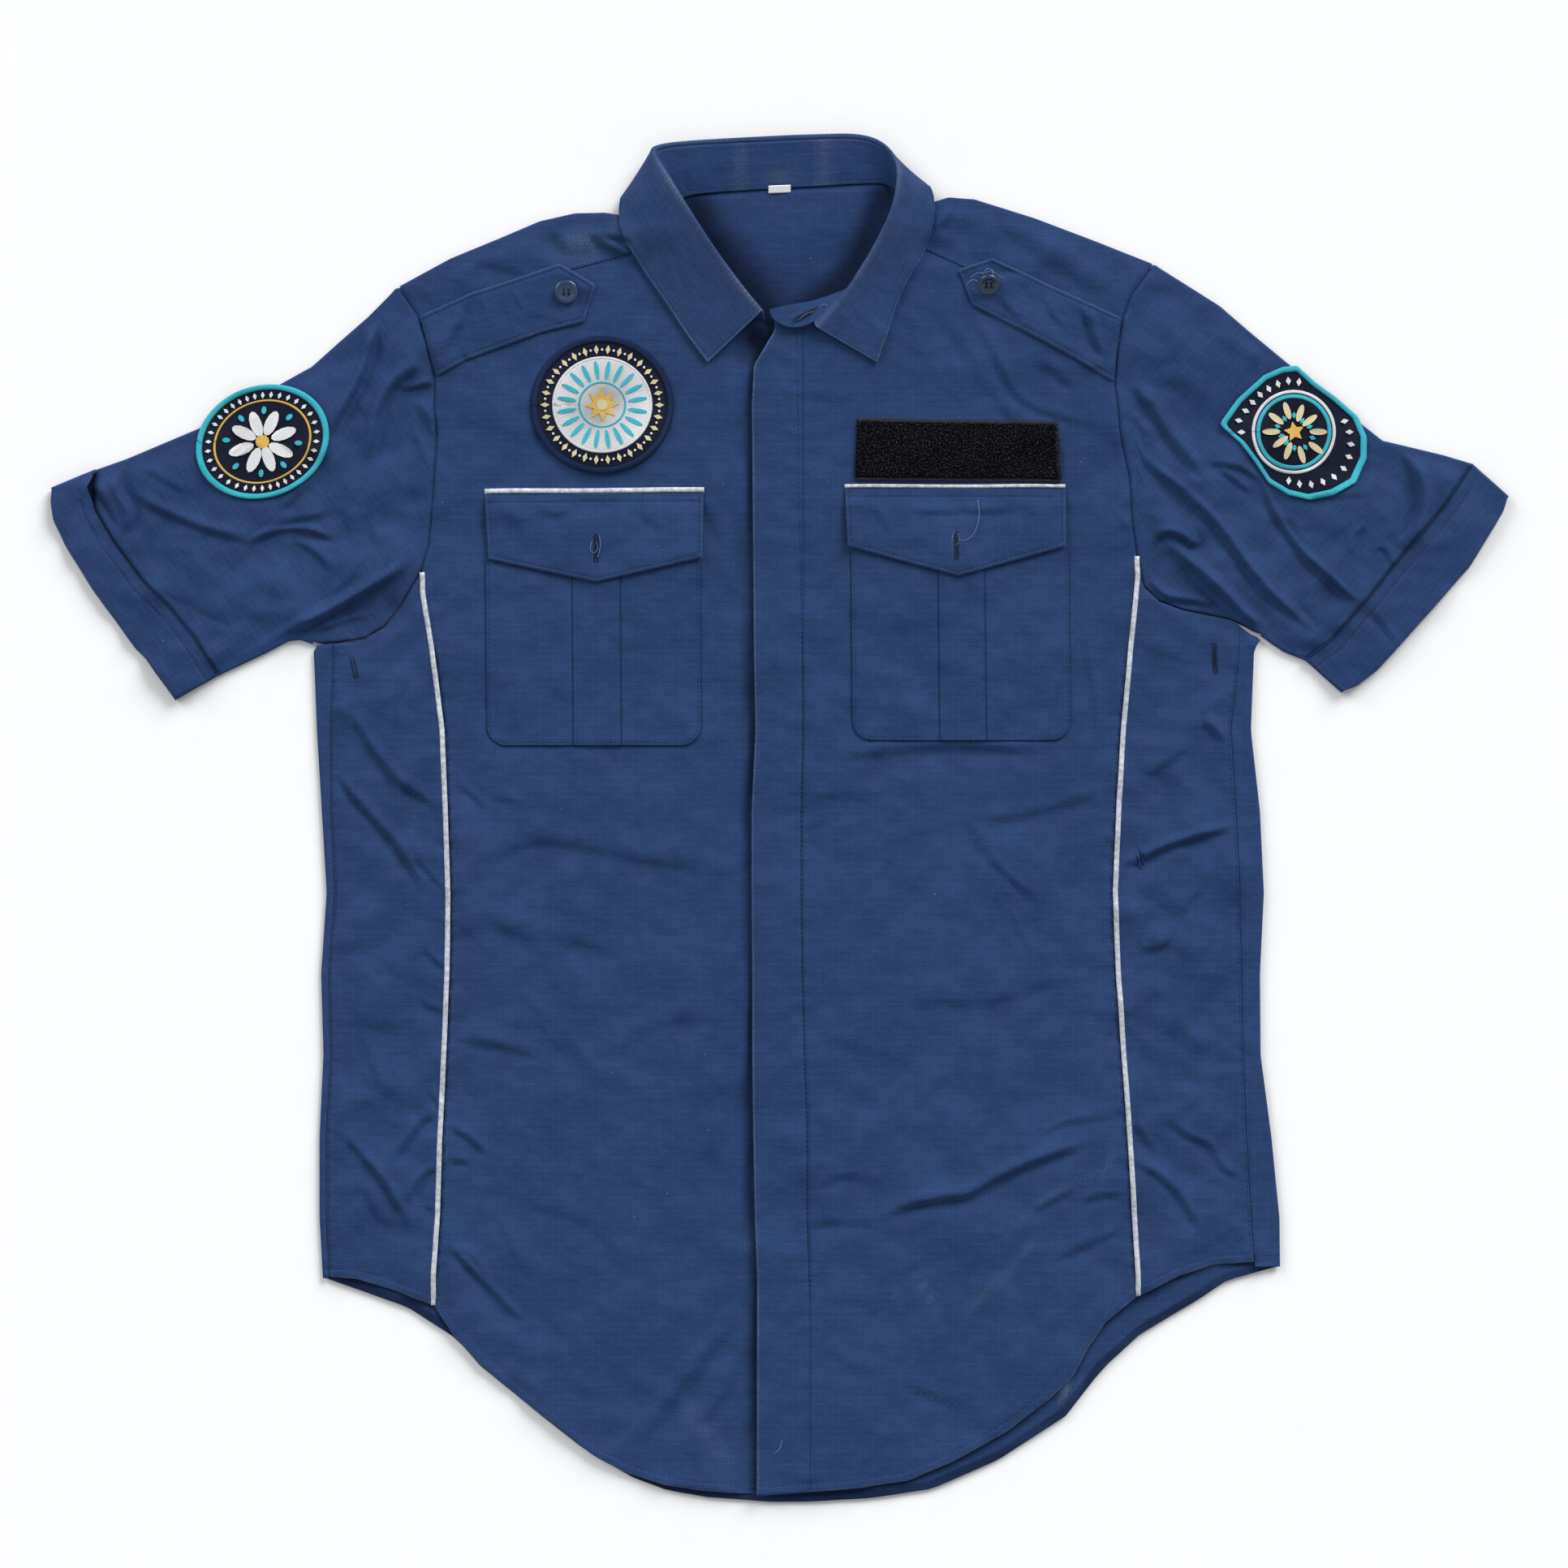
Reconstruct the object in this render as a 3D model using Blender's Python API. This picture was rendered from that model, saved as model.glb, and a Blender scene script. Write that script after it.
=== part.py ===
"""A short-sleeved police shirt laid flat on its back on a table.

Frame in millimetres: +X to the wearer's left, +Y from the hem to the collar, +Z up from the table.
The origin is the bottom centre of the bounding box.
"""

import math

import bmesh
import bpy
import numpy as np
from mathutils import Matrix, Vector

MM = 0.001
WALL = 1.0  # cloth of a panel
SEAM = 0.3  # gap to a seam line on either side
NECK_SEAM = 2.3  # panel edge to the middle of the collar band
EDGE = 3.4  # height of a side or shoulder fold
REST = 4.6  # height of the top layer away from the folds
LOWEST = 3.0  # deepest trough of the top layer
EASE = 16.0  # width over which the top layer drops to a fold
OVERLAP = 1.35  # lift of the left front over the right front
NECK_LIFT = 1.9  # lift of the yoke where the collar lies under it
WELD = 1e-6

# Body lines by height, x at each y: side fold, side seam and piping of the wearer's right,
# closing edge, placket seam, piping, side seam and side fold of the wearer's left.
BODY_Y = (-282.8, -246.2, -196.2, -146.2, -96.2, -46.2, 3.8, 53.8, 103.8)
FOLD_R = (-281.2, -283.2, -283.2, -280.8, -282.2, -278.8, -281.8, -284.8, -286.8)
SIDE_R = (-277.2, -279.0, -279.0, -276.4, -277.6, -273.8, -276.2, -276.4, -274.8)
PIPE_R = (-211.2, -208.8, -207.2, -204.8, -202.8, -202.2, -203.8, -205.8, -212.2)
CLOSE = (-13.8, -15.2, -16.2, -16.8, -16.8, -17.2, -17.2, -14.8, -15.8)
SEAM_L = (18.2, 16.8, 16.8, 15.2, 13.8, 13.2, 13.2, 14.2, 13.8)
PIPE_L = (218.8, 216.8, 213.8, 210.2, 206.8, 204.8, 206.8, 209.8, 214.2)
SIDE_L = (292.8, 290.2, 287.2, 285.2, 284.2, 283.2, 280.8, 277.8, 283.0)
FOLD_L = (308.2, 307.8, 302.8, 296.2, 295.8, 298.2, 295.8, 290.2, 292.2)

# Curves, as (x, y) points.
HEM_FRONT = (
    (-281.2, -282.2), (-259.8, -283.8), (-239.2, -290.2), (-212.8, -300.2), (-200.2, -318.8),
    (-184.2, -337.2), (-159.8, -357.2), (-135.2, -375.8), (-114.8, -392.2), (-94.2, -403.2),
    (-69.8, -410.8), (-45.2, -414.2), (-8.8, -416.8), (24.8, -414.2), (50.2, -412.2),
    (79.8, -407.8), (107.2, -395.8), (139.8, -377.8), (167.2, -356.8), (180.8, -343.2),
    (190.2, -326.2), (200.8, -310.2), (219.8, -294.8), (245.2, -282.2), (268.2, -275.2),
    (292.2, -273.2), (308.2, -274.8),
)
HEM_BACK = (
    (-281.2, -282.8), (-260.2, -290.2), (-229.2, -301.2), (-200.2, -319.8), (-180.2, -340.2),
    (-150.2, -365.2), (-120.2, -388.8), (-90.2, -406.2), (-69.8, -413.8), (-45.2, -418.2),
    (-4.8, -421.2), (15.8, -421.2), (56.8, -418.8), (93.8, -413.2), (134.8, -395.2),
    (176.2, -368.2), (199.2, -338.8), (222.2, -317.8), (256.8, -297.2), (275.2, -284.8),
    (308.2, -275.8),
)
ARM_SIDE_R = (
    (-234.8, 326.8), (-222.8, 309.8), (-216.8, 292.2), (-211.8, 271.2), (-212.2, 251.8),
    (-210.8, 230.2), (-213.2, 195.2), (-215.8, 167.2), (-220.2, 152.2),
)
ARM_LOW_R = (
    (-220.2, 152.2), (-232.8, 130.8), (-242.8, 117.6), (-255.8, 110.0), (-271.2, 107.6),
    (-287.2, 106.2),
)
ARM_SIDE_L = (
    (230.2, 340.8), (216.2, 321.8), (211.2, 307.8), (207.8, 288.8), (206.2, 266.8),
    (208.2, 251.8), (209.2, 237.2), (215.2, 209.2), (216.8, 181.2), (219.8, 162.2),
)
ARM_LOW_L = (
    (219.8, 162.2), (223.8, 142.8), (233.8, 133.2), (248.2, 127.8), (263.2, 124.8),
    (276.8, 121.8), (287.2, 117.2), (296.8, 110.8),
)
TOP_R = (
    (-235.6, 326.2), (-252.8, 308.8), (-272.2, 291.8), (-287.8, 277.8), (-311.2, 264.8),
    (-334.2, 251.8), (-357.2, 239.8), (-380.8, 229.8), (-402.2, 220.8), (-420.6, 214.3),
)
TOP_L = (
    (231.0, 340.3), (270.8, 315.2), (289.8, 298.8), (312.8, 279.8), (339.8, 257.8),
    (352.2, 247.2), (371.2, 232.2), (392.2, 227.2), (408.8, 223.2), (426.8, 217.8),
)
UNDER_R = ((-287.2, 106.8), (-295.2, 109.4), (-302.2, 108.6), (-316.2, 101.2), (-345.8, 87.2))
UNDER_L = ((296.8, 111.4), (303.2, 106.8), (310.8, 101.8), (323.8, 96.8))
CUFF_LINE_R = (
    (-420.6, 214.3), (-423.6, 203.8), (-421.2, 189.8), (-410.8, 171.2), (-393.8, 147.8),
    (-374.2, 127.8), (-360.8, 111.2), (-345.8, 87.2),
)
CUFF_LINE_L = (
    (426.8, 217.8), (408.8, 190.8), (383.8, 161.2), (359.2, 131.2), (339.8, 108.8), (323.8, 96.8),
)
CUFF_EDGE_R = (
    (-448.2, 203.2), (-448.8, 195.8), (-447.2, 184.2), (-440.2, 168.8), (-422.2, 139.8),
    (-395.8, 103.2), (-388.8, 96.2), (-371.8, 72.2),
)
CUFF_EDGE_L = (
    (448.8, 197.8), (446.2, 189.2), (425.2, 154.8), (408.8, 136.2), (383.8, 108.2),
    (367.2, 89.8), (354.2, 79.8), (345.8, 76.8),
)
SHOULDER_R = (
    (-234.0, 327.2), (-202.8, 344.2), (-172.2, 356.8), (-147.8, 367.2), (-125.8, 372.2),
    (-108.0, 372.5), (-90.0, 369.5), (-66.0, 373.5),
)
SHOULDER_L = (
    (229.4, 341.1), (193.8, 355.2), (156.8, 369.2), (119.8, 380.8), (104.2, 381.8),
    (90.0, 377.5), (78.0, 377.0),
)
NECK_BACK = (
    (-66.0, 372.0), (-61.0, 379.0), (-52.0, 383.5), (-42.8, 384.6), (-12.2, 386.8),
    (19.8, 388.6), (51.2, 390.4), (64.0, 389.5), (71.5, 383.0), (78.0, 375.5),
)
YOKE_SEAM_R = (
    (-219.2, 303.8), (-191.2, 317.2), (-160.2, 327.8), (-125.2, 337.2), (-91.8, 346.8),
    (-57.6, 359.8),
)
YOKE_SEAM_L = (
    (209.8, 295.8), (179.8, 306.2), (144.8, 322.8), (109.8, 339.8), (89.8, 349.2), (71.6, 358.8),
)
NECK_R = (
    (-56.2, 359.8), (-49.2, 347.8), (-38.2, 332.8), (-24.2, 316.8), (-7.8, 304.8), (14.0, 300.0),
)
NECK_L = ((11.8, 314.2), (23.2, 316.8), (38.2, 322.8), (49.8, 331.2), (61.2, 342.8), (69.8, 358.8))
YOKE_BACK_SEAM = ((-210.8, 230.0), (209.2, 236.0))

# Larger folds of the top layer: start, end, half width and height.
FOLDS = (
    (-228, 172, -296, 146, 17, 2.6), (-227, 154, -292, 121, 9, -1.8),
    (-232, 300, -330, 180, 26, 1.6), (-262, 288, -268, 214, 10, -1.0),
    (-330, 196, -392, 206, 20, 1.6), (-369, 190, -278, 184, 8, -1.2),
    (268, 188, 303, 138, 9, 1.8), (303, 184, 359, 129, 10, 2.0), (300, 138, 334, 105, 9, 1.4),
    (238, 166, 294, 122, 9, -1.4), (376, 228, 392, 190, 10, -1.6), (400, 214, 402, 178, 12, 1.6),
    (-270, 77, -208, 1, 11, 1.5), (-259, 93, -233, 66, 9, 1.2), (-249, -21, -221, -50, 10, 1.0),
    (208, -31, 279, -7, 11, 1.4), (68, -244, 204, -202, 13, 1.3), (78, -348, 135, -361, 10, 1.0),
    (-17, -319, -45, -376, 11, 1.3), (125, 300, 178, 256, 14, 0.7), (-190, 20, -182, -220, 22, 1.0),
    (180, 10, 172, -190, 24, 1.0), (-60, -60, -90, -330, 30, 0.8), (60, -80, 84, -300, 30, 0.7),
)

# Collar by row from the right front round the back to the left front: seam x, y, z, roll x, y, z,
# drop from the band to the leaf at the roll, leaf edge x, y, and 1 where the leaf lies over the cloth.
COLLAR = (
    (-9.4, 306.6, 3.9, -10.4, 311.8, 9.5, 0.0, -44.2, 279.8, 1.0),
    (-24.2, 316.8, 3.9, -23.2, 327.2, 14.0, 0.0, -57.2, 297.2, 1.0),
    (-37.2, 332.8, 3.9, -40.2, 349.8, 18.0, 0.0, -70.8, 317.8, 1.0),
    (-50.2, 350.8, 3.9, -57.2, 375.8, 20.0, 0.0, -85.2, 338.8, 1.0),
    (-57.8, 365.8, 4.0, -70.2, 396.8, 18.0, 0.0, -97.2, 360.8, 1.0),
    (-60.5, 378.5, 3.6, -77.2, 408.8, 15.0, 1.0, -97.5, 381.0, 0.5),
    (-58.0, 383.6, 3.4, -74.2, 413.2, 11.5, 2.4, -88.0, 379.0, 0.08),
    (-42.8, 385.9, 3.4, -55.2, 416.2, 8.4, 2.4, -59.2, 371.8, 0.0),
    (-12.2, 388.1, 3.4, -12.2, 418.8, 7.6, 2.4, -12.2, 372.8, 0.0),
    (19.8, 389.9, 3.4, 19.8, 420.2, 7.6, 2.4, 21.2, 374.8, 0.0),
    (51.2, 391.7, 3.4, 47.2, 420.2, 8.4, 2.4, 53.8, 376.8, 0.0),
    (65.5, 391.0, 3.4, 62.2, 415.2, 11.0, 2.4, 80.0, 383.0, 0.08),
    (73.4, 384.5, 3.6, 70.2, 405.2, 14.0, 1.0, 92.0, 388.0, 0.5),
    (74.4, 374.8, 4.0, 72.2, 392.8, 17.0, 0.0, 95.2, 371.8, 1.0),
    (70.8, 359.8, 3.9, 68.2, 372.8, 19.0, 0.0, 89.2, 348.2, 1.0),
    (61.8, 343.8, 3.9, 57.2, 349.8, 18.0, 0.0, 78.2, 328.8, 1.0),
    (50.8, 332.2, 3.9, 48.8, 335.8, 16.0, 0.0, 71.2, 312.8, 1.0),
    (40.8, 324.8, 5.2, 40.8, 323.2, 14.0, 0.0, 66.8, 298.8, 1.0),
    (30.8, 319.8, 6.4, 31.8, 312.2, 12.5, 0.0, 63.2, 288.8, 1.0),
    (19.8, 316.2, 7.2, 21.8, 301.8, 11.0, 0.0, 60.2, 279.8, 1.0),
)
# Front tab of the band past the last row: seam x, y, z, roll x, y, z.
TAB = (
    (12.2, 314.8, 7.4, 13.8, 298.2, 10.0), (3.8, 313.2, 7.6, 4.8, 298.2, 9.6),
    (-3.2, 311.8, 7.8, -2.2, 301.8, 9.2), (-6.0, 310.8, 7.8, -5.8, 306.6, 8.8),
)
BAND_WALL = 1.4
BAND_STOP = 3.3  # from the roll line back to the band's upper edge
LEAF_WALL = 1.4
LEAF_OVER = 1.8  # middle of the leaf over the cloth

# Straps, pockets and what lies on the fronts.
STRAP_R = {
    "outer": ((-210.8, 271.2), (-221.4, 308.6)), "top": ((-221.4, 308.6), (-190.0, 322.6), (-135.2, 340.8)),
    "tip": ((-120.2, 304.8), (-112.8, 327.8), (-135.2, 340.8)),
    "bottom": ((-210.8, 271.2), (-191.2, 282.2), (-145.2, 298.8), (-120.2, 304.8)),
}
STRAP_L = {
    "outer": ((205.4, 268.2), (210.0, 307.6)), "top": ((210.0, 307.6), (160.2, 330.6), (130.8, 344.2)),
    "tip": ((118.8, 315.2), (109.8, 337.2), (130.8, 344.2)),
    "bottom": ((205.4, 268.2), (185.2, 280.4), (160.2, 293.8), (138.8, 304.8), (118.8, 315.2)),
}
STRAP_WALL = 1.4
ON_CLOTH = 0.45  # lower face of a piece over the cloth that it lies on
POCKET_WALL = 1.0
PLEAT_RISE = 0.5
FLAP_OVER = 2.3  # lower face of a flap over the front, above its pocket
FLAP_WALL = 1.2
POCKETS = (
    # name, left edge, right edge, mouth y, bottom y, left pleat line, right pleat line, corner, lean
    ("pocket_right", -181.0, -49.2, 186.0, 44.2, -127.8, -98.2, 12.0, 2.0),
    ("pocket_left", 43.6, 177.6, 186.0, 47.4, 97.2, 126.0, 12.0, -2.6),
)
FLAPS = (
    # name, top left, top right, right corner, point, left corner
    ("flap_right", (-181.2, 198.7), (-46.8, 199.7), (-47.2, 159.8), (-112.8, 144.8), (-178.8, 158.8)),
    ("flap_left", (40.2, 202.3), (175.8, 202.3), (175.8, 166.8), (109.8, 148.4), (41.8, 166.8)),
)
FLAP_PIPES = (
    # name, left x, y, right x, y, width
    ("flap_piping_right", -181.4, 202.4, -46.4, 203.4, 3.4),
    ("flap_piping_left", 40.0, 205.2, 175.8, 205.2, 2.6),
)
PIPE_WIDTH = 3.3
PIPE_WALL = 1.0
STRIP = ((47.8, 245.8), (171.2, 243.8), (173.2, 206.6), (46.2, 207.6))
STRIP_WALL = 2.0
PATCH_WALL = 1.5
SHIELD = (
    (318.2, 278.2), (329.2, 268.2), (342.2, 258.8), (355.8, 246.8), (361.2, 234.2), (361.2, 220.8),
    (354.2, 205.8), (340.8, 198.2), (325.8, 195.2), (312.8, 198.2), (300.8, 205.8), (292.8, 217.8),
    (282.8, 230.8), (271.8, 240.8), (271.2, 243.2), (281.2, 257.2), (297.8, 272.2), (309.2, 277.2),
)
SHIELD_CENTRE = (316.2, 237.2)
CHEST_PATCH = (-109.0, 253.8, 44.0, 42.5, 0.0)  # centre x, y, radii, turn in degrees
OVAL_PATCH = (-317.8, 231.2, 42.0, 34.5, 20.0)
LABEL = (-6.8, 6.8, 383.4, 386.4)  # left, right, lower and upper edge
LABEL_WALL = 0.4
BUTTON = 14.5
BUTTON_THICK = 2.4
BUTTON_RIM = 1.6
BUTTON_DISH = 0.5
BUTTON_HOLE = 1.7
HOLE_SPACING = 3.0
BUTTONS = (
    # name, x, y, tilt in degrees about the X axis, lift of the centre over the strap
    ("button_right", -131.0, 323.2, 4.0, 1.9),
    ("button_left", 128.5, 327.2, 38.0, 6.1),
)

COLOURS = {
    "navy_cloth": ((0.026, 0.052, 0.150, 1.0), 0.85),
    "white_piping": ((0.72, 0.75, 0.80, 1.0), 0.45),
    "black_loop": ((0.012, 0.012, 0.014, 1.0), 0.95),
    "patch_thread": ((0.020, 0.045, 0.130, 1.0), 0.70),
    "navy_button": ((0.018, 0.030, 0.080, 1.0), 0.30),
    "white_label": ((0.78, 0.80, 0.84, 1.0), 0.60),
}


def clear_scene():
    for item in list(bpy.data.objects):
        bpy.data.objects.remove(item, do_unlink=True)


def material(slot):
    found = bpy.data.materials.get(slot)
    if found:
        return found
    made = bpy.data.materials.new(slot)
    made.use_nodes = True
    shader = made.node_tree.nodes["Principled BSDF"]
    colour, roughness = COLOURS[slot]
    shader.inputs["Base Color"].default_value = colour
    shader.inputs["Roughness"].default_value = roughness
    return made


def smooth(t):
    t = np.clip(t, 0.0, 1.0)
    return t * t * (3.0 - 2.0 * t)


def off_segment(x, y, start, end):
    """Distance from a segment, and the place along it from 0 to 1."""
    ax, ay = start
    dx, dy = end[0] - ax, end[1] - ay
    t = ((x - ax) * dx + (y - ay) * dy) / (dx * dx + dy * dy)
    held = np.clip(t, 0.0, 1.0)
    return np.hypot(x - ax - held * dx, y - ay - held * dy), held


def fold_lines():
    sides = [tuple(zip(FOLD_R, BODY_Y)), tuple(zip(FOLD_L, BODY_Y))]
    return sides + [SHOULDER_R, SHOULDER_L, TOP_R, TOP_L, UNDER_R, UNDER_L]


def off_folds(x, y):
    nearest = np.full(np.shape(x), 1e9)
    for line in fold_lines():
        for start, end in zip(line, line[1:]):
            nearest = np.minimum(nearest, off_segment(x, y, start, end)[0])
    return nearest


def under(x, y):
    """Height of the cloth's underside: flat, and lifted over the collar at the back neck."""
    return NECK_LIFT * smooth((y - 345.0) / 17.0) * smooth((114.0 - np.abs(x)) / 12.0)


def top(x, y):
    """Height of the upper face of the top layer, from its rest height and its folds."""
    x = np.asarray(x, float)
    y = np.asarray(y, float)
    rise = np.zeros(np.shape(x))
    for x0, y0, x1, y1, width, height in FOLDS:
        away, along = off_segment(x, y, (x0, y0), (x1, y1))
        rise = rise + height * np.exp(-((away / width) ** 2)) * (0.45 + 0.55 * np.sin(math.pi * along))
    free = np.maximum(REST + rise, LOWEST)
    eased = smooth((off_folds(x, y) - EDGE / 2) / EASE)
    return under(x, y) + EDGE + (free - EDGE) * eased


def along(points, t):
    """Points at the shares t of a curve's length."""
    points = np.array(points, float)
    steps = np.hypot(*np.diff(points, axis=0).T)
    at = np.concatenate([[0.0], np.cumsum(steps)]) / steps.sum()
    return np.stack([np.interp(t, at, points[:, 0]), np.interp(t, at, points[:, 1])], axis=-1)


def height_of(points):
    points = np.array(sorted(points), float)
    return lambda x: np.interp(x, points[:, 0], points[:, 1])


def side_of(points, shift=0.0):
    points = np.array(sorted(points, key=lambda p: p[1]), float)
    return lambda y: np.interp(y, points[:, 1], points[:, 0]) + shift


def between(u, v, left, right, bottom, above):
    """Points of a panel from its side lines x(y) and its end lines y(x)."""
    y = bottom(0.0 * u) + v * (above(0.0 * u) - bottom(0.0 * u))
    x = left(y) + u * (right(y) - left(y))
    for _ in range(40):
        x = (x + left(y) + u * (right(y) - left(y))) / 2
        y = bottom(x) + v * (above(x) - bottom(x))
    return x, y


def cells(mesh, across, deep, place):
    """A grid of across by deep cells, each vertex moved to place(u, v) in millimetres."""
    made = bmesh.ops.create_grid(mesh, x_segments=across, y_segments=deep, size=0.5)["verts"]
    u = np.array([vert.co.x + 0.5 for vert in made])
    v = np.array([vert.co.y + 0.5 for vert in made])
    x, y, z = place(u, v)
    for vert, spot in zip(made, zip(x, y, z)):
        vert.co = Vector(spot) * MM


def finish(mesh, name, slot):
    data = bpy.data.meshes.new(name)
    mesh.to_mesh(data)
    mesh.free()
    data.materials.append(material(slot))
    item = bpy.data.objects.new(name, data)
    bpy.context.scene.collection.objects.link(item)
    return item


def flat_piece(name, slot, across, deep, place, wall):
    """A panel with its lower face straight under the upper one."""
    mesh = bmesh.new()
    cells(mesh, across, deep, place)
    drop = bmesh.ops.extrude_face_region(mesh, geom=mesh.faces[:])["geom"]
    lowered = [part for part in drop if isinstance(part, bmesh.types.BMVert)]
    bmesh.ops.translate(mesh, verts=lowered, vec=(0.0, 0.0, -wall * MM))
    bmesh.ops.recalc_face_normals(mesh, faces=mesh.faces[:])
    return finish(mesh, name, slot)


def shell_piece(mesh, name, slot, wall, offset=-1.0):
    """Joins the grids of a folded piece along their shared edges and gives it a wall."""
    bmesh.ops.remove_doubles(mesh, verts=mesh.verts[:], dist=WELD)
    bmesh.ops.recalc_face_normals(mesh, faces=mesh.faces[:])
    item = finish(mesh, name, slot)
    thick = item.modifiers.new("wall", "SOLIDIFY")
    thick.thickness = wall * MM
    thick.offset = offset
    thick.use_even_offset = True
    return item


def over(x, y, rise):
    return x, y, top(x, y) + rise


def lift_left(x):
    """Lift of the left front from its side to the placket."""
    return OVERLAP * smooth((70.0 - x) / 40.0)


def body_line(values, shift=0.0):
    return side_of(tuple(zip(values, BODY_Y)), shift)


def front_panels():
    arm = [p for p in ARM_SIDE_R if p[1] < 300.0]
    left = side_of([*zip(PIPE_R, BODY_Y), *arm, (-219.2, 303.8)], SEAM)
    above = height_of(
        [(x, y - SEAM) for x, y in YOKE_SEAM_R] + [(x - 1.0, y - NECK_SEAM) for x, y in NECK_R[1:]]
    )
    flat_piece(
        "front_right", "navy_cloth", 14, 24,
        lambda u, v: over(*between(u, v, left, lambda y: 10.0 + 0.0 * y, height_of(HEM_FRONT), above), 0.0),
        WALL,
    )
    arm = [p for p in ARM_SIDE_L if p[1] < 290.0]
    right = side_of([*zip(PIPE_L, BODY_Y), *arm, (209.8, 295.8)], -SEAM)
    above_left = height_of(
        [(x, y - SEAM) for x, y in YOKE_SEAM_L] + [(x + 1.0, y - NECK_SEAM) for x, y in NECK_L]
    )

    def left_front(u, v):
        x, y = between(u, v, body_line(SEAM_L, SEAM), right, height_of(HEM_FRONT), above_left)
        return over(x, y, lift_left(x))

    flat_piece("front_left", "navy_cloth", 14, 24, left_front, WALL)


def placket():
    edge = side_of([*zip(CLOSE, BODY_Y), (-17.0, 253.8), (-15.8, 278.2), (-8.8, 289.8), (-3.0, 300.0)])

    def strip(u, v):
        x, y = between(u, v, edge, body_line(SEAM_L, -SEAM), height_of(HEM_FRONT), lambda x: 309.0 + 0.0 * x)
        return over(x, y, lift_left(x))

    flat_piece("placket", "navy_cloth", 2, 36, strip, WALL)


def side_fronts():
    low_r = height_of([(x, y - 4 * SEAM) for x, y in ARM_LOW_R])
    low_l = height_of([(x, y - 4 * SEAM) for x, y in ARM_LOW_L])
    pipe_r = side_of([*zip(PIPE_R, BODY_Y), (-220.2, 153.2)], -SEAM)
    pipe_l = side_of([*zip(PIPE_L, BODY_Y), (220.2, 163.2)], SEAM)
    hem = height_of(HEM_FRONT)
    flat_piece(
        "side_front_right", "navy_cloth", 4, 24,
        lambda u, v: over(*between(u, v, body_line(SIDE_R, SEAM), pipe_r, hem, low_r), 0.0), WALL,
    )
    flat_piece(
        "side_front_left", "navy_cloth", 4, 24,
        lambda u, v: over(*between(u, v, pipe_l, body_line(SIDE_L, -SEAM), hem, low_l), 0.0), WALL,
    )
    for name, line, out, end in (
        ("side_piping_right", pipe_r, -1.0, 149.0), ("side_piping_left", pipe_l, 1.0, 159.0),
    ):
        def strip(u, v, line=line, out=out, end=end):
            y = -299.0 + v * (end + 299.0)
            x = line(y) + out * (u if out > 0 else 1.0 - u) * PIPE_WIDTH
            return over(x, y, SEAM + PIPE_WALL)

        flat_piece(name, "white_piping", 1, 40, strip, PIPE_WALL)


ROWS = 20  # rows of the back from the hem to the bottom of the armhole
ROWS_ALL = 28


def back_panel():
    """The back lies flat and comes round both sides to the side seams."""
    mesh = bmesh.new()
    inset = EDGE / 2
    low_r, low_l = ARM_LOW_R[-1][1] - 2 * SEAM, ARM_LOW_L[-1][1] - 2 * SEAM
    arm_r = [(x + 2 * SEAM, y) for x, y in ARM_SIDE_R] + [(x + 2.5, y - 1.6) for x, y in ARM_LOW_R[1:-1]]
    arm_l = [(x - 2 * SEAM, y) for x, y in ARM_SIDE_L] + [(x - 2.5, y - 1.6) for x, y in ARM_LOW_L[1:-1]]
    sides_r = [(x + inset, y) for x, y in zip(FOLD_R, BODY_Y)]
    sides_l = [(x - inset, y) for x, y in zip(FOLD_L, BODY_Y)]
    left = side_of([*sides_r, (ARM_LOW_R[-1][0] + inset, low_r), *arm_r])
    right = side_of([*sides_l, (ARM_LOW_L[-1][0] - inset, low_l), *arm_l])
    seam = height_of([(x, y - SEAM) for x, y in YOKE_BACK_SEAM])
    hem = height_of(HEM_BACK)

    def share(u, v):
        """Share of the height, so that one row ends at the bottom of each armhole."""
        row = v * ROWS_ALL
        low = low_r + u * (low_l - low_r)
        x = FOLD_R[0] + u * (FOLD_L[0] - FOLD_R[0])
        meet = (low - hem(x)) / (seam(x) - hem(x))
        past = np.maximum(row - ROWS, 0.0) / (ROWS_ALL - ROWS)
        return np.where(row <= ROWS, meet * row / ROWS, meet + (1 - meet) * past ** 1.8)

    def flat(u, v):
        x, y = between(u, share(u, v), left, right, hem, seam)
        return x, y, 0.0 * x

    cells(mesh, 24, ROWS_ALL, flat)
    for end, out, seams, arm in ((0.0, -1.0, SIDE_R, ARM_LOW_R), (1.0, 1.0, SIDE_L, ARM_LOW_L)):
        seam_at = body_line(seams, out * SEAM)
        arm_at = height_of(arm)
        low = arm[-1][1] - 2 * SEAM

        def wrap(u, v, end=end, out=out, seam_at=seam_at, arm_at=arm_at, low=low):
            row = np.round(v * ROWS) / ROWS_ALL
            x0, y0 = between(end + 0.0 * v, share(end + 0.0 * v, row), left, right, hem, seam)
            step = u * 6
            turn = np.minimum(step, 4) * math.pi / 4
            past = np.maximum(step - 4, 0) / 2
            x = x0 + out * inset * np.sin(turn)
            rise = (v ** 5) * past * np.maximum(arm_at(seam_at(y0)) - 2 * SEAM - low, 0.0)
            x = x + past * (seam_at(y0 + rise) - x0)
            z = inset * (1 - np.cos(turn)) + past * (top(x, y0 + rise) - EDGE)
            return x, y0 + rise, z

        cells(mesh, 6, ROWS, wrap)
    shell_piece(mesh, "back_panel", "navy_cloth", WALL)


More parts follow.
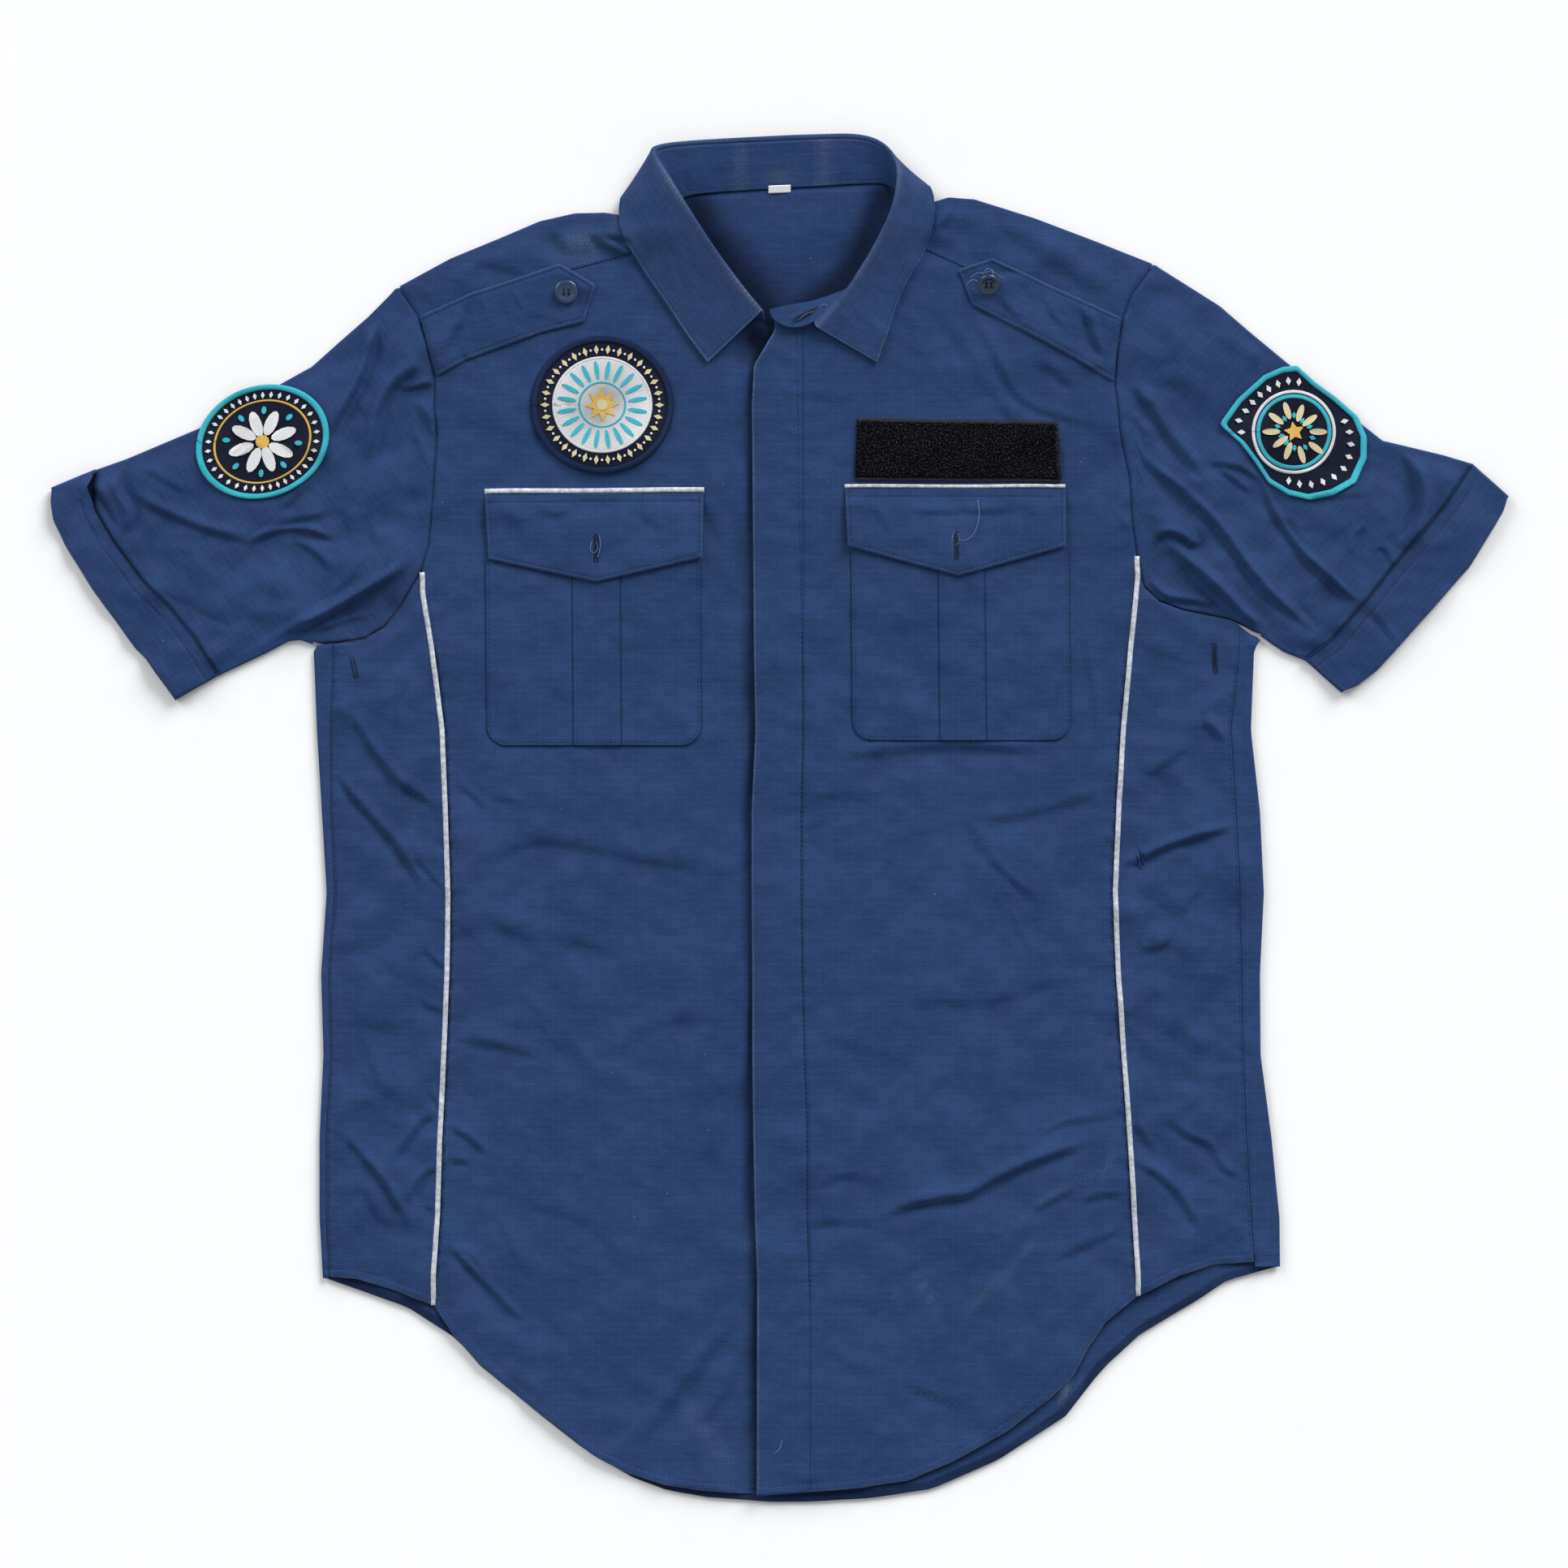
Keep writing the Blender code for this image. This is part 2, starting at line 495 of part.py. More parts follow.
def inset_line(points, t, amount):
    """Points at the shares t of a curve, moved to its right by an amount, and the way out."""
    spots = along(points, t)
    ahead = along(points, np.minimum(t + 0.02, 1.0)) - along(points, np.maximum(t - 0.02, 0.0))
    ahead /= np.hypot(ahead[..., 0], ahead[..., 1])[..., None]
    away = np.stack([-ahead[..., 1], ahead[..., 0]], axis=-1)
    return spots - away * amount, away


def turned(spots, away, turn):
    """Place on the round of a fold: turn 0 is its lower end and pi its upper end."""
    low = under(spots[..., 0], spots[..., 1])
    half = (top(spots[..., 0], spots[..., 1]) - low) / 2
    x = spots[..., 0] + away[..., 0] * EDGE / 2 * np.sin(turn)
    y = spots[..., 1] + away[..., 1] * EDGE / 2 * np.sin(turn)
    return x, y, low + half * (1 - np.cos(turn))


def ruled(mesh, across, deep, near, far, face, sides):
    """A grid of straight lines from near(u) to far(u), bent to its side lines x(y) at both ends."""
    ends = [(near(np.array([u]))[0], far(np.array([u]))[0], side) for u, side in zip((0.0, 1.0), sides)]

    def place(u, v):
        a, b = near(u), far(u)
        x = a[:, 0] + v * (b[:, 0] - a[:, 0])
        y = a[:, 1] + v * (b[:, 1] - a[:, 1])
        for (start, end, side), weight in zip(ends, ((1 - u) ** 6, u ** 6)):
            if side is None:
                continue
            bend = side(start[1] + v * (end[1] - start[1])) - start[0] - v * (end[0] - start[0])
            x = x + weight * bend * (v > 0) * (v < 1)
        return x, y, face(x, y)

    cells(mesh, across, deep, place)


SHOULDER_CELLS = 12
NECK_CELLS = 12


def yoke():
    """The yoke lies flat at the back, comes round both shoulders and ends at the front yoke seams."""
    mesh = bmesh.new()
    whole = 2 * SHOULDER_CELLS + NECK_CELLS
    inset = EDGE / 2
    shoulder_r = lambda t: inset_line(SHOULDER_R, t, inset)
    shoulder_l = lambda t: inset_line(SHOULDER_L[::-1], t, inset)
    first, last = shoulder_r(np.array([1.0]))[0][0], shoulder_l(np.array([0.0]))[0][0]
    arm_r, arm_l = side_of(ARM_SIDE_R, 2 * SEAM), side_of(ARM_SIDE_L, -2 * SEAM)
    neck = [tuple(first), *NECK_BACK[1:-1], tuple(last)]

    def upper(u):
        step = np.round(u * whole)
        a = shoulder_r(np.minimum(step / SHOULDER_CELLS, 1.0))[0]
        b = along(neck, np.clip((step - SHOULDER_CELLS) / NECK_CELLS, 0.0, 1.0))
        c = shoulder_l(np.clip((step - SHOULDER_CELLS - NECK_CELLS) / SHOULDER_CELLS, 0.0, 1.0))[0]
        spots = np.where((step <= SHOULDER_CELLS)[:, None], a, b)
        return np.where((step > SHOULDER_CELLS + NECK_CELLS)[:, None], c, spots)

    def lower(u):
        ends = along(YOKE_BACK_SEAM, np.round(u * whole) / whole)
        return np.stack([ends[:, 0] * 0.998, ends[:, 1] + SEAM], axis=-1)

    ruled(mesh, whole, 12, upper, lower, under, (arm_r, arm_l))
    for fold, seam, sides in (
        (shoulder_r, YOKE_SEAM_R, (arm_r, None)), (shoulder_l, YOKE_SEAM_L[::-1], (None, arm_l)),
    ):
        def arc(u, v, fold=fold):
            return turned(*fold(u), np.round(v * 4) * math.pi / 4)

        cells(mesh, SHOULDER_CELLS, 4, arc)
        ruled(
            mesh, SHOULDER_CELLS, 4, lambda u, fold=fold: fold(u)[0],
            lambda u, seam=seam: along(seam, u) + np.array([0.0, SEAM]), top, sides,
        )
    shell_piece(mesh, "yoke", "navy_cloth", WALL)


def coons(u, v, start, end, first, last):
    """Points between the lines first and last (u 0 and 1) and the lines start and end (v 0 and 1)."""
    zero, one = np.zeros(1), np.ones(1)
    corners = (first(zero)[0], last(zero)[0], first(one)[0], last(one)[0])

    def fitted(line, a, b):
        gap_a, gap_b = a - line(zero)[0], b - line(one)[0]
        return line(u) + (1 - u)[:, None] * gap_a + u[:, None] * gap_b

    low, high = fitted(start, corners[0], corners[1]), fitted(end, corners[2], corners[3])
    u, v = u[:, None], v[:, None]
    straight = (1 - u) * (1 - v) * corners[0] + u * (1 - v) * corners[1]
    straight = straight + (1 - u) * v * corners[2] + u * v * corners[3]
    sides = (1 - u) * first(v[:, 0]) + u * last(v[:, 0])
    spots = (1 - v) * low + v * high + sides - straight
    return spots[:, 0], spots[:, 1]


SLEEVE_ACROSS = 14
SLEEVE_OPEN = 7  # columns of a sleeve that end at the armhole below, and not at the lower fold
SLEEVE_DEEP = 14


def set_in(points, away):
    """The line y(x) of a fold, moved towards the cloth by half the fold's height."""
    line = height_of(points)
    return lambda x: line(x) + away * np.hypot(1.0, (line(x + 2.0) - line(x - 2.0)) / 4.0) * EDGE / 2


def sleeve(name, arm, arm_low, upper, lower, cuff, out):
    """A flattened tube from the armhole to the cuff line. Its layers share one outline.

    It is worked out in q = out * x, which grows from the armhole to the cuff on either side.
    """
    mesh = bmesh.new()
    near = side_of([(out * x, y) for x, y in arm], 2.8 * SEAM)
    far = side_of([(out * x, y) for x, y in cuff])
    above = set_in([(out * x, y) for x, y in upper], -1.0)
    fold = set_in([(out * x, y) for x, y in lower], 1.0)
    open_end = height_of([(out * x, y + 2 * SEAM) for x, y in arm_low])
    turn_q = out * arm_low[-1][0]

    def below(q):
        easing = np.clip((q - turn_q + 6.0) / 6.0, 0.0, 1.0)
        return np.where(q >= turn_q, fold(q), open_end(q) + easing * (fold(turn_q) - open_end(turn_q)))

    y_turn = below(turn_q)
    turn_u = (turn_q - near(y_turn)) / (far(y_turn) - near(y_turn))

    def column(step):
        past = (step - SLEEVE_OPEN) / (SLEEVE_ACROSS - SLEEVE_OPEN)
        return np.where(step <= SLEEVE_OPEN, turn_u * step / SLEEVE_OPEN, turn_u + (1 - turn_u) * past)

    def spot(step, v):
        return between(column(step), v, near, far, below, above)

    for face in (top, lambda x, y: 0.0 * x):
        def layer(u, v, face=face):
            q, y = spot(np.round(u * SLEEVE_ACROSS), v)
            return out * q, y, face(out * q, y)

        cells(mesh, SLEEVE_ACROSS, SLEEVE_DEEP, layer)
    for first, end, line, way in ((0, 1.0, above, 1.0), (SLEEVE_OPEN, 0.0, fold, -1.0)):
        count = SLEEVE_ACROSS - first

        def arc(u, v, first=first, end=end, line=line, way=way, count=count):
            q, y = spot(first + np.round(u * count), end + 0.0 * u)
            slope = (line(q + 2.0) - line(q - 2.0)) / 4.0
            away = np.stack([-slope * out, np.ones_like(slope)], axis=-1) * way
            away /= np.hypot(away[:, 0], away[:, 1])[:, None]
            return turned(np.stack([out * q, y], axis=-1), away, np.round(v * 4) * math.pi / 4)

        cells(mesh, count, 4, arc)
    shell_piece(mesh, name, "navy_cloth", WALL)


def sleeves():
    sleeve("sleeve_right", ARM_SIDE_R, ARM_LOW_R, TOP_R, UNDER_R, CUFF_LINE_R, -1.0)
    sleeve("sleeve_left", ARM_SIDE_L, ARM_LOW_L, TOP_L, UNDER_L, CUFF_LINE_L, 1.0)


CUFF_WALL = 1.3
CUFF_RISE = 0.7
CUFF_GAP = 1.9
CUFF_ACROSS = 12
CUFF_DEEP = 3


def cuff(name, near, far, out):
    """A flattened tube from the cuff line to the sleeve's end, a little higher than the sleeve."""
    mesh = bmesh.new()
    near = [(x + out * CUFF_GAP, y - CUFF_GAP / 2) for x, y in near]
    folds = []
    for i, side in ((0, out), (-1, -out)):
        folds.append(lambda t, i=i, side=side: inset_line((near[i], far[i]), t, side * EDGE / 2))

    def layer(u, v):
        return coons(
            u, v, lambda t: along(near, t), lambda t: along(far, t),
            lambda t: folds[0](t)[0], lambda t: folds[1](t)[0],
        )

    for face in (lambda x, y: top(x, y) + CUFF_RISE, lambda x, y: 0.0 * x):
        cells(mesh, CUFF_ACROSS, CUFF_DEEP, lambda u, v, face=face: (*layer(u, v), face(*layer(u, v))))
    for fold, way in zip(folds, (out, -out)):
        def arc(u, v, fold=fold, way=way):
            spots, away = fold(v)
            x, y, z = turned(spots, away * way, np.round(u * 4) * math.pi / 4)
            return x, y, z * (1 + CUFF_RISE / top(spots[:, 0], spots[:, 1]))

        cells(mesh, 4, CUFF_DEEP, arc)
    shell_piece(mesh, name, "navy_cloth", CUFF_WALL)


def cuffs():
    cuff("cuff_right", CUFF_LINE_R, CUFF_EDGE_R, -1.0)
    cuff("cuff_left", CUFF_LINE_L, CUFF_EDGE_L, 1.0)


def row_of(table, u):
    """Columns of a table at the share u of its rows."""
    table = np.array(table, float)
    at = u * (len(table) - 1)
    return [np.interp(at, np.arange(len(table)), column) for column in table.T]


def collar():
    band_rows = [row[:6] for row in COLLAR] + list(TAB)
    mesh = bmesh.new()

    def band(u, v):
        sx, sy, sz, rx, ry, rz = row_of(band_rows, u)
        length = np.sqrt((rx - sx) ** 2 + (ry - sy) ** 2 + (rz - sz) ** 2)
        t = v * (1 - BAND_STOP / length)
        return sx + t * (rx - sx), sy + t * (ry - sy), sz + t * (rz - sz)

    cells(mesh, 46, 2, band)
    shell_piece(mesh, "collar_band", "navy_cloth", BAND_WALL, 0.0)
    mesh = bmesh.new()

    def leaf(u, v):
        _, _, _, rx, ry, rz, drop, ex, ey, lies = row_of(COLLAR, u)
        x, y = rx + v * (ex - rx), ry + v * (ey - ry)
        fall = (1 - v) ** (1.1 + drop)
        start = rz - drop
        on_top = top(x, y) + LEAF_OVER
        above = on_top + (start - on_top) * fall
        below = LEAF_WALL / 2 + (start - LEAF_WALL / 2) * fall
        return x, y, lies * above + (1 - lies) * below

    cells(mesh, 38, 5, leaf)
    shell_piece(mesh, "collar_leaf", "navy_cloth", LEAF_WALL, 0.0)


def straps():
    for name, sides in (("epaulette_right", STRAP_R), ("epaulette_left", STRAP_L)):
        def place(u, v, sides=sides):
            x, y = coons(
                u, v, lambda t: along(sides["bottom"], t), lambda t: along(sides["top"], t),
                lambda t: along(sides["outer"], t), lambda t: along(sides["tip"], t),
            )
            rise = ON_CLOTH + STRAP_WALL + lift_left(x) * (x > 0)
            return over(x, y, rise)

        flat_piece(name, "navy_cloth", 14, 6, place, STRAP_WALL)


def pockets():
    for name, left, right, mouth, bottom, pleat_a, pleat_b, corner, lean in POCKETS:
        def place(u, v, left=left, right=right, mouth=mouth, bottom=bottom, a=pleat_a, b=pleat_b,
                  corner=corner, lean=lean):
            x = left + u * (right - left)
            near = np.minimum(x - left, right - x)
            low = bottom + corner - np.sqrt(np.maximum(corner ** 2 - np.maximum(corner - near, 0) ** 2, 0.0))
            y = low + v * (mouth - low)
            pleat = smooth((x - a) / 3.0 + 0.5) * smooth((b - x) / 3.0 + 0.5)
            x = x + lean * (mouth - y) / (mouth - bottom) * np.where(lean < 0, -1.0, 1.0) * 0.5
            return over(x, y, ON_CLOTH + POCKET_WALL + PLEAT_RISE * pleat + lift_left(x) * (x > 0))

        flat_piece(name, "navy_cloth", 22, 14, place, POCKET_WALL)


def flaps():
    for name, a, b, c, point, d in FLAPS:
        def place(u, v, a=a, b=b, c=c, point=point, d=d):
            x, y = coons(
                u, v, lambda t: along((d, point, c), t), lambda t: along((a, b), t),
                lambda t: along((d, a), t), lambda t: along((c, b), t),
            )
            rise = ON_CLOTH + (FLAP_OVER - ON_CLOTH) * smooth((1 - v) * 4.0)
            return over(x, y, rise + FLAP_WALL + lift_left(x) * (x > 0))

        flat_piece(name, "navy_cloth", 14, 8, place, FLAP_WALL)
    for name, x0, y0, x1, y1, width in FLAP_PIPES:
        def strip(u, v, x0=x0, y0=y0, x1=x1, y1=y1, width=width):
            x = x0 + u * (x1 - x0)
            y = y0 + u * (y1 - y0) - (1 - v) * width
            return over(x, y, ON_CLOTH + PIPE_WALL + lift_left(x) * (x > 0))

        flat_piece(name, "white_piping", 14, 1, strip, PIPE_WALL)


def loop_strip():
    a, b, c, d = STRIP

    def place(u, v):
        x, y = coons(
            u, v, lambda t: along((d, c), t), lambda t: along((a, b), t),
            lambda t: along((d, a), t), lambda t: along((c, b), t),
        )
        return over(x, y, ON_CLOTH + STRIP_WALL + lift_left(x))

    flat_piece("loop_strip", "black_loop", 14, 4, place, STRIP_WALL)


def oval(x, y, a, b, turn):
    angles = np.linspace(0.0, 2 * math.pi, 49)[:-1]
    c, s = math.cos(math.radians(turn)), math.sin(math.radians(turn))
    px, py = a * np.cos(angles), b * np.sin(angles)
    return [(x + c * i - s * j, y + s * i + c * j) for i, j in zip(px, py)]


def patch(name, centre, outline, count):
    """A square grid drawn into the outline round its centre."""
    rim = np.array(outline) - np.array(centre)
    angle = np.arctan2(rim[:, 1], rim[:, 0])
    order = np.argsort(angle)
    angle, reach = angle[order], np.hypot(rim[:, 0], rim[:, 1])[order]

    def place(u, v):
        a, b = 2 * u - 1, 2 * v - 1
        i, j = a * np.sqrt(1 - b * b / 2), b * np.sqrt(1 - a * a / 2)
        turn = np.arctan2(j, i)
        size = np.hypot(i, j) * np.interp(turn, angle, reach, period=2 * math.pi)
        return over(centre[0] + size * np.cos(turn), centre[1] + size * np.sin(turn), ON_CLOTH + PATCH_WALL)

    flat_piece(name, "patch_thread", count, count, place, PATCH_WALL)


def patches():
    patch("chest_patch", CHEST_PATCH[:2], oval(*CHEST_PATCH), 10)
    patch("sleeve_patch_right", OVAL_PATCH[:2], oval(*OVAL_PATCH), 12)
    patch("sleeve_patch_left", SHIELD_CENTRE, SHIELD, 12)


def label():
    left, right, low, high = LABEL

    def place(u, v):
        x, y = left + u * (right - left), low + v * (high - low)
        return x, y, under(x, y) + WALL + SEAM + LABEL_WALL

    flat_piece("size_label", "white_label", 2, 1, place, LABEL_WALL)


def buttons():
    for name, x, y, tilt, lift in BUTTONS:
        mesh = bmesh.new()
        bmesh.ops.create_cone(
            mesh, cap_ends=True, segments=28, radius1=BUTTON / 2 * MM, radius2=BUTTON / 2 * MM,
            depth=BUTTON_THICK * MM,
        )
        face = max(mesh.faces, key=lambda f: f.calc_center_median().z)
        bmesh.ops.inset_region(mesh, faces=[face], thickness=BUTTON_RIM * MM, depth=-BUTTON_DISH * MM)
        z = float(top(x, y)) + ON_CLOTH + STRAP_WALL + lift + (float(lift_left(x)) if x > 0 else 0.0)
        place = Matrix.Translation(Vector((x, y, z)) * MM) @ Matrix.Rotation(math.radians(tilt), 4, "X")
        holes = bmesh.new()
        for i in (-0.5, 0.5):
            for j in (-0.5, 0.5):
                spot = Matrix.Translation((i * HOLE_SPACING * MM, j * HOLE_SPACING * MM, 0.0))
                bmesh.ops.create_cone(
                    holes, cap_ends=True, segments=8, radius1=BUTTON_HOLE / 2 * MM,
                    radius2=BUTTON_HOLE / 2 * MM, depth=3 * BUTTON_THICK * MM, matrix=spot,
                )
        bmesh.ops.transform(mesh, matrix=place, verts=mesh.verts[:])
        bmesh.ops.transform(holes, matrix=place, verts=holes.verts[:])
        cutter = finish(holes, name + "_holes", "navy_button")
        cutter.hide_render = True
        cutter.display_type = "WIRE"
        item = finish(mesh, name, "navy_button")
        cut = item.modifiers.new("holes", "BOOLEAN")
        cut.operation = "DIFFERENCE"
        cut.object = cutter
        cut.solver = "EXACT"


clear_scene()
back_panel()
yoke()
front_panels()
placket()
side_fronts()
sleeves()
cuffs()
collar()
straps()
pockets()
flaps()
loop_strip()
patches()
label()
buttons()
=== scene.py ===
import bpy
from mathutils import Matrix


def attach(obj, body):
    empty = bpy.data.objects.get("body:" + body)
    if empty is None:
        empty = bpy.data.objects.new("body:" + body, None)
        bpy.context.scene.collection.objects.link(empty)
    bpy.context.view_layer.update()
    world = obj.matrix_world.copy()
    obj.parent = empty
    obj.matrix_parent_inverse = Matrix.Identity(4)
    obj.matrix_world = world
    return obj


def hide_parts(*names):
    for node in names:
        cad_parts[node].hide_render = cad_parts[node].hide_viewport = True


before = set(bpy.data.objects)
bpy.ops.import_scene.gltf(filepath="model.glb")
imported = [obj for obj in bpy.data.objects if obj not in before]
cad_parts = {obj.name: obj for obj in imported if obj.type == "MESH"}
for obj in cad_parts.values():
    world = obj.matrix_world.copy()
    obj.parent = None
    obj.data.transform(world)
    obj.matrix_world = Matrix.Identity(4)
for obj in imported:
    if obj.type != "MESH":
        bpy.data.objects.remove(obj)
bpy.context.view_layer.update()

import math
import random

import bmesh
import bpy
import numpy as np
from mathutils import Matrix, Vector

# The camera hangs three metres over the table and looks straight down, with the collar towards the top
# of the picture. Its lens takes in a square of table a little wider than the shirt.
MM = 0.001
EYE = (2.75, 20.75, 3000.0)
PICTURE = 966.0  # millimetres of table across the picture
camera = bpy.data.objects.new("camera", bpy.data.cameras.new("camera"))
camera.data.sensor_width = 36.0
camera.data.lens = 36.0 * EYE[2] / PICTURE
camera.data.clip_end = 50.0
camera.location = Vector(EYE) * MM
bpy.context.scene.collection.objects.link(camera)
bpy.context.scene.camera = camera


# The table top: a plain white laminate, matt and clean, much larger than the shirt.
def put(tree, kind, sockets, out=0, **settings):
    """A node with its settings, and with its sockets set to values or linked."""
    made = tree.nodes.new(kind)
    for name, value in settings.items():
        setattr(made, name, value)
    for name, value in sockets.items():
        if isinstance(value, bpy.types.NodeSocket):
            tree.links.new(value, made.inputs[name])
        else:
            made.inputs[name].default_value = value
    return made.outputs[out]


def start_finish(name, sockets):
    """A new material, its nodes and its shader."""
    made = bpy.data.materials.new(name)
    made.use_nodes = True
    shader = made.node_tree.nodes["Principled BSDF"]
    for socket, value in sockets.items():
        shader.inputs[socket].default_value = value
    return made, made.node_tree, shader


def noise(tree, vector, scale, detail=2.0, rough=0.5):
    sockets = {"Vector": vector, "Scale": scale, "Detail": detail, "Roughness": rough}
    return put(tree, "ShaderNodeTexNoise", sockets)


def ranged(tree, value, low, high, to_low=0.0, to_high=1.0):
    return put(tree, "ShaderNodeMapRange", {0: value, 1: low, 2: high, 3: to_low, 4: to_high})


def mixed(tree, share, dark, light):
    return put(tree, "ShaderNodeMix", {0: share, 6: dark, 7: light}, 2, data_type="RGBA")


def speckled(name, sockets, scale, detail, dark, light):
    """A finish whose colour wanders between two in fine specks."""
    made, tree, shader = start_finish(name, sockets)
    specks = noise(tree, put(tree, "ShaderNodeTexCoord", {}, 3), scale, detail)
    tree.links.new(mixed(tree, specks, dark, light), shader.inputs["Base Color"])
    return made


def placed(mesh, name, finish):
    """Makes a finished mesh an object of the scene."""
    data = bpy.data.meshes.new(name)
    mesh.to_mesh(data)
    mesh.free()
    data.materials.append(finish)
    item = bpy.data.objects.new(name, data)
    bpy.context.scene.collection.objects.link(item)
    return item


laminate = speckled("white laminate", {"Roughness": 0.55, "Specular IOR Level": 0.25}, 60.0, 4.0,
                    (0.86, 0.87, 0.885, 1), (0.90, 0.905, 0.915, 1))
mesh = bmesh.new()
bmesh.ops.create_grid(mesh, x_segments=4, y_segments=4, size=9.0)
bmesh.ops.translate(mesh, verts=mesh.verts[:], vec=(0.0, 0.0, -0.0004))
placed(mesh, "table_top", laminate)


# The back panel: one piece of navy ripstop, a plain weave with a heavier thread every few millimetres.
# It lies flat on the table and comes round both sides to the side seams, and its hem is turned up
# twice and stitched down.
WALL = 0.8  # millimetres, as all that follows
SEAM = 0.1
EDGE = 3.4
REST = 4.6
LOWEST = 2.2
EASE = 13.0
NECK_LIFT = 1.9
STEP = 2.4
GRID_PITCH = 4.1
BODY_Y = (-282.8, -246.2, -196.2, -146.2, -96.2, -46.2, 3.8, 53.8, 103.8)
FOLD_R = (-281.2, -283.2, -283.2, -280.8, -282.2, -278.8, -281.8, -284.8, -286.8)
SIDE_R = (-277.2, -279.0, -279.0, -276.4, -277.6, -273.8, -276.2, -276.4, -274.8)
PIPE_R = (-211.2, -208.8, -207.2, -204.8, -202.8, -202.2, -203.8, -205.8, -212.2)
CLOSE = (-13.8, -15.2, -16.2, -16.8, -16.8, -17.2, -17.2, -14.8, -15.8)
SEAM_L = (18.2, 16.8, 16.8, 15.2, 13.8, 13.2, 13.2, 14.2, 13.8)
PIPE_L = (218.8, 216.8, 213.8, 210.2, 206.8, 204.8, 206.8, 209.8, 214.2)
SIDE_L = (292.8, 290.2, 287.2, 285.2, 284.2, 283.2, 280.8, 277.8, 283.0)
FOLD_L = (308.2, 307.8, 302.8, 296.2, 295.8, 298.2, 295.8, 290.2, 292.2)
HEM_FRONT = (
    (-281.2, -282.2), (-259.8, -283.8), (-239.2, -290.2), (-212.8, -300.2), (-200.2, -318.8),
    (-184.2, -337.2), (-159.8, -357.2), (-135.2, -375.8), (-114.8, -392.2), (-94.2, -403.2),
    (-69.8, -410.8), (-45.2, -414.2), (-8.8, -416.8), (24.8, -414.2), (50.2, -412.2),
    (79.8, -407.8), (107.2, -395.8), (139.8, -377.8), (167.2, -356.8), (180.8, -343.2),
    (190.2, -326.2), (200.8, -310.2), (219.8, -294.8), (245.2, -282.2), (268.2, -275.2),
    (292.2, -273.2), (308.2, -274.8),
)
HEM_BACK = (
    (-281.2, -282.8), (-260.2, -290.2), (-229.2, -301.2), (-200.2, -319.8), (-180.2, -340.2),
    (-150.2, -365.2), (-120.2, -388.8), (-90.2, -406.2), (-69.8, -413.8), (-45.2, -418.2),
    (-4.8, -421.2), (15.8, -421.2), (56.8, -418.8), (93.8, -413.2), (134.8, -395.2),
    (176.2, -368.2), (199.2, -338.8), (222.2, -317.8), (256.8, -297.2), (275.2, -284.8),
    (308.2, -275.8),
)
ARM_SIDE_R = (
    (-234.8, 326.8), (-222.8, 309.8), (-216.8, 292.2), (-211.8, 271.2), (-212.2, 251.8),
    (-210.8, 230.2), (-213.2, 195.2), (-215.8, 167.2), (-220.2, 152.2),
)
ARM_LOW_R = (
    (-220.2, 152.2), (-232.8, 130.8), (-242.8, 117.6), (-255.8, 110.0), (-271.2, 107.6), (-287.2, 106.2),
)
ARM_SIDE_L = (
    (230.2, 340.8), (216.2, 321.8), (211.2, 307.8), (207.8, 288.8), (206.2, 266.8),
    (208.2, 251.8), (209.2, 237.2), (215.2, 209.2), (216.8, 181.2), (219.8, 162.2),
)
ARM_LOW_L = (
    (219.8, 162.2), (223.8, 142.8), (233.8, 133.2), (248.2, 127.8), (263.2, 124.8),
    (276.8, 121.8), (287.2, 117.2), (296.8, 110.8),
)
TOP_R = (
    (-235.6, 326.2), (-252.8, 308.8), (-272.2, 291.8), (-287.8, 277.8), (-311.2, 264.8),
    (-334.2, 251.8), (-357.2, 239.8), (-380.8, 229.8), (-402.2, 220.8), (-420.6, 214.3),
)
TOP_L = (
    (231.0, 340.3), (270.8, 315.2), (289.8, 298.8), (312.8, 279.8), (339.8, 257.8),
    (352.2, 247.2), (371.2, 232.2), (392.2, 227.2), (408.8, 223.2), (426.8, 217.8),
)
UNDER_R = ((-287.2, 106.8), (-295.2, 109.4), (-302.2, 108.6), (-316.2, 101.2), (-345.8, 87.2))
UNDER_L = ((296.8, 111.4), (303.2, 106.8), (310.8, 101.8), (323.8, 96.8))
SHOULDER_R = (
    (-234.0, 327.2), (-202.8, 344.2), (-172.2, 356.8), (-147.8, 367.2), (-125.8, 372.2),
    (-108.0, 372.5), (-90.0, 369.5), (-66.0, 373.5),
)
SHOULDER_L = (
    (229.4, 341.1), (193.8, 355.2), (156.8, 369.2), (119.8, 380.8), (104.2, 381.8),
    (90.0, 377.5), (78.0, 377.0),
)
YOKE_BACK_SEAM = ((-210.8, 230.0), (209.2, 236.0))
SHARPNESS, NARROWNESS = 1.85, 0.78  # of every crease, against the sizes given below
# Broad swells of the upper layer: start, end, half width and height.
SWELLS = (
    (-228, 172, -296, 146, 17, 2.6), (-232, 300, -330, 180, 26, 1.6), (-330, 196, -392, 206, 20, 1.6),
    (268, 188, 303, 138, 9, 1.8), (303, 184, 359, 129, 10, 2.0), (300, 138, 334, 105, 9, 1.4),
    (400, 214, 402, 178, 12, 1.6), (-270, 77, -208, 1, 11, 1.5), (-249, -21, -221, -50, 10, 1.0),
    (208, -31, 279, -7, 11, 1.4), (68, -244, 204, -202, 13, 1.3), (78, -348, 135, -361, 10, 1.0),
    (-17, -319, -45, -376, 11, 1.3), (125, 300, 178, 256, 14, 0.7), (-190, 20, -182, -220, 22, 1.0),
    (180, 10, 172, -190, 24, 1.0), (-60, -60, -90, -330, 30, 0.8), (60, -80, 84, -300, 30, 0.7),
)
